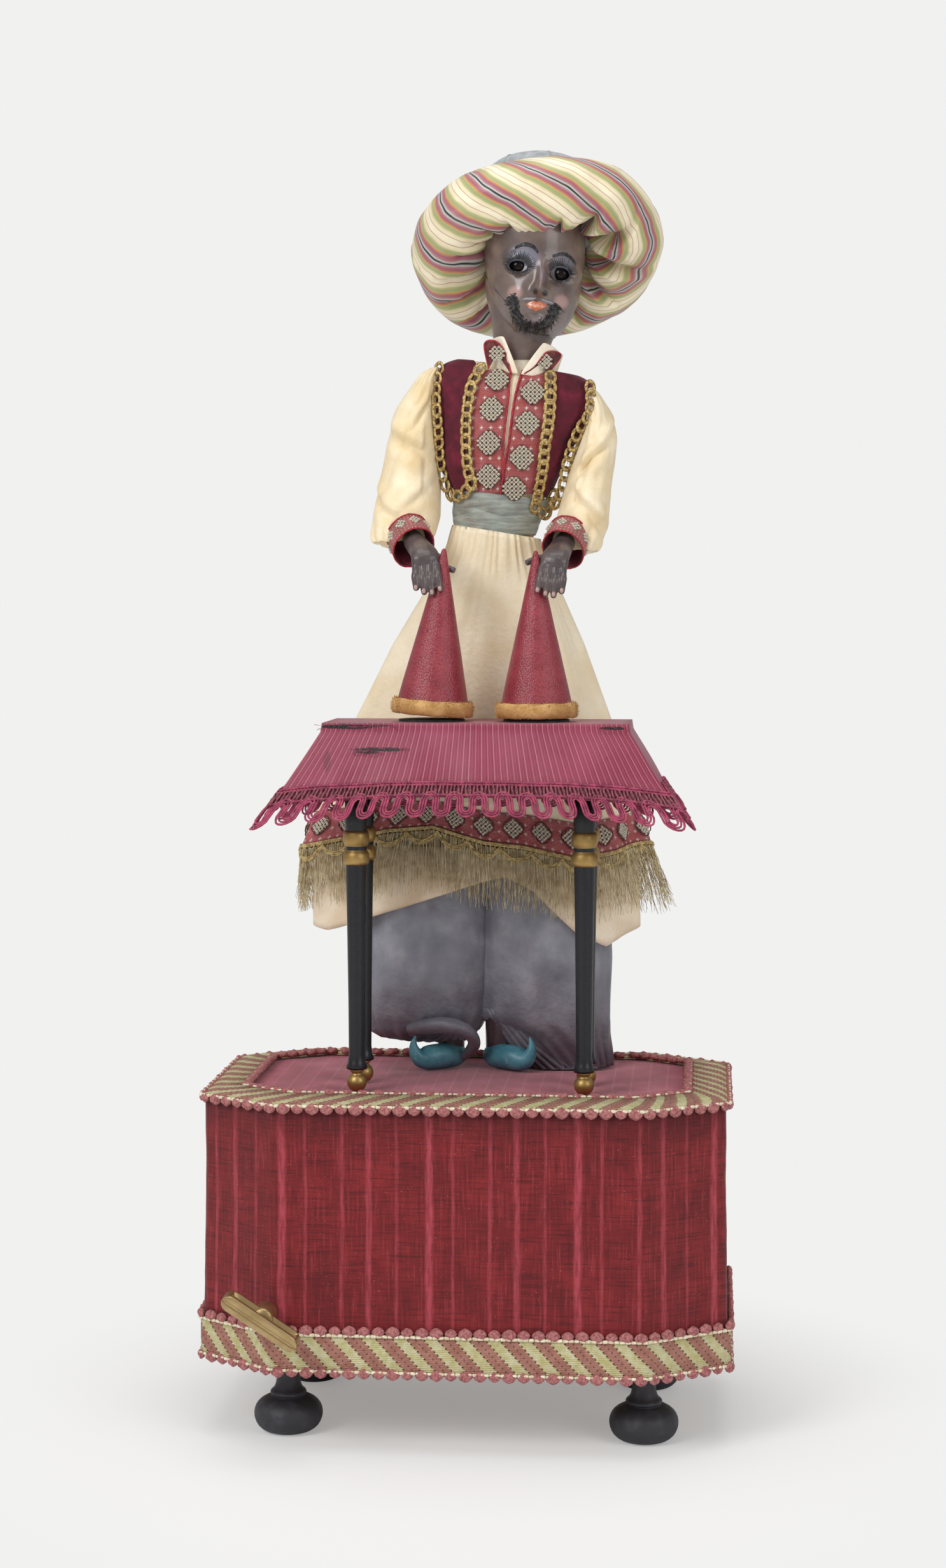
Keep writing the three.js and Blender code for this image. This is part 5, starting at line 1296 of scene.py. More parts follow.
# Shares of the slipper's length, height and the leg's radius, from the heel to the curled toe
SLIPPER_SHARES = [
    (-0.14, 0.34, 0.22), (-0.06, 0.45, 0.58), (0.04, 0.52, 0.8), (0.3, 0.5, 0.97), (0.55, 0.43, 0.95),
    (0.75, 0.42, 0.78), (0.87, 0.52, 0.58), (0.96, 0.78, 0.42), (1.0, 1.1, 0.26), (0.97, 1.35, 0.13),
    (0.93, 1.5, 0.04),
]
SHIN_PROFILE = [(9.2, DECK + 6), (8.8, DECK + 13), (9.0, DECK + 24), (10.2, DECK + 60), (10.4, 424)]


def build_slippers():
    paint = slipper_paint()
    skin = painted_skin("painted_shin", "46323a", "2a1c20")
    for side, leg in LEGS.items():
        stations = []
        for along_share, up_share, wide_share in SLIPPER_SHARES:
            along = SLIPPER.length * along_share
            wide = LEG_RADIUS * wide_share
            deep = min(wide, SLIPPER.height * SLIPPER.deepest)
            x = leg.x - leg.out * LEG_RADIUS / 2 + leg.out * SLIPPER.toe_out * along
            z = DECK + max(SLIPPER.height * up_share, deep + 0.2)
            stations.append((at(x, DOLL.y - SLIPPER.toe_forward * along, z), wide, deep))
        foot = solid(f"slipper_{side}", tube_rows(stations, sides=20))
        finish(foot, paint, "root", [f"leg_{side}"], "painted_skin", levels=1)
        shank = turned(f"shin_{side}", SHIN_PROFILE, leg.x, DOLL.y, sides=28)
        finish(shank, skin, "root", [f"leg_{side}"], "painted_skin")


def ring_turns(count):
    """Turns evenly spaced round the body, starting at its back."""
    return [TURN * i / count - math.pi / 2 * 3 for i in range(count)]


def body_ring(x, y, z, half_x, half_y, folds):
    """A ring round the body, with the depth of the folds at each of its turns."""
    ring = []
    for turn, fold in zip(ring_turns(len(folds)), folds):
        ring.append(at(x + (half_x + fold) * math.cos(turn), y + (half_y + fold) * math.sin(turn), z))
    return ring


TROUSERS = Sizes(top=402, width=92, depth=62, part_x=3, parting=-7.0, y=48, around=96, cuff=11.5, gathers=19)
# Shares from the hem up: height, middle across, width and depth
TROUSER_SIDES = {
    "left": Sizes(
        hem=238, ankle=240, seed=2.0,
        shares=[(0, 0.52, 0.62, 0.5), (0.03, 0.51, 0.82, 0.74), (0.1, 0.5, 0.94, 0.9), (0.2, 0.5, 0.99, 0.98),
                (0.35, 0.5, 1.03, 1), (0.65, 0.5, 1.03, 0.96), (1, 0.47, 0.9, 0.85)],
    ),
    "right": Sizes(
        hem=220, ankle=252, seed=7.0,
        shares=[(0, 0.78, 0.46, 0.5), (0.06, 0.71, 0.6, 0.62), (0.12, 0.64, 0.73, 0.74),
                (0.155, 0.57, 0.88, 0.84), (0.18, 0.51, 1.0, 0.88), (0.4, 0.5, 1.06, 1),
                (0.65, 0.5, 1.03, 0.95),
                (1, 0.48, 0.92, 0.85)],
    ),
}
# From the ankle out to the hem: share of the way, and how far above the hem's line
TROUSER_ENDS = ((0.0, 8), (0.12, 2), (0.35, -0.5), (0.7, -1.0))
# The roll of silk at the left trouser's edge: places across, forward and up, and radius
TROUSER_ROLL = [
    (-44, 26, 246, 4.5), (-34, 18, 249, 6), (-22, 13, 251, 6.8), (-11, 11, 250, 6.2), (-3, 14, 245, 5.4),
    (-1, 20, 238, 4.6), (-5, 28, 231, 3.6), (-10, 34, 226, 2.2),
]


def trouser_fold(seed, turn, share):
    """Depth of the folds at a turn and a share of the height: pleats above, gathers drawn in below."""
    spot = Vector((math.cos(turn), math.sin(turn), share * 0.55))
    pleats = 2.0 * math.cos(5 * turn + 1.3 * seed + 1.5 * share) * smooth(share * 1.6)
    soft = 3.4 * wander(spot, 0.55, seed) + 1.4 * wander(spot, 0.2, seed + 4)
    gathers = 1.6 * math.cos(
        TROUSERS.gathers * turn + 3 * wander(spot, 0.4, seed)
    ) * (1 - smooth(share / 0.2))
    return pleats + soft + gathers


def trouser_rows(side):
    leg, made = LEGS[side], TROUSER_SIDES[side]
    inner = TROUSERS.part_x + leg.out * TROUSERS.parting
    _, middle, wide, deep = made.shares[0]
    low_x = inner + leg.out * TROUSERS.width * middle
    half_x, half_y = TROUSERS.width / 2 * wide, TROUSERS.depth / 2 * deep
    turns = ring_turns(TROUSERS.around)
    rows = []
    for share, rise in TROUSER_ENDS:
        folds = [(0.5 + share) * math.cos(TROUSERS.gathers * turn) for turn in turns]
        x, y = blend(leg.x, low_x, share), blend(DOLL.y, TROUSERS.y, share)
        z = max(blend(made.ankle, made.hem, smooth(share * 1.4)) + rise, DECK + 1)
        halves = (blend(TROUSERS.cuff, half_x, share), blend(TROUSERS.cuff, half_y, share))
        rows.append(body_ring(x, y, z, *halves, folds))
    for level in range(46):
        share = (level / 45) ** 1.15
        folds = [trouser_fold(made.seed, turn, share) for turn in turns]
        middle, wide, deep = through(made.shares, share)
        x, z = inner + leg.out * TROUSERS.width * middle, made.hem + (TROUSERS.top - made.hem) * share
        halves = (TROUSERS.width / 2 * wide, TROUSERS.depth / 2 * deep)
        rows.append(body_ring(x, TROUSERS.y, z, *halves, folds))
    return rows


def build_trousers():
    satin = grey_satin()
    for side in LEGS:
        bag = surface(f"trouser_bag_{side}", trouser_rows(side))
        finish(bag, satin, "root", [f"trouser_{side}"], "grey_satin", wall=0.7)
    roll = limb("trouser_roll", [(at(x, y, z), r, r * 0.8) for x, y, z, r in TROUSER_ROLL], 6, 24)
    finish(roll, satin, "root", ["trouser_left"], "grey_satin", levels=1)


SKIRT = Sizes(top=575, hem=364, x=-3.5, width=229, depth=92, waist_width=57, waist_depth=45, back=8, rows=56)
SKIRT_FALL = SKIRT.top - SKIRT.hem
SKIRT_SHARES = [(0, 0), (0.17, 0.14), (0.42, 0.36), (0.65, 0.6), (0.84, 0.84), (0.94, 0.96), (1, 1)]
UNDER = Sizes(inset=6, back_hem=318, top=369, rows=12)
# Heights of the hem across its front, from the left side to the right, and of the under-robe's hem
HEM_LINE = [
    (-115, 367), (-84, 374), (-56, 380), (-27, 382.5), (7, 373), (32, 370), (66, 361.5), (92, 366), (115, 374)
]
UNDER_LINE = [
    (-112, 313), (-100, 311), (4, 346), (20, 350), (38, 341), (66, 312), (84, 303), (105, 311), (118, 319)
]


def hem_height(line, x, y, hidden):
    """Height of a hem over a place, level behind and as seen in front."""
    seen = through(line, x)[0]
    return blend(seen, hidden, smooth((y - DOLL.y + 12) / 40))


def skirt_fold(turn, narrow):
    wide = 2.4 * math.cos(9 * turn) * (1 - narrow)
    soft = 4.5 * wander_round(turn, narrow * 0.25, 0.5, 3) * (1 - narrow) ** 0.5
    drawn = smooth((narrow - 0.8) / 0.2)
    gathers = 1.0 * math.cos(34 * turn + 5 * wander_round(turn, narrow * 0.25, 0.3, 9)) * drawn
    runs = 0.5 * wander_round(turn, 0, 0.09, 5) * smooth(narrow / 0.4)
    return wide + soft + gathers + runs


def skirt_point(turn, share, outward=0.0):
    """A place on the robe, its share of the height from the hem; below 0 it hangs on down."""
    narrow = through(SKIRT_SHARES, share)[0]
    fold = skirt_fold(turn, narrow) + outward
    half_x = blend(SKIRT.width, SKIRT.waist_width, narrow) / 2
    half_y = blend(SKIRT.depth, SKIRT.waist_depth, narrow) / 2
    x = blend(SKIRT.x, DOLL.waist_x, narrow) + (half_x + fold) * math.cos(turn)
    y = DOLL.y + (1 - narrow) * SKIRT.back + (half_y + fold) * math.sin(turn)
    lift = hem_height(HEM_LINE, x, y, SKIRT.hem) - SKIRT.hem
    lift *= max(1 - share / 0.5, 0) ** 1.5 if share > 0 else 1
    slope = 0.16 * (x - DOLL.waist_x) * smooth((share - 0.85) / 0.15)
    return at(x, y, SKIRT.hem + SKIRT_FALL * share + lift - slope)


def skirt_turns(count, steps=1500):
    """Turns evenly spaced along the hem, starting at the back."""
    fine = [math.pi / 2 + TURN * i / steps for i in range(steps + 1)]
    spots = [(SKIRT.width * math.cos(turn), SKIRT.depth * math.sin(turn)) for turn in fine]
    return even_values(fine, [math.dist(a, b) for a, b in zip(spots, spots[1:])], count)


SKIRT_TURNS = skirt_turns(220)


def under_point(turn, share):
    c, s = math.cos(turn), math.sin(turn)
    x = SKIRT.x + (SKIRT.width / 2 - UNDER.inset) * c
    y = DOLL.y + SKIRT.back + (SKIRT.depth / 2 - UNDER.inset) * s
    fold = 1.5 * math.cos(9 * turn) + 2.4 * wander_round(turn, share * 0.3, 0.45, 8)
    hem = hem_height(UNDER_LINE, x, y, UNDER.back_hem)
    return at(x + fold * c, y + fold * s, blend(hem, UNDER.top, share))


def build_robe():
    satin = cream_satin("cream_robe", "f3e6cb", "e6d3ae")
    shares = [(i / SKIRT.rows) ** 0.95 for i in range(SKIRT.rows + 1)]
    robe = surface("cream_robe", [[skirt_point(turn, share) for turn in SKIRT_TURNS] for share in shares])
    finish(robe, satin, "root", ["robe_skirt"], "cream_satin", wall=0.9)
    shares = [level / UNDER.rows for level in range(UNDER.rows + 1)]
    under = surface(
        "cream_under_robe", [[under_point(turn, share) for turn in SKIRT_TURNS] for share in shares]
    )
    lining = cream_satin("cream_lining", "f3e4cc", "dcc3a0", 0.5)
    finish(under, lining, "root", ["underskirt"], "cream_satin", wall=0.7)


# Medallions: fields of small beads inside a lobed outline
BEAD = Sizes(length=2.2, width=1.9, spacing=0.62)
BEAD_PROFILE = ((0.08, -0.5), (0.36, -0.36), (0.5, 0.0), (0.36, 0.36), (0.08, 0.5))


def silver_beads(centre, right, up, out, radius):
    """Places of the small beads that fill a medallion, in a slanting grid."""
    places = []
    reach = int(radius / BEAD.length) + 2
    for i in range(-reach, reach + 1):
        for k in range(-reach, reach + 1):
            a, b = (i + k) * BEAD.length * BEAD.spacing, (i - k) * BEAD.length * BEAD.spacing
            if math.hypot(a, b) <= radius * (0.76 + 0.16 * abs(math.cos(2 * math.atan2(b, a))) ** 0.6):
                spot = centre + (right * a + up * b + out * 1.0) * MM
                places.append((spot, right if (i + k) % 2 else up, out, 1.0))
    return places


def bead_part():
    rows = [
        [mm(along * BEAD.length, share * BEAD.width * c, share * BEAD.width * s) for c, s in circle(6)]
        for share, along in BEAD_PROFILE
    ]
    return small_part("silver_bead", rows)


def ring_line(centre, right, up, out, radius, lift=0.7, count=40):
    """The lobed outline of a medallion."""
    line = []
    for k in range(count + 1):
        angle = TURN * k / count
        lobe = radius * (0.8 + 0.2 * abs(math.cos(2 * angle)) ** 0.6)
        line.append(centre + (right * lobe * math.cos(angle) + up * lobe * math.sin(angle) + out * lift) * MM)
    return line


def skirt_frame(turn, share, outward, step=0.012):
    """A place on the robe with the directions along the hem, up the cloth and outwards."""
    along = (skirt_point(turn + step, share, outward) - skirt_point(turn - step, share, outward)).normalized()
    up = (skirt_point(turn, share + step, outward) - skirt_point(turn, share - step, outward)).normalized()
    return skirt_point(turn, share, outward), along, up, along.cross(up).normalized()


# The hem's band, its gimp of swags and bars, and its fringe
BAND = Sizes(height=23, medallion=6.9, pitch=20.5, rows=6)
GIMP = Sizes(swag=21.0, cord=0.62, bar=0.5, sag=6.6, steps=24, bars=7, proud=1.8)
FRINGE = Sizes(length=36, rows=3, radius=0.2, spacing=0.85, steps=7)


def gimp_cords(swags):
    fine = skirt_turns(swags * GIMP.steps)
    cords = []
    for strand in range(3):
        line = []
        for i, turn in enumerate(fine):
            share = i % GIMP.steps / GIMP.steps
            drop = (1.2 + strand * 1.1 + 4 * share * (1 - share) * GIMP.sag) / SKIRT_FALL
            line.append(skirt_point(turn, -drop, 2.4 + 0.4 * math.cos(strand * 2 + i)))
        cords.append(line + line[:1])
    for height in (-0.4, 0.6):
        for start in BOTH_WAYS:
            line = []
            for i, turn in enumerate(fine):
                phase = i * 1.4 + start
                share = (height + 0.4 * math.sin(phase)) / SKIRT_FALL
                line.append(skirt_point(turn, share, GIMP.proud + 0.4 * math.cos(phase)))
            cords.append(line + line[:1])
    return cords


def gimp_bars(swags):
    bars = []
    for i, turn in enumerate(skirt_turns(swags * GIMP.bars)):
        share = i % GIMP.bars / GIMP.bars
        depth = 2 + 22 * share * (1 - share)
        downs = (-0.5, depth / 2, depth)
        bars.append([skirt_point(turn, -down / SKIRT_FALL, 1.6 + 0.5 * math.sin(i + down)) for down in downs])
    return bars


def fringe_hairs(girth):
    """Crimped metal threads in rows, in loose clumps that lean together."""
    rng = random.Random(5)
    count = int(girth / FRINGE.spacing)
    hairs = []
    for row in range(FRINGE.rows):
        clump = 0.0
        for turn in skirt_turns(count):
            turn += rng.uniform(-0.006, 0.006)
            length = FRINGE.length * rng.uniform(0.68, 1.18)
            clump = clump * 0.95 + rng.gauss(0, 0.006)
            lean, splay = clump + rng.gauss(0, 0.006), rng.gauss(0, 1.6) + row * 0.8
            hair = []
            for k in range(FRINGE.steps + 1):
                share = k / FRINGE.steps
                crimp = 0.9 * math.sin(k * 2.1 + count * turn) * share
                aside = 11 * share * max(math.cos(turn), 0) ** 3
                outward = 0.6 + row * 0.7 + (splay * share + crimp + aside)
                down = (2 + length * share) / SKIRT_FALL
                place = skirt_point(turn + lean * share + crimp * 0.0035, -down, outward)
                hair.append((place, 1 - 0.35 * share))
            hairs.append(hair)
    return hairs


def build_hem():
    silver = silver_weave()
    brocade = rose_brocade("hem_brocade", "a54a4c", "cfc3b4", 6.2)
    gold = thread_finish("gold_gimp", "cdb67c", "937a4a", size=2.5, roughness=0.45, Metallic=0.1)
    red = thread_finish("medallion_outline", "3c2a28", "6b3a34", size=3)
    metal = thread_finish("fringe_metal", "e6d8ae", "ad966c", size=5, roughness=0.5)
    girth_spots = [skirt_point(turn, 0) for turn in skirt_turns(400)]
    girth = sum(gaps_of(girth_spots + girth_spots[:1])) / MM
    levels = [BAND.height / SKIRT_FALL * i / BAND.rows for i in range(BAND.rows + 1)]
    band = surface("hem_band", [[skirt_point(turn, share, 0.5) for turn in SKIRT_TURNS] for share in levels])
    finish(band, brocade, "root", [], "brocade", wall=0.5, outward=True)
    beads, outlines = [], []
    for turn in skirt_turns(round(girth / BAND.pitch)):
        place = skirt_frame(turn, BAND.height * 0.55 / SKIRT_FALL, 1.0)
        beads += silver_beads(*place, BAND.medallion)
        outlines.append(ring_line(*place, BAND.medallion))
    repeats("hem_medallions", bead_part(), beads, silver, "root")
    threads("hem_medallion_edges", outlines, 0.4, red, "root", sides=4)
    swags = round(girth / GIMP.swag)
    threads("hem_gimp", gimp_cords(swags), GIMP.cord, gold, "root")
    threads("hem_gimp_bars", gimp_bars(swags), GIMP.bar, gold, "root", sides=4)
    hairs = fringe_hairs(girth)
    threads(
        "metal_fringe", hairs, FRINGE.radius, metal, "root", 3, stands_for=["hem_fringe"], slot="gilt_fringe"
    )


build_slippers()
build_trousers()
build_robe()
build_hem()


# Upper half of the doll: body, sash, vest, plastron and collar
TORSO = Sizes(bottom=420, top=685, width=92, depth=50)
TORSO_SHARES = [
    (0, 0.78, 0.95), (0.25, 0.6, 0.85), (0.56, 0.55, 0.74), (0.64, 0.58, 0.78), (0.74, 0.75, 0.95),
    (0.84, 0.9, 1), (0.93, 1, 0.85), (0.975, 0.85, 0.62), (1, 0.5, 0.5),
]
FRONT = -math.pi / 2
AHEAD = Vector((0, -1, 0))
SIDE_NAMES = {-1: "left", 1: "right"}


def rise_share(z):
    return (z - DOLL.waist_z) / (DOLL.neck_z - DOLL.waist_z)


def spine_x(z):
    return blend(DOLL.waist_x, DOLL.neck_x, rise_share(z))


def slope_share(z):
    return DOLL.slope * min(max(rise_share(z), 0), 1)


def torso_half(z):
    wide, deep = through(TORSO_SHARES, (z - TORSO.bottom) / (TORSO.top - TORSO.bottom))
    return TORSO.width / 2 * wide, TORSO.depth / 2 * deep


def torso_point(turn, z, outward=0.0):
    """A place on the body at a turn and a height that follows the sloping shoulders."""
    half_x, half_y = torso_half(z)
    x = spine_x(z) + (half_x + outward) * math.cos(turn)
    y = DOLL.y + (half_y + outward) * math.sin(turn)
    return at(x, y, z - slope_share(z) * (x - spine_x(z)))


def front_spot(x, z, outward=0.0):
    """A place on the front of the body, seen at x and z."""
    level = z + slope_share(z) * (x - spine_x(z))
    half_x, _ = torso_half(level)
    share = min(max((x - spine_x(level)) / (half_x + outward), -0.985), 0.985)
    return torso_point(-math.acos(share), level, outward)


def front_frame(x, z, outward):
    """A place on the front with the directions across, up and outwards."""
    right = (front_spot(x + 1, z, outward) - front_spot(x - 1, z, outward)).normalized()
    up = (front_spot(x, z + 1, outward) - front_spot(x, z - 1, outward)).normalized()
    return front_spot(x, z, outward), right, up, right.cross(up).normalized()


def at_height(line, z):
    """How far across a line lies at a height; the line runs downwards as x and z."""
    return through([(b, a) for a, b in reversed(line)], z)[0]


BODY = Sizes(around=64, low=424, high=686, step=6, off=0.2)
# Each wrap of the sash: its lower and upper edge, how far out it lies, and how it falls to one side
SASH_WRAPS = ((571.5, 583.5, 1.6, 0.05), (578.5, 590.5, 2.3, -0.02), (586, 598.5, 3.0, -0.14))
SASH = Sizes(rows=9, around=96, puff=0.9, ripple=0.7, rise=8, fall=18, waver=1.4)


def sash_rows(number, low, high, lift, fall):
    turns = turns_round(SASH.around)
    rows = []
    for share in blends(0, 1, SASH.rows):
        row = []
        for turn in turns:
            c, level = math.cos(turn), number * 2 + share * 0.4
            puff = SASH.puff * math.sin(math.pi * share) + SASH.ripple * wander_round(
                turn, level, 0.35, number
            )
            point = torso_point(turn, blend(low, high, share), lift + puff)
            rise = SASH.rise * max(-c, 0) ** 2 * (1 - 0.35 * number)
            point.z += (
                rise + fall * SASH.fall * c + SASH.waver * wander_round(turn, level, 0.5, 4 + number)
            ) * MM
            row.append(point)
        rows.append(row)
    return rows


def build_torso():
    heights = range(BODY.low, BODY.high, BODY.step)
    turns = turns_round(BODY.around)
    torso = surface(
        "doll_body", [[torso_point(turn, z, BODY.off) for turn in turns] for z in heights], caps=(0, -1)
    )
    finish(torso, cream_satin("shirt_body", "f2e4c6", "ddc79c", 0.5), "root", ["torso"], "body_core")
    silk = sash_silk()
    for number, wrap in enumerate(SASH_WRAPS):
        piece = surface(f"sash_wrap_{number}", sash_rows(number, *wrap))
        finish(piece, silk, "root", ["sash"], "sash_silk", wall=0.7, levels=1)


VEST = Sizes(bottom=598, top=682.5, lift=2.9, rows=33, columns=39, ripple=0.8, crease=0.35, shoulder=1.5)
# Front edges of the vest and the chains on it, as x and z from the shoulder down
LEFT_FRONT = [(2.2, 680), (-2.8, 669), (-5.4, 654), (-6.2, 637), (-5.4, 619), (-2.8, 606)]
RIGHT_FRONT = [(48.6, 674.5), (48.8, 662), (47.8, 645), (45.3, 628.5), (43.7, 613.5), (40.3, 597)]
VEST_FRONTS = {-1: LEFT_FRONT, 1: RIGHT_FRONT}
LEFT_HEM = [(-2.8, 606), (-7.5, 600), (-12.5, 598), (-17.3, 598.5), (-21.0, 605)]
RIGHT_HEM = [(40.3, 597), (39.0, 589.5), (47.0, 587), (52.0, 592), (54.5, 598)]
ARMHOLES = [
    [(-17.5, 599.5), (-21.5, 607), (-24.2, 623.5), (-24.8, 640), (-26.2, 656.5), (-26.6, 671), (-25.2, 681)],
    [(51.3, 593.7), (55.8, 602.6), (58.8, 617.6), (62.6, 629.6), (67.0, 640), (73.3, 650), (74.6, 658),
     (74.0, 668)],
]
# How far in front of the body's middle the chains round the armholes lie, by height
HOLE_DEPTHS = [(594, 9), (610, 11), (630, 15), (655, 17), (672, 12), (686, 5)]
# How far the vest stands out at each side: how much, from what height and over what height
SIDE_FULL = {-1: (7, 600, 20), 1: (5.5, 626, 34)}
CHAIN = Sizes(pitch=6.7, lift=2.6, long=4.3, high=3.1, wide=1.05, thick=0.62, lobe=0.22, tip=0.25, knot=0.75)
FRAY = Sizes(pitch=1.1, reach=2.6, radius=0.16)


def vest_lift(side, turn, z):
    """How far out the vest lies: its ripples, its full side and its shoulder."""
    level = z / 90
    lift = VEST.lift + VEST.ripple * wander_round(turn, level, 0.5, 3) + VEST.crease * wander_round(
        turn, level, 0.17, 6
    )
    full, start, run = SIDE_FULL[side]
    shoulder = smooth((z - 668) / 14) * VEST.shoulder
    return lift + (shoulder + full * smooth((z - start) / run) * abs(math.cos(turn)) ** 3)


def vest_panel(side, material):
    """A front and side panel of the vest, from its front edge round to the middle of the back."""
    rows = []
    last = math.pi / 2 if side > 0 else -math.pi * 1.5
    for z in blends(VEST.bottom, VEST.top, VEST.rows):
        middle = spine_x(z)
        half_x, _ = torso_half(z)
        edge = at_height(VEST_FRONTS[side], z - slope_share(z) * side * 24)
        share = min(max((edge - middle) / (half_x + VEST.lift), -0.97), 0.97)
        turns = blends(-math.acos(share), last, VEST.columns)
        rows.append([torso_point(turn, z, vest_lift(side, turn, z)) for turn in turns])
    panel = surface(f"vest_panel_{SIDE_NAMES[side]}", rows, closed=False, flip=side < 0)
    finish(panel, material, "root", ["vest"], "vest_velvet", wall=1.2, levels=1)


def chain_link():
    """One open oval link made of two wires."""
    rows = []
    for k in range(25):
        c, s = math.cos(TURN * k / 24), math.sin(TURN * k / 24)
        place, out = Vector((CHAIN.long * c, 0, CHAIN.high * s)), Vector((c, 0, s))
        row = []
        for j, (bend_c, bend_s) in enumerate(circle(8)):
            lobe = 1.0 + CHAIN.lobe * math.cos(2 * (TURN * j / 8))
            row.append((place + out * CHAIN.wide * lobe * bend_c + Vector((0, CHAIN.thick * bend_s, 0))) * MM)
        rows.append(row)
    return small_part("chain_link", rows, caps=())


def hole_frame(x, z):
    """A place on the front edge of an armhole with its directions."""
    side = -1 if x < DOLL.neck_x else 1
    spot = at(x, DOLL.y - through(HOLE_DEPTHS, z)[0], z)
    return spot, Vector((0.87, 0.5 * side, 0)), UP, Vector((0.5 * side, -0.87, 0))


def along_line(line, pitch):
    """Places at even distances along a line of x and z, with the directions along it and outwards."""
    points = curve_through([Vector((x, 0, z)) for x, z in line], 12)
    reach = [0.0]
    for gap in gaps_of(points):
        reach.append(reach[-1] + gap)
    count = max(round(reach[-1] / pitch), 1)
    spots, k = [], 0
    for i in range(count + 1):
        goal = reach[-1] * i / count
        while k < len(points) - 2 and reach[k + 1] < goal:
            k += 1
        flat = points[k].lerp(points[k + 1], (goal - reach[k]) / max(reach[k + 1] - reach[k], 0.001))
        if line in ARMHOLES:
            spot, right, up, out = hole_frame(flat.x, flat.z)
        else:
            spot, right, up, out = front_frame(flat.x, flat.z, VEST.lift + CHAIN.lift)
        way = (points[k + 1] - points[k]).normalized()
        spots.append((spot, (right * way.x + up * way.z).normalized(), out))
    return spots


def chain_knot(spot, way, out):
    """The short bound bar between two links."""
    side = way.cross(out)
    return [
        spot + (way * 3.4 + side * s * 1.6 + out * (0.9 - abs(s) * 0.8)) * MM for s in (-1, -0.5, 0, 0.5, 1)
    ]


def armhole_frays():
    rng = random.Random(8)
    strays = []
    for line in ARMHOLES:
        for spot, _, out in along_line(line, FRAY.pitch):
            drift = Vector((rng.uniform(-1, 1), rng.uniform(-1, 0.4), rng.uniform(-1, 1))) * FRAY.reach * MM
            strays.append([(spot, 1.0), (spot + drift, 0.6), (spot + drift * 1.5 + out * 0.4 * MM, 0.4)])
    return strays


def build_vest():
    velvet = vest_velvet()
    gold = thread_finish("chain_gold", "d6bc7c", "84622e", size=1.4, roughness=0.36, Metallic=0.35)
    for side in VEST_FRONTS:
        vest_panel(side, velvet)
    links, knots = [], []
    for line in (LEFT_FRONT, RIGHT_FRONT, LEFT_HEM, RIGHT_HEM, *ARMHOLES):
        size = 0.95 if line in ARMHOLES else 1.0
        spots = along_line(line, CHAIN.pitch)
        for i, (spot, way, out) in enumerate(spots):
            tipped = (out + way * CHAIN.tip * (-1) ** i).normalized()
            links.append((spot, way, way.cross(tipped), size))
        knots += [chain_knot(*place) for place in spots[:-1]]
    repeats("vest_chain", chain_link(), links, gold, "root")
    threads("vest_chain_knots", knots, CHAIN.knot, gold, "root", sides=6)
    fuzz = thread_finish("armhole_fray", "8a7a50", "5a3a30", size=1)
    threads("vest_fray", armhole_frays(), FRAY.radius, fuzz, "root", sides=3)


MEDALLIONS = [
    (14.1, 672.3), (10.9, 653.3), (9.1, 631.7), (8.9, 610.2), (37.3, 664.1), (34.1, 644), (30.4, 622.2),
    (25.2, 602.5),
]
BAND_INNER = [(27.7, 682), (25.2, 672), (21.8, 645), (18.6, 615), (16.8, 598)]
PLASTRON = Sizes(
    bottom=599, tops={-1: 680, 1: 679}, rows=29, columns=12, lift=2.5, puff=0.5, medallion=7.9, edge=0.5
)
SHIRT = Sizes(bottom=600, top=686, rows=23, lift=1.4, spacing=1.4, pleat=0.2)


def plastron_rows(side):
    rows = []
    for z in blends(PLASTRON.bottom, PLASTRON.tops[side], PLASTRON.rows):
        gap = 0.2 + 1.5 * smooth((z - 612) / 25) + 1.6 * smooth((z - 655) / 24)
        inner, outer = at_height(BAND_INNER, z) + side * gap, at_height(VEST_FRONTS[side], z) - side * 1.5
        row = []
        for k in range(PLASTRON.columns + 1):
            puff = PLASTRON.puff * math.sin(math.pi * k / PLASTRON.columns)
            row.append(front_spot(blend(inner, outer, k / PLASTRON.columns), z, PLASTRON.lift + puff))
        rows.append(row)
    return rows


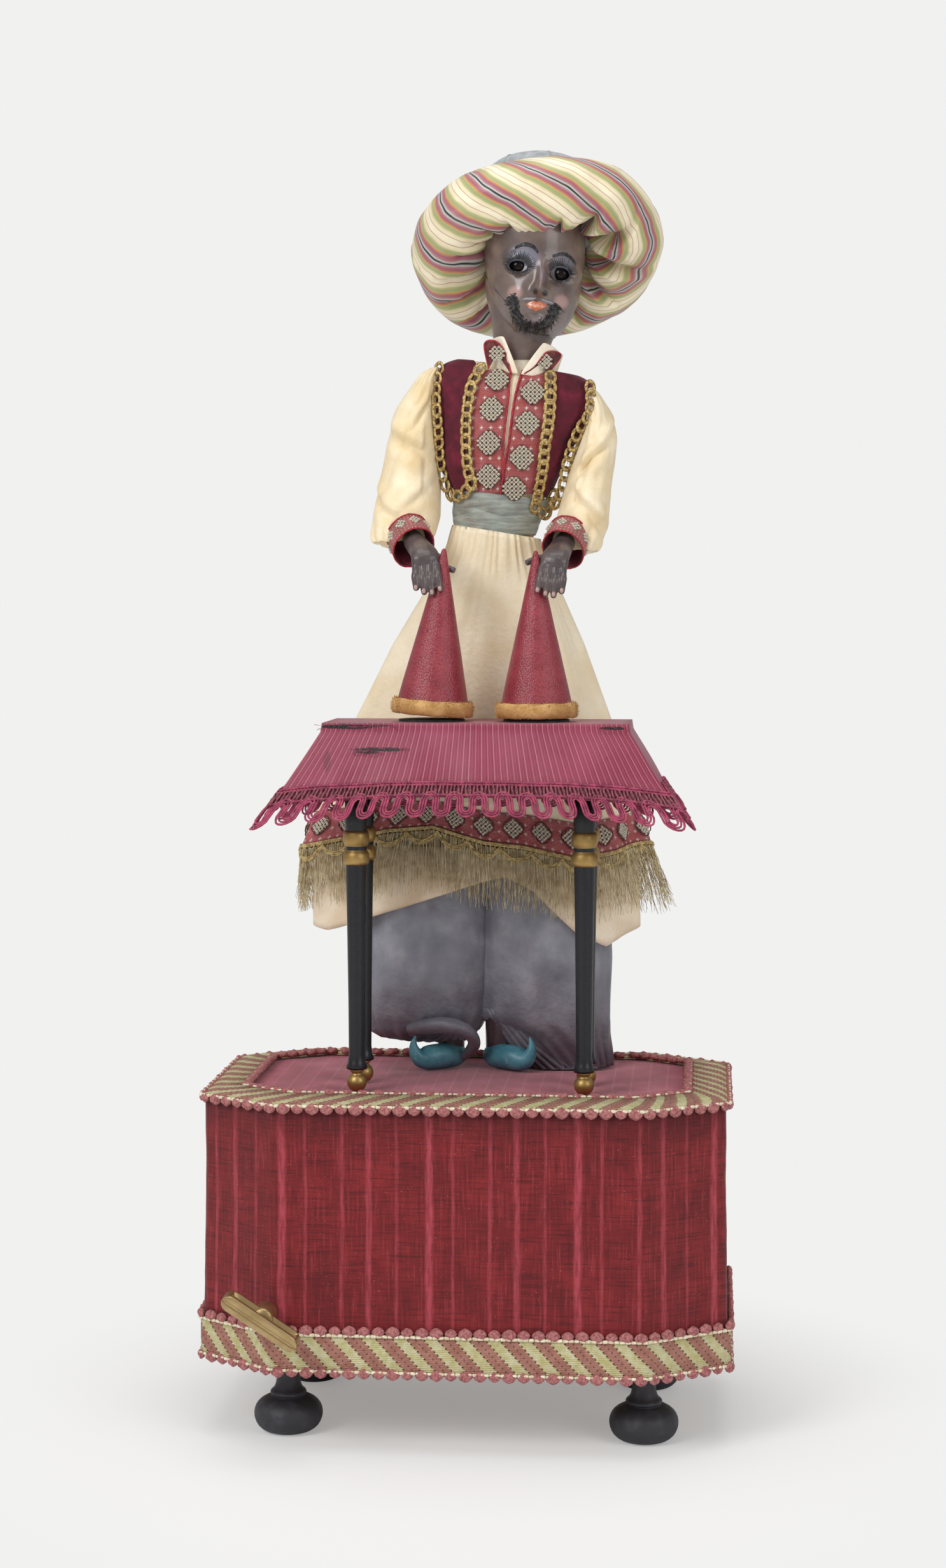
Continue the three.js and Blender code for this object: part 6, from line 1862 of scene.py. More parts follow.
def build_plastron():
    brocade = rose_brocade("plastron_brocade", "ac504c", "e2d8cb", 6.6)
    red = thread_finish("red_edge", "c03a44", "8e222e", size=1.5)
    edges = []
    for side, name in SIDE_NAMES.items():
        rows = plastron_rows(side)
        band = surface(f"plastron_band_{name}", rows, closed=False, flip=side < 0)
        finish(band, brocade, "root", ["plastron"], "brocade", wall=0.8, levels=1)
        for start in BOTH_WAYS:
            phases = [i * 1.5 + start for i in range(len(rows))]
            twists = [mm(0.3 * math.cos(phase), -0.7 + 0.3 * math.sin(phase), 0) for phase in phases]
            edges.append([row[0] + twist for row, twist in zip(rows, twists)])
    threads("plastron_edges", edges, PLASTRON.edge, red, "root")
    rows = []
    for z in blends(SHIRT.bottom, SHIRT.top, SHIRT.rows):
        slit = at_height(BAND_INNER, z)
        pleats = [
            (slit + k * SHIRT.spacing, SHIRT.lift + SHIRT.pleat * math.cos(k * 2.2)) for k in range(-5, 6)
        ]
        rows.append([front_spot(x, z, lift) for x, lift in pleats])
    shirt = surface("shirt_front", rows, closed=False)
    cream = cream_satin("shirt_cream", "fbf1dc", "e6d3b0", 0.5)
    finish(shirt, cream, "root", ["plastron"], "cream_satin", wall=0.4)
    beads, rings = [], []
    for x, z in MEDALLIONS:
        place = front_frame(x, z, PLASTRON.lift + 0.9)
        beads += silver_beads(*place, PLASTRON.medallion)
        rings.append(ring_line(*place, PLASTRON.medallion, lift=0.6))
    repeats("plastron_medallions", bead_part(), beads, bpy.data.materials["silver_weave"], "root")
    outline = bpy.data.materials["medallion_outline"]
    threads("plastron_medallion_edges", rings, 0.4, outline, "root", sides=4)


COLLAR = Sizes(low=676, high=694.5, rows=11, columns=29, radius=21.5, spread=3.2, part=0.02, flat=0.95)
# Corners of each lapel: x, z and how far out
LAPELS = {
    -1: [(8.3, 680.4, 3.5), (5.8, 696.0, 8), (14.0, 697.0, 8), (20.6, 687.0, 5.5), (22.9, 676.5, 4.0)],
    1: [(45.4, 675.5, 4.0), (54.8, 688.8, 9), (46.5, 690.5, 9), (39.0, 682.5, 7), (31.6, 676.5, 4.2)],
}
LAPEL = Sizes(body_top=681, hub=2.6, puff=1.2, edge=0.62, medallion=5.6)


def collar_rows(side):
    rows = []
    for share in blends(0, 1, COLLAR.rows):
        z = blend(COLLAR.low, COLLAR.high, share)
        row = []
        for k in range(COLLAR.columns + 1):
            turn = FRONT + side * blend(COLLAR.part + 0.5 * share, math.pi + 0.1, k / COLLAR.columns)
            front = 1 - smooth(k / 9)
            radius = COLLAR.radius + COLLAR.spread * share + 1.5 * front * share
            lift = 4.0 * front * share - 3 * share * smooth((k - 18) / 10)
            x, y = radius * math.cos(turn), radius * COLLAR.flat * math.sin(turn)
            row.append(at(spine_x(z) + 2 + x, DOLL.y + y, z + lift - slope_share(z) * x))
        rows.append(row)
    return rows


def lapel_outline(side):
    corners = []
    for x, z, lift in LAPELS[side]:
        above = max(z - LAPEL.body_top, 0)
        corners.append(front_spot(x, min(z, LAPEL.body_top), lift) + UP * above * MM)
    return curve_through(corners, 8)


def build_collar():
    """The standing collar, and lapels turned outwards as small wings lined with brocade."""
    cream = cream_satin("collar_cream", "faf0dc", "e8d8ba", 0.5)
    lining = thread_finish("lapel_brocade", "7e3a38", "4a1c20", size=3)
    edges, beads = [], []
    for side, name in SIDE_NAMES.items():
        stand = surface(f"collar_stand_{name}", collar_rows(side), closed=False, flip=side < 0)
        finish(stand, cream, "root", ["collar"], "cream_satin", wall=0.9, levels=1)
        outer = lapel_outline(side)
        middle = sum(outer, Vector()) / len(outer)
        hub = middle - AHEAD * LAPEL.hub * MM
        rows = []
        for share in (0.04, 0.35, 0.7, 1.0):
            rows.append(
                [hub.lerp(point, share) + AHEAD * LAPEL.puff * math.sin(share * 3) * MM for point in outer]
            )
        lapel = surface(f"lapel_{name}", rows, closed=False)
        finish(lapel, lining, "root", ["collar"], "brocade", wall=0.8, levels=1)
        edges.append(outer)
        beads += silver_beads(middle + AHEAD * MM, RIGHT, UP, AHEAD, LAPEL.medallion)
    threads("lapel_edges", edges, LAPEL.edge, bpy.data.materials["red_edge"], "root")
    repeats("lapel_medallions", bead_part(), beads, bpy.data.materials["silver_weave"], "root")


# The arms: sleeves, cuffs and hands
SLEEVE = Sizes(depth=44, rows=43, around=72, ease=0.25, tuck=9, gathers=17, narrow=1.05)
# Each sleeve from the shoulder down: height, inner side, outer side, depth share, how far forward as a share
SLEEVE_LINES = {
    "left": [
        (682, -25.5, -29, 0.4, 0), (678, -25.5, -37, 0.56, 0), (668, -25.5, -45.5, 0.74, 0),
        (655, -26, -53.5, 0.86, 0),
        (640, -26.5, -57, 0.94, 0.01), (622, -26, -61, 1, 0.06), (603, -25, -64.7, 1, 0.18),
        (585, -24.5, -67.5, 0.97, 0.36), (573, -27, -68, 0.88, 0.54), (567, -31, -66, 0.78, 0.66),
    ],
    "right": [
        (668, 72, 75, 0.4, 0), (664, 72, 79, 0.56, 0), (655, 72, 84.5, 0.74, 0),
        (645, 70.5, 88.3, 0.86, 0.02),
        (633, 67, 89.2, 0.94, 0.05), (618, 62.5, 88.8, 1, 0.12), (600, 57.5, 88, 1, 0.24),
        (582, 53, 85.5, 0.97, 0.42), (568, 50.5, 81.5, 0.88, 0.58), (561, 51.5, 78, 0.78, 0.68),
    ],
}
# Deep creases of each sleeve: turn in degrees, how far down, slope, width, depth and how far round they reach
CREASES = {
    "left": [(275, 0.46, 0.07, 0.03, 4.6, 1.1), (228, 0.8, 0.12, 0.026, 3.4, 0.7),
             (300, 0.22, -0.28, 0.03, 3.0, 0.6), (310, 0.7, -0.16, 0.03, 3.0, 0.7)],
    "right": [(292, 0.38, -0.14, 0.03, 4.6, 1.0), (272, 0.73, 0.12, 0.03, 4.4, 0.9),
              (232, 0.56, -0.22, 0.028, 3.2, 0.6), (318, 0.84, 0.1, 0.026, 3.0, 0.6)],
}
ARMS = {
    "left": Sizes(out=-1, cuff_out=26, seed=2.0, lean=1, thumb_drop=13),
    "right": Sizes(out=1, cuff_out=17, seed=9.0, lean=-1, thumb_drop=7),
}
CUFF = Sizes(
    inner=10.5, forward=38, rise=6, around=48, edge=0.55, medallion=4.6, medallion_x=12.9, medallion_z=14.8
)
# Along the cuff and its radius, out of the lining and back over the brocade; the fold is shared by both
CUFF_STATIONS = [
    (-9.6, 6.2), (-9, 10.2), (-2, 11.0), (5, 12.6), (7.5, 13.6), (7.8, 14.6), (5, 15.2), (-1, 15.0),
    (-7.5, 14.6),
    (-8.3, 13.8),
]
CUFF_FOLD = 5


def arm_places(side):
    """Cone tip, cuff and knuckles of an arm."""
    arm = ARMS[side]
    tip = cone_place(side) @ mm(0, 0, CONE.height)
    cuff = tip + mm(arm.out * arm.cuff_out, DOLL.y - CUFF.forward - CONE.y, CUFF.rise)
    knuckles = tip + mm(arm.out * 11, -2, -9)
    return tip, cuff, knuckles


def crease_depth(side, turn, down):
    """Sharp valleys with a soft shoulder above and below."""
    depth = 0.0
    for place, low, slope, width, deep, reach in CREASES[side]:
        aside = (turn - math.radians(place) + math.pi) % TURN - math.pi
        below = (down - low - slope * aside) / width
        valley = 0.8 * bell((below + 1.8) / 1.5) - bell(below) + 0.4 * bell((below - 2.6) / 2)
        depth += deep * valley * bell(aside / reach)
    return depth


def sleeve_fold(side, turn, down):
    """Big slanting folds of a full sleeve, sharp in the valleys, and small gathers at both ends."""
    arm = ARMS[side]
    level = down * 1.4
    inward = -arm.out * math.cos(turn)
    phase = 1.6 * down + 0.6 * arm.lean * inward + 0.3 * wander_round(turn, level, 0.9, arm.seed) + 0.35
    free = smooth(down * 3) * (1 - 0.6 * smooth(abs(inward) * 3 - 2))
    drape = 2.6 * (abs(math.sin(math.pi * phase)) ** 0.8 - 0.62) * free + crease_depth(side, turn, down)
    small = 1.3 * wander_round(turn, level, 0.3, arm.seed + 5)
    ends = smooth((down - 0.84) / 0.14) + 1 - smooth((down + 0.02) / 0.14)
    fold = drape + small + math.cos(SLEEVE.gathers * turn + arm.seed) * ends
    return fold * (SLEEVE.ease if inward > 0.5 else 1)


def build_sleeve(side, satin):
    _, cuff, knuckles = arm_places(side)
    line = [(-z, *rest) for z, *rest in SLEEVE_LINES[side]]
    rows = []
    for i in range(SLEEVE.rows + 1):
        down = i / SLEEVE.rows
        z = -blend(line[0][0], line[-1][0], down)
        inner, outer, deep, forward = through(line, -z)
        folds = [sleeve_fold(side, turn, down) for turn in ring_turns(SLEEVE.around)]
        halves = (abs(outer - inner) / 2, SLEEVE.depth / 2 * deep)
        rows.append(body_ring((inner + outer) / 2, DOLL.y - CUFF.forward * forward, z, *halves, folds))
    axis = (knuckles - cuff).normalized()
    start = cuff - axis * SLEEVE.tuck * MM
    last = rows[-1]
    centre = sum(last, Vector()) / SLEEVE.around
    for step in (0.35, 0.7, 1.0):
        ring = []
        for k, point in enumerate(last):
            away = (point - centre).normalized()
            flat = (away - axis * away.dot(axis)).normalized()
            goal = start + flat * CUFF.inner * SLEEVE.narrow * MM
            gathers = math.cos(15 * TURN * k / SLEEVE.around) * (1 - step * 0.5)
            ring.append(point.lerp(goal, step) + flat * (2.5 * math.sin(step * math.pi) + 1.1 * gathers) * MM)
        rows.append(ring)
    bag = surface(f"sleeve_bag_{side}", rows, caps=(0,))
    finish(bag, satin, f"{side}_arm", [f"sleeve_{side}"], "cream_satin", wall=0.8, levels=1)


def build_cuff(side, brocade, lining):
    body = f"{side}_arm"
    _, cuff, knuckles = arm_places(side)
    axis = ((knuckles - cuff).normalized() + Vector((-0.12 * ARMS[side].out, 0, -0.42))).normalized()
    right = axis.cross(UP).normalized()
    over = right.cross(axis).normalized()
    rows = []
    for along, radius in CUFF_STATIONS:
        ring = []
        for c, s in circle(CUFF.around):
            wobble = 1 + 0.03 * wander(Vector((c, s, 0)), 0.5, 4)
            spot = right * c * radius * 0.92 + over * s * radius * 1.05
            ring.append(cuff + (axis * along + spot * wobble) * MM)
        rows.append(ring)
    shell = surface(f"cuff_brocade_{side}", rows[CUFF_FOLD:])
    inside = surface(f"cuff_lining_{side}", rows[: CUFF_FOLD + 1])
    for piece, material in ((shell, brocade), (inside, lining)):
        finish(piece, material, body, [f"sleeve_{side}"], "brocade", wall=0.7, levels=1)
    lines = []
    for row in (rows[CUFF_FOLD], rows[-2]):
        for start in BOTH_WAYS:
            line = [p + axis * 0.35 * math.sin(i * 1.3 + start) * MM for i, p in enumerate(row)]
            lines.append(line + line[:1])
    threads(f"cuff_edges_{side}", lines, CUFF.edge, bpy.data.materials["red_edge"], body)
    beads = []
    for c, s in circle(9, math.radians(10)):
        out = right * c + over * s
        middle = cuff + (right * c * CUFF.medallion_x + over * s * CUFF.medallion_z - axis) * MM
        beads += silver_beads(middle, out.cross(axis), axis, out, CUFF.medallion)
    repeats(f"cuff_medallions_{side}", bead_part(), beads, bpy.data.materials["silver_weave"], body)


def melted(name, pieces, voxel=0.6):
    """Limbs melted into one skin."""
    made = bmesh.new()
    for piece in pieces:
        made.from_mesh(piece.data)
        bpy.data.objects.remove(piece)
    mesh = bpy.data.meshes.new(name)
    made.to_mesh(mesh)
    made.free()
    skin = placed(name, mesh)
    remesh = skin.modifiers.new("melt", "REMESH")
    remesh.mode = "VOXEL"
    remesh.voxel_size = voxel * MM
    soften = skin.modifiers.new("soften", "SMOOTH")
    soften.factor = 0.6
    soften.iterations = 4
    graph = bpy.context.evaluated_depsgraph_get()
    skin.data = bpy.data.meshes.new_from_object(skin.evaluated_get(graph))
    skin.modifiers.clear()
    return skin


# Fingers across the palm: place in finger widths, and length as a share
FINGERS = [(-1.5, 0.86), (-0.5, 1.0), (0.5, 1.04), (1.5, 0.9)]
FINGER = Sizes(length=19, palm_pitch=3.9, root_pitch=4.3, steps=5, sides=10)
PALM_SIDES = 14
NAIL = Sizes(wide=1.75, long=1.25, sides=12)


def finger_limb(side, number, palm, knuckles):
    """A finger bent over the cone, and the place of its nail."""
    arm = ARMS[side]
    pitch, length = FINGERS[number][0], FINGER.length * FINGERS[number][1]
    start = palm + mm(pitch * FINGER.palm_pitch, -2.0, -3)
    root = knuckles + mm(pitch * FINGER.root_pitch, -1.5, -2)
    bend = root + mm(-arm.out * 0.6 + pitch * 0.5, -4.2, -length * 0.42)
    end = bend + mm(-arm.out * 1.2 + pitch * 0.3, -1.2, -length * 0.5)
    places = [start, root, root.lerp(bend, 0.55), bend, bend.lerp(end, 0.55), end, end + (end - bend) * 0.1]
    radii = (2.7, 2.8, 2.4, 2.6, 2.2, 1.8, 0.6)
    spots = [(place, radius, radius) for place, radius in zip(places, radii)]
    nail = (bend.lerp(end, 0.86) + mm(0, -1.75, 0.3), (end - bend).normalized(), Vector((0, -1, 0.1)), 1.0)
    return limb(f"finger_{side}_{number}", spots, FINGER.steps, FINGER.sides), nail


def build_hand(side, skin, nail_paint):
    arm = ARMS[side]
    tip, cuff, knuckles = arm_places(side)
    wrist, palm = cuff + mm(0, 6, 2), knuckles + mm(arm.out * 1.5, 3, 5)
    spots = [(wrist + mm(0, 14, 3), 6.5, 6.5), (wrist, 6.6, 6.6), (wrist.lerp(palm, 0.5), 7.8, 6.4)]
    spots += [(palm, 9.2, 5.0), (knuckles + mm(0, 0, -1), 9.0, 4.2)]
    pieces, nails = [limb(f"palm_{side}", spots, FINGER.steps, PALM_SIDES)], []
    for number in range(len(FINGERS)):
        finger, nail = finger_limb(side, number, palm, knuckles)
        pieces.append(finger)
        nails.append(nail)
    thumb = [(palm, 3.6, 3.6), (palm + mm(-arm.out * 8.0, 4, -2), 3.2, 3.2)]
    thumb.append((tip + mm(arm.out * 1.5, 5.5, 2 - arm.thumb_drop), 2.6, 2.6))
    thumb.append((tip + mm(-arm.out * 6.5, 3.0, -1 - arm.thumb_drop), 2.0, 2.0))
    pieces.append(limb(f"thumb_{side}", thumb, FINGER.steps, FINGER.sides))
    hand = melted(f"painted_hand_{side}", pieces)
    finish(hand, skin, f"{side}_arm", [f"hand_{side}"], "painted_skin")
    rows = []
    for share, lift in ((1.0, -0.3), (0.95, 0.15), (0.6, 0.4), (0.05, 0.5)):
        rows.append([mm(NAIL.wide * share * c, NAIL.long * share * s, lift) for c, s in circle(NAIL.sides)])
    repeats(f"nails_{side}", small_part("nail", rows), nails, nail_paint, f"{side}_arm")


def build_arms():
    satin = cream_satin("cream_sleeve", "f7e8c8", "e3c998", 0.36)
    brocade = rose_brocade("cuff_brocade", "9a5a52", "c9c4b8", 2.6)
    lining = thread_finish("cuff_lining", "6b1426", "3f0c18", size=4)
    skin = painted_skin("painted_hand", "5c4e4c", "3e3336")
    nail_paint = gloss("nail_paint", "a8867e", 0.35)
    for side in ARMS:
        build_sleeve(side, satin)
        build_cuff(side, brocade, lining)
        build_hand(side, skin, nail_paint)


build_torso()
build_vest()
build_plastron()
build_collar()
build_arms()


# The head with its painted face
HEAD = Sizes(x=27.2, y=40, chin=704, height=96, width=67.5, depth=76, rows=96, around=128)
HEAD_TILT = Matrix.Rotation(math.radians(8), 3, "Y")
# Shares of the head's height, width, and depth in front and behind
HEAD_SHARES = [
    (0, 0.38, 0.66, 0.05), (0.05, 0.56, 0.85, 0.2), (0.14, 0.74, 0.93, 0.45), (0.26, 0.87, 0.97, 0.7),
    (0.4, 0.94, 0.98, 0.9), (0.52, 0.98, 0.95, 1), (0.66, 1, 0.97, 1.02), (0.8, 0.96, 0.92, 1),
    (0.92, 0.76, 0.7, 0.8), (1, 0.36, 0.34, 0.4),
]
# The face is turned a little to one side: how far its middle line lies from the head's, by height
FACE_TURN = [(0, 14.6), (7, 14.6), (16, 12.3), (24.5, 13.0), (38, 12.0), (52, 10.0), (96, 6.0)]
# How far across the middle of the skull lies, by height: the head leans less than the eyes
HEAD_MIDDLE = [(0, 9.0), (25, 5.8), (42, 3.4), (60, 1.0), (96, -2.0)]
# The neck widens into the jaw: height, middle, half width, half depth
NECK_RINGS = [
    (681, 27.5, 17.2, 16.5), (690, 28.5, 17.8, 16.5), (697, 28.5, 18.6, 17), (704, 30, 20.6, 18),
    (712, 32, 23.4, 20),
    (721, 33.6, 27, 23), (730, 34.6, 30, 26), (740, 35.2, 31, 28),
]
NECK = Sizes(rows=16, around=56, back=3)
NOSE_LINE = [(20.5, 0), (22.5, 3.5), (24.5, 9), (27, 11), (30, 9.6), (36, 5.2), (42, 2.6), (50, 0)]
# Nostrils, cheeks, mouth, chin and brows: how far out, across from the middle line, up, and half sizes
FACE_MOUNDS = [
    (2.4, 4.3, 25.0, 2.0, 2.4), (-2.0, 3.1, 23.6, 1.1, 1.1), (1.8, 15, 22, 7, 7), (1.6, 0, 16.2, 8, 4.5),
    (3.2, 0, 6.6, 7.5, 5), (-1.2, 0, 11.5, 8, 1.8), (1.2, 13, 47, 8, 3),
]
EYE = Sizes(radius=6.2, hollow=3.0, hollow_width=8.5, hollow_height=6.5, half_width=5.9, clear=0.9)
# Across, up and forward of each eye in the head's frame, and half the height of its opening
EYE_PLACES = {"left": (-4.2, 39.8, 10.4, 3.7), "right": (23.1, 38.8, 14.9, 4.4)}


def smooth_through(table, place):
    """A softly curved reading of a table."""
    step = (table[-1][0] - table[0][0]) * 0.025
    near = [through(table, place + offset) for offset in (-step, 0, step)]
    return [sum(values) / 3 for values in zip(*near)]


def mound(u, h, at_u, at_h, size_u, size_h):
    return math.exp(-(((u - at_u) / size_u) ** 2) - ((h - at_h) / size_h) ** 2)


def face_relief(u, h):
    """How far the face stands out from the head's plain round shape."""
    relief = 0.0
    for eye_u, eye_h, _, _ in EYE_PLACES.values():
        relief -= EYE.hollow * mound(u, h, eye_u, eye_h, EYE.hollow_width, EYE.hollow_height)
    u -= through(FACE_TURN, h)[0]
    relief += through(NOSE_LINE, h)[0] * bell(u / blend(2.6, 4.0, smooth((33 - h) / 8)))
    return relief + sum(out * mound(abs(u), h, *place) for out, *place in FACE_MOUNDS)


def from_head(u, y, h):
    """A place in the head's own frame, its chin at the origin, in the room."""
    spot = HEAD_TILT @ Vector((u, 0, h))
    return at(HEAD.x + spot.x, y, HEAD.chin + spot.z)


def head_halves(turn, h):
    wide, front, back = smooth_through(HEAD_SHARES, h / HEAD.height)
    return wide * HEAD.width / 2, (front if math.sin(turn) < 0 else back) * HEAD.depth / 2


def head_point(turn, h):
    wide, deep = head_halves(turn, h)
    u = through(HEAD_MIDDLE, h)[0] + wide * math.cos(turn)
    relief = face_relief(u, h) * smooth(-math.sin(turn) * 1.6)
    return from_head(u, HEAD.y + deep * math.sin(turn) - relief, h)


def face_spot(u, h, lift=0.0):
    """A place on the front of the face."""
    wide, front = head_halves(FRONT, h)
    share = min(max((u - through(HEAD_MIDDLE, h)[0]) / wide, -0.97), 0.97)
    deep = front * math.sqrt(1 - share * share)
    return from_head(u, HEAD.y - deep - face_relief(u, h) - lift, h)


# The beard's middle line on the face, and the brows, as places across and up from the chin
BEARD = [
    (-5.6, 20), (-3, 16.8), (-1.8, 11.5), (1.2, 6.6), (6, 3.2), (12, 2.6), (16.6, 5), (19.6, 9.6), (21.2, 15),
    (22.6, 19),
]
BROWS = [
    [(-7.8, 50.7), (-2.2, 53.4), (3.7, 52.7), (7.4, 49.6)],
    [(16.9, 48.8), (23.3, 51.5), (27.8, 50.4), (31.4, 47.2)]
]
# Soft touches of paint and of painted light and shade, one over the other: places across and up with half
# sizes, colour and strength. The grey-blue lids, the nostrils and the beard's ground are the doll's own
# paint; the dark round the eyes is painted shade in their hollows; the pink on the cheeks and the lighter
# touches on the bridge of the nose and on the chin are painted highlights.
FACE_PAINT_AND_LIGHT = [
    ([(-1.6, 44.5, 14.5, 12), (24.0, 43.6, 12.5, 12)], "7c7e8f", 0.9),
    ([(-4.2, 38.4, 9, 6.5), (23.1, 37.4, 9, 6.5)], "30282c", 0.6),
    ([(-4.2, 22.6, 7, 6), (26.2, 21.4, 7, 6)], "b8938e", 0.8),
    ([(12.6, 35, 3.4, 7), (14.6, 7.2, 7.5, 5)], "85757c", 0.6),
    ([(9.6, 24.4, 2.6, 2.5), (15.8, 24.2, 2.6, 2.5)], "060303", 1.0),
    ([(u, h + 0.3, 3.4, 3.4) for u, h in BEARD[1:-1]], "1a161d", 0.95),
]
TOUCH_DEPTH = 14


def face_paint():
    made = Finish("face_paint", Coat_Weight=0.55, Coat_Roughness=0.16)
    tone = made.ramp(made.grain(15, detail=6), [(0.33, "584843"), (0.66, "7a675f")])
    for spots, code, strength in FACE_PAINT_AND_LIGHT:
        for u, h, wide, tall in spots:
            far = made.far_from(face_spot(u, h), (wide, TOUCH_DEPTH, tall))
            tone = made.mix(made.ramp(far, [(0.35, strength), (1.0, 0.0)], "EASE"), tone, code)
    made.colour(tone)
    made.rough(made.grain(6, detail=3), 0.3, 0.46)
    return made.bump(made.grain(1.8, detail=4), 0.06).material


def stroke(u, h, way, length, lift=0.25, bend=0.0, steps=4):
    """A tapered paint stroke on the face."""
    line = []
    for k in range(steps + 1):
        share = k / steps
        angle = way + bend * share
        line.append((face_spot(u, h, lift), 1.1 - 0.85 * share))
        u += math.cos(angle) * length / steps
        h += math.sin(angle) * length / steps
    return line


def build_beard(rng, strokes_at_step=5):
    """Short strokes that fan out from the middle of the chin."""
    strokes = []
    line = curve_through([Vector((u, h, 0)) for u, h in BEARD], 14)
    for first, second in zip(line, line[1:]):
        way = (second - first).normalized()
        for _ in range(strokes_at_step):
            aside = rng.gauss(0, 1.5)
            u, h = first.x - way.y * aside, first.y + way.x * aside
            outward = math.atan2(h - 14, u - 12) + rng.gauss(0, 0.25) + (0.5 if u < 12 else -0.5)
            strokes.append(stroke(u, max(h, 0.2), outward, rng.uniform(2.0, 3.6), bend=rng.gauss(0, 0.3)))
    threads("painted_beard", strokes, 0.36, gloss("beard_black", "151214", 0.45), "head", sides=4)
    sideburns = [
        stroke(-19 + 0.75 * k, 26 - 0.8 * k, math.radians(285 + 4 * k), 4.2, bend=0.5) for k in range(15)
    ]
    threads("painted_sideburns", sideburns, 0.14, gloss("sideburn_grey", "5a5058", 0.45), "head", sides=4)


def build_moustache(count=12):
    strokes = []
    for side in (-1, 1):
        for k in range(count + 1):
            share = k / count
            u, h = 11.8 + side * (1.4 + 0.5 * k), 20.8 - 0.8 * share
            way = math.radians(90 + side * (20 * share - 128))
            strokes.append(stroke(u, h, way, 2.8 + 1.5 * share, lift=0.35, bend=-side * 0.35))
    threads("painted_moustache", strokes, 0.26, gloss("moustache_grey", "9f9da6", 0.4), "head", sides=4)


def build_brows(black):
    lines = []
    for brow in BROWS:
        points = curve_through([Vector((u, h, 0)) for u, h in brow], 8)
        swells = [0.45 + 0.75 * math.sin(math.pi * i / (len(points) - 1)) for i in range(len(points))]
        for shift in (-0.5, -0.1, 0.3, 0.7):
            lines.append([(face_spot(p.x, p.y + shift, 0.25), swell) for p, swell in zip(points, swells)])
    threads("painted_brows", lines, 0.5, black, "head", sides=4)


LIPS = Sizes(u=10.9, h=16.6, half=6.7, upper=2.6, lower=3.7, full=2.0, crease=0.9, rows=12, columns=32)


def lip_spot(s, t):
    """A place on the lips: s from corner to corner and t from top to bottom, both from -1 to 1."""
    arch = 1 - s * s
    top = LIPS.upper * arch * (1 - 0.3 * bell(s / 0.16))
    low = -LIPS.lower * max(arch, 0) ** 0.9 * (1 + 0.12 * math.cos(s * 9))
    h = LIPS.h + (top * t if t > 0 else -low * t) + 0.5 * s
    full = LIPS.full * max(arch, 0) ** 0.5 * max(1 - t * t, 0) ** 0.5
    crease = LIPS.crease * bell((t - 0.12) / 0.12) * arch
    return face_spot(LIPS.u + LIPS.half * s, h, 0.1 + full - crease)


def build_lips():
    coral = Finish("lip_coral", Roughness=0.2, Coat_Weight=0.6, Coat_Roughness=0.1)
    # Painted highlights: the coral goes near white in patches.
    coral.colour(coral.mix(coral.patches(2.2, 0.5, 0.7, most=0.8), "cf7350", "f6d3bf"))
    ways = [-1 + 2 * k / LIPS.columns for k in range(LIPS.columns + 1)]
    rows = [[lip_spot(s, 1 - 2 * i / LIPS.rows) for s in ways] for i in range(LIPS.rows + 1)]
    finish(surface("painted_lips", rows, closed=False, flip=True), coral.material, "head", levels=1)


LID = Sizes(around=48, upper=5.4, lower=3.6, rise=6.0, tall=2.6, low=0.4, curve=0.45, lashes=46, edge_row=2)
# Rows of a lid, from under its edge out to the face: share of the way, and how far it stands out
LID_ROWS = ((-0.05, -1.6), (0.0, 0.2), (0.06, 1.0), (0.2, 1.7), (0.45, 2.2), (0.75, 1.4), (1.0, -0.3))


def lid_spot(eye, c, s, share, lift):
    eye_u, eye_h, eye_y, tall = eye
    wide = EYE.half_width + (LID.upper if s > 0 else LID.lower) * share
    high = tall + (LID.tall + LID.rise * max(s, 0)) * share
    u, h = eye_u + wide * c, eye_h - LID.low + high * s
    bulge = EYE.radius + EYE.clear - LID.curve * ((u - eye_u) ** 2 + (h - eye_h) ** 2) / 12
    spot = from_head(u, eye_y - bulge, h)
    if share > 0:
        spot = spot.lerp(face_spot(u, h), smooth(share))
    return spot + AHEAD * lift * MM


def lid_lashes(rng, edge_row):
    lashes = []
    for k in range(LID.lashes):
        angle = TURN * k / LID.lashes + rng.uniform(-0.05, 0.05)
        c, s = math.cos(angle), math.sin(angle)
        length = (4.2 if s > 0 else 2.0) * rng.uniform(0.8, 1.15)
        lean, curl = Vector((c, -0.6, s)), Vector((0.35 * c, -0.1, 0.5 * s))
        edge = edge_row[int(k * LID.around / LID.lashes) % LID.around] + AHEAD * 0.5 * MM
        tip = edge + (lean + curl * 0.4) * length * MM
        lashes.append([(edge, 1.0), (edge + lean * length * 0.5 * MM, 0.8), (tip, 0.4)])
    return lashes


def build_eyes(rng, skin, black):
    glass = Finish("eye_glass", Roughness=0.05, Specular_IOR_Level=0.18)
    glass.colour(glass.ramp(glass.grain(4), [(0.4, "0b0908"), (0.7, "1d1512")]))
    lashes = []
    for name, eye in EYE_PLACES.items():
        middle = from_head(eye[0], eye[2], eye[1])
        rings = []
        for i in range(21):
            angle = math.pi * (i / 20 - 0.5)
            wide = max(math.cos(angle), 0.004) * EYE.radius
            rings.append(
                [middle + mm(wide * c, wide * s, EYE.radius * math.sin(angle)) for c, s in circle(40)]
            )
        finish(solid(f"glass_eye_{name}", rings), glass.material, "head", [f"eye_{name}"], "eye_glass")
        rows = [[lid_spot(eye, c, s, *level) for c, s in circle(LID.around)] for level in LID_ROWS]
        finish(surface(f"painted_lid_{name}", rows, flip=True), skin, "head", levels=1)
        lashes += lid_lashes(rng, rows[LID.edge_row])
    threads("painted_lashes", lashes, 0.46, black, "head", sides=4)


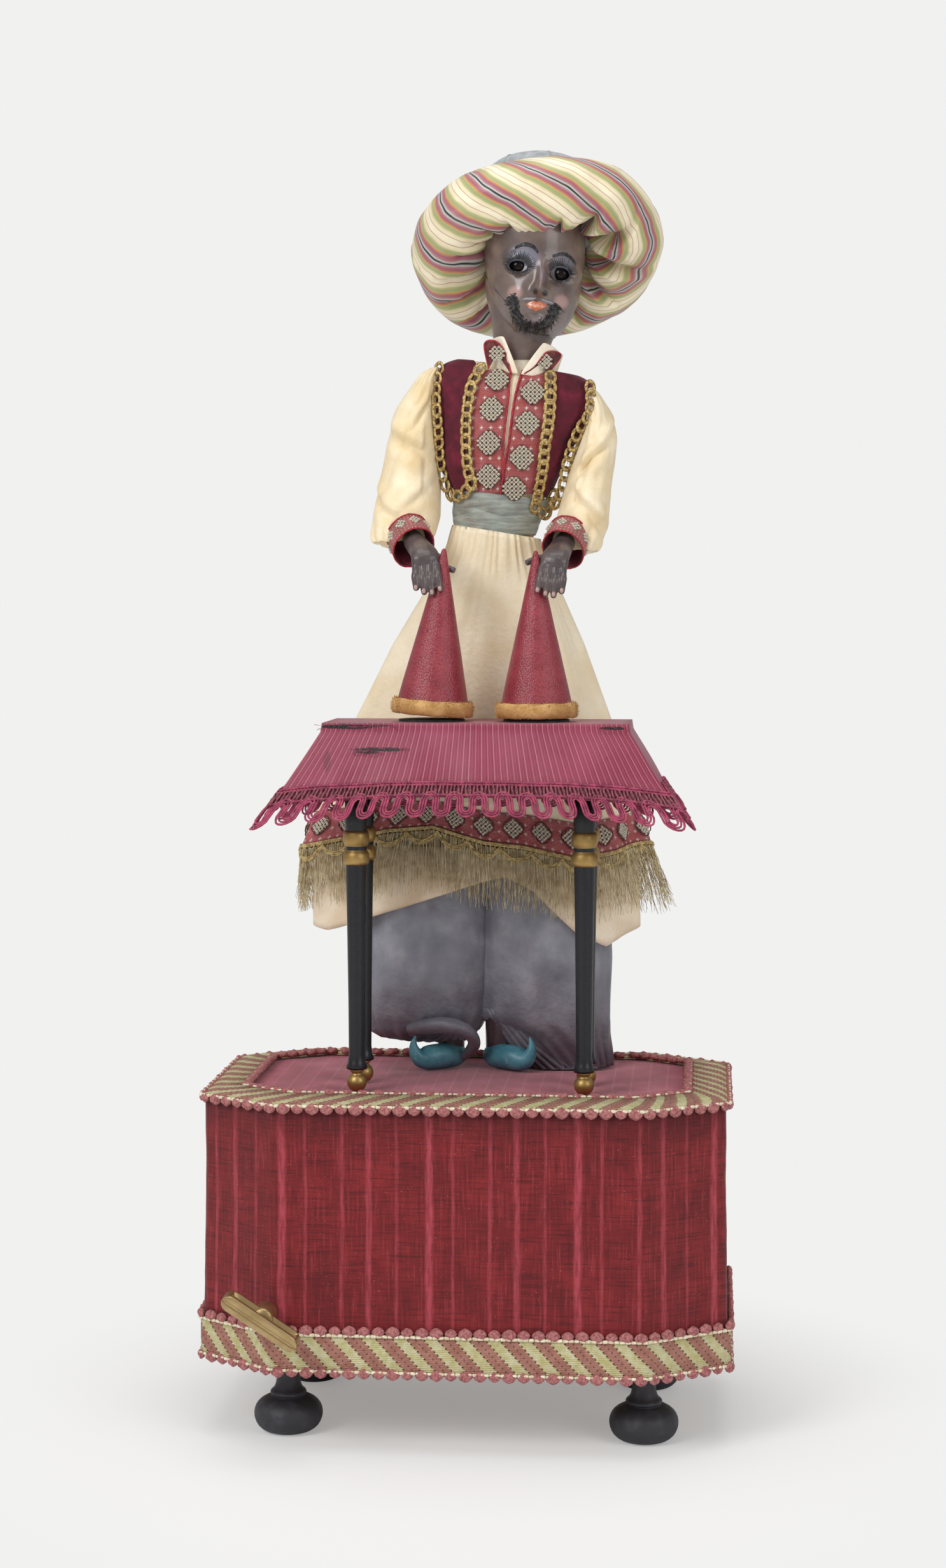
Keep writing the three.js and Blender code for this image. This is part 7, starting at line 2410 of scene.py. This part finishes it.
def build_head():
    rng = random.Random(21)
    skin, black = face_paint(), gloss("lash_black", "14100f", 0.35)
    turns = turns_round(HEAD.around)
    rows = [[head_point(turn, HEAD.height * i / HEAD.rows) for turn in turns] for i in range(HEAD.rows + 1)]
    finish(surface("painted_head", rows, caps=(0, -1)), skin, "head", ["head"], "painted_skin")
    rings = []
    for z in blends(NECK_RINGS[0][0], NECK_RINGS[-1][0], NECK.rows):
        x, wide, deep = smooth_through(NECK_RINGS, z)
        rings.append([at(x + wide * c, DOLL.y + NECK.back + deep * s, z) for c, s in circle(NECK.around)])
    finish(surface("painted_neck", rings, caps=(0, -1)), skin, "head", ["head"], "painted_skin")
    build_beard(rng)
    build_moustache()
    build_brows(black)
    build_lips()
    build_eyes(rng, skin, black)


# The turban: a puff of striped silk round a grey crown
TURBAN = Sizes(x=38.5, y=46, z=765, tube=24, around=360, sides=72, groups=10, seam=0.375, gathers=37)
TURBAN_TILT = Matrix.Rotation(math.radians(-4.8), 3, "Y") @ Matrix.Rotation(math.radians(-36), 3, "X")
TURBAN_REPEAT = 26
# Round the ring in degrees: how far out the puff's middle lies, its thickness, and how its stripes lean
PUFF = [
    (180, 58, 25, -17), (205, 55, 23, 0), (225, 51, 21.8, 17), (245, 46, 21, 34), (270, 43, 21.4, 49),
    (290, 46, 21.4, 55), (310, 50.5, 22.4, 60), (335, 55, 24, 66), (360, 57, 24.5, 68), (390, 58.5, 24.5, 54),
    (420, 58, 24.5, 34), (450, 57, 24, 14), (480, 60, 26, -4), (510, 61.5, 26.5, -14), (540, 58, 25, -17),
]
# The puff hangs lower over the forehead: how much, where round its tube and round the ring, and how wide
BROW_LIP = Sizes(drop=6, around=218, around_size=42, turn=283, turn_size=38)
# Overlapping pleats: where round the ring in degrees, how deep, how wide, how far out, and how they lean
PLEATS = [
    (232, 7, 16, 0.3, 8), (252, 8, 20, 0.34, 14), (300, 5, 22, 0.42, 24), (328, 12, 26, 0.7, 26),
    (352, 13, 26, 0.95, 22), (20, 12, 26, 0.9, 10), (44, 9, 20, 0.6, 4), (70, 6, 16, 0.4, 0),
    (100, 6, 15, 0.45, 0),
    (120, 7, 15, 0.6, -6), (138, 8, 15, 0.7, -8), (156, 8, 16, 0.7, -8), (175, 7, 16, 0.55, -6),
    (198, 6, 14, 0.4, 0),
    (214, 6, 14, 0.3, 4),
]


def gathered_share(around):
    """How near a place round the tube lies to where the silk is gathered to the face."""
    return 0.5 + 0.5 * math.cos(around - math.radians(245))


def pleat_depth(turn, around):
    """Sharp on one side and slow on the other, deepest where the silk is gathered to the face."""
    depth, gathered = 0.0, gathered_share(around)
    for place, deep, width, reach, lean in PLEATS:
        aside = (math.degrees(turn) - place + lean * (1 - gathered) + 180) % 360 - 180
        steep = width * 0.12
        if -width < aside <= 0:
            shape = (1 + aside / width) ** 2
        elif 0 < aside < steep:
            shape = 1 - smooth(aside / steep)
        else:
            continue
        depth = max(depth, 1.25 * deep * shape * smooth((gathered - 1 + reach) / reach))
    return depth


def on_turban(spot):
    return at(TURBAN.x + spot.x, TURBAN.y + spot.y, TURBAN.z + spot.z)


def turban_point(turn, around):
    degrees = (math.degrees(turn) - 180) % 360 + 180
    ring, tube, _ = smooth_through(PUFF, degrees)
    spot = Vector((math.cos(turn) + 0.4 * math.cos(around), math.sin(turn), 0.5 * math.sin(around)))
    radius = tube + 1.8 * wander(spot, 0.45, 2) + 0.8 * wander(spot, 0.16, 6) - pleat_depth(turn, around)
    lip = bell((math.degrees(around) % 360 - BROW_LIP.around) / BROW_LIP.around_size)
    radius += BROW_LIP.drop * lip * bell((degrees - BROW_LIP.turn) / BROW_LIP.turn_size)
    radius += 0.6 * math.cos(TURBAN.gathers * turn + 4 * wander(spot, 0.4, 3)) * gathered_share(around) ** 4
    reach = ring + radius * math.sin(around)
    return on_turban(
        TURBAN_TILT @ Vector((reach * math.cos(turn), reach * math.sin(turn), radius * math.cos(around)))
    )


def stripe_grid():
    """How far each point of the puff lies across the stripes, and along them."""
    leans = [math.radians(through(PUFF, 180 + 360 * i / TURBAN.around)[2]) for i in range(TURBAN.around + 1)]
    run = [0.0]
    for lean in leans[1:]:
        run.append(run[-1] + math.cos(lean))
    whole = TURBAN.groups * TURBAN_REPEAT / run[-1]
    downs = [TURN * TURBAN.tube * (k / TURBAN.sides - 0.5) for k in range(TURBAN.sides + 1)]
    return [
        [((far * whole - v * math.sin(lean)) * MM, v * MM) for v in downs] for far, lean in zip(run, leans)
    ]


def build_puff():
    count, sides = TURBAN.around, TURBAN.sides
    turns = [math.pi + TURN * i / count for i in range(count)]
    arounds = [TURN * (k / sides - TURBAN.seam + 0.25) for k in range(sides)]
    points = [turban_point(turn, around) for turn in turns for around in arounds]
    grid = stripe_grid()
    faces, corners = [], []
    for i in range(count):
        for k in range(sides):
            j, m = (i + 1) % count, (k + 1) % sides
            faces.append([i * sides + k, i * sides + m, j * sides + m, j * sides + k])
            corners += [grid[i][k], grid[i][k + 1], grid[i + 1][k + 1], grid[i + 1][k]]
    puff = mesh_object("turban_puff", points, faces, corners)
    finish(puff, turban_silk(), "head", ["turban_ring"], "turban_silk")


CROWN = Sizes(
    tilt=Matrix.Rotation(math.radians(-22), 3, "X"), sink=6, around=64, seams=8, seam=0.35, seam_off=0.2
)
CROWN_PROFILE = [(POINT, 57.5), (15, 57.1), (27, 55.5), (35, 52.2), (39.5, 45), (41, 35), (40, 22), (37, 8)]


def build_crown():
    grey = felt_grey()
    smooth_line = curve_through([Vector((r, z, 0)) for r, z in CROWN_PROFILE], 3)
    profile = [(max(p.x, 0.02), p.y) for p in smooth_line]
    rows = []
    for r, z in profile:
        ring = [Vector((r * c, r * s, z - CROWN.sink)) for c, s in circle(CROWN.around)]
        rows.append([on_turban(CROWN.tilt @ spot) for spot in ring])
    finish(solid("grey_crown", rows), grey, "head", ["turban_crown"], "grey_cloth")
    seams = []
    for c, s in circle(CROWN.seams, TURN * 0.3 / CROWN.seams):
        spots = [
            Vector(((r + CROWN.seam_off) * c, (r + CROWN.seam_off) * s, z - CROWN.sink + 0.1)) for r,
            z in profile
        ]
        seams.append([on_turban(CROWN.tilt @ spot) for spot in spots])
    threads("crown_seams", seams, CROWN.seam, grey, "head")


build_head()
build_puff()
build_crown()

# The hidden clockwork keeps its own solids and takes brass and steel
BRASS_NODES = ("movement_front_plate", "movement_back_plate", "spring_barrel", "neck_yoke", "fly_governor")
STEEL_NODES = (
    "winding_arbor", "click", "camshaft", "lever_pivot", "lever_left_arm", "lever_right_arm", "lever_head",
    "rod_left_arm", "rod_right_arm", "rod_head", "shoulder_axle",
)
dress(BRASS_NODES, aged_brass("works_brass", "c09a52", "84632e", 0.3))
dress(STEEL_NODES, plain_steel("works_steel"))


# The room, the lights and the camera
ROOM = Sizes(spread=30, shadow_reach=0.38, shadow_fill=0.3)
WHITE = "ffffff"
PAPER = "f1f1f0"
LIGHT_TARGET = at(0, 0, 450)
# Each light's place in millimetres, its width in metres and its power
LIGHTS = {
    "light_front_left": ((-1500, -1900, 1900), 1.2, 36),
    "light_front_right": ((1800, -1500, 1300), 1.2, 14),
    "light_top": ((0, -200, 2300), 1.4, 14),
}
AIR_STRENGTH = 0.42
CAMERA = Sizes(away=1700, height=528, side=math.radians(5.02), drop=math.radians(3.93), lens=60.33, sensor=36)


def plain_floor():
    """White paper that shows soft shadows near the doll, lightened there by a share of painted glow, and the
    same light grey everywhere else.
    """
    made = Finish("studio_floor", Roughness=0.9, Base_Color=tint("fbfbfb"))
    glow = made.node("Emission", {"Color": tint(PAPER), "Strength": 1.0})
    far = made.node("VectorMath", {0: made.place}, output="Value", operation="LENGTH")
    stops = [(ROOM.shadow_reach * 0.4, ROOM.shadow_fill), (ROOM.shadow_reach, 1.0)]
    seen = made.math(
        "MULTIPLY", made.node("LightPath", {}, output="Is Camera Ray"), made.ramp(far, stops, "EASE")
    )
    mixed = made.node("MixShader", {"Fac": seen, 1: made.shader.outputs["BSDF"], 2: glow})
    made.tree.links.new(mixed, made.tree.nodes["Material Output"].inputs["Surface"])
    return made.material


def build_floor():
    half = ROOM.spread / 2
    corners = [Vector((x, y, 0)) for x, y in ((-half, -half), (half, -half), (half, half), (-half, half))]
    floor = mesh_object("studio_floor", corners, [[0, 1, 2, 3]])
    floor.data.materials.append(plain_floor())


def build_lights():
    for name, (place, size, power) in LIGHTS.items():
        data = bpy.data.lights.new(name, "AREA")
        data.shape = "RECTANGLE"
        data.size = data.size_y = size
        data.energy = power
        light = placed(name, data)
        light.location = at(*place)
        light.rotation_euler = (LIGHT_TARGET - light.location).to_track_quat("-Z", "Y").to_euler()


def build_air():
    """White air for the light, seen by the camera as paper."""
    world = bpy.data.worlds.new("studio_air")
    world.use_nodes = True
    tree = world.node_tree
    air = tree.nodes["Background"]
    air.inputs["Color"].default_value = tint(WHITE)
    air.inputs["Strength"].default_value = AIR_STRENGTH
    choice = {
        "Fac": tree_node(tree, "ShaderNodeLightPath", {})["Is Camera Ray"],
        1: air.outputs["Background"],
        2: tree_node(tree, "ShaderNodeBackground", {"Color": tint(PAPER)})["Background"],
    }
    mixed = tree_node(tree, "ShaderNodeMixShader", choice)["Shader"]
    tree.links.new(mixed, tree.nodes["World Output"].inputs["Surface"])
    bpy.context.scene.world = world


def build_camera():
    data = bpy.data.cameras.new("camera")
    data.sensor_fit = "VERTICAL"
    data.sensor_height = CAMERA.sensor
    data.lens = CAMERA.lens
    camera = placed("camera", data)
    across, ahead = math.sin(CAMERA.side), math.cos(CAMERA.side)
    camera.location = at(CAMERA.away * across, -CAMERA.away * ahead, CAMERA.height)
    level = math.cos(CAMERA.drop)
    aim = Vector((-across * level, ahead * level, -math.sin(CAMERA.drop)))
    camera.rotation_euler = aim.to_track_quat("-Z", "Y").to_euler()
    bpy.context.scene.camera = camera
    bpy.context.scene.view_settings.view_transform = "Standard"


# Everything is made here
build_floor()
build_lights()
build_air()
build_camera()
for part in PARTS:
    bpy.data.objects.remove(part)
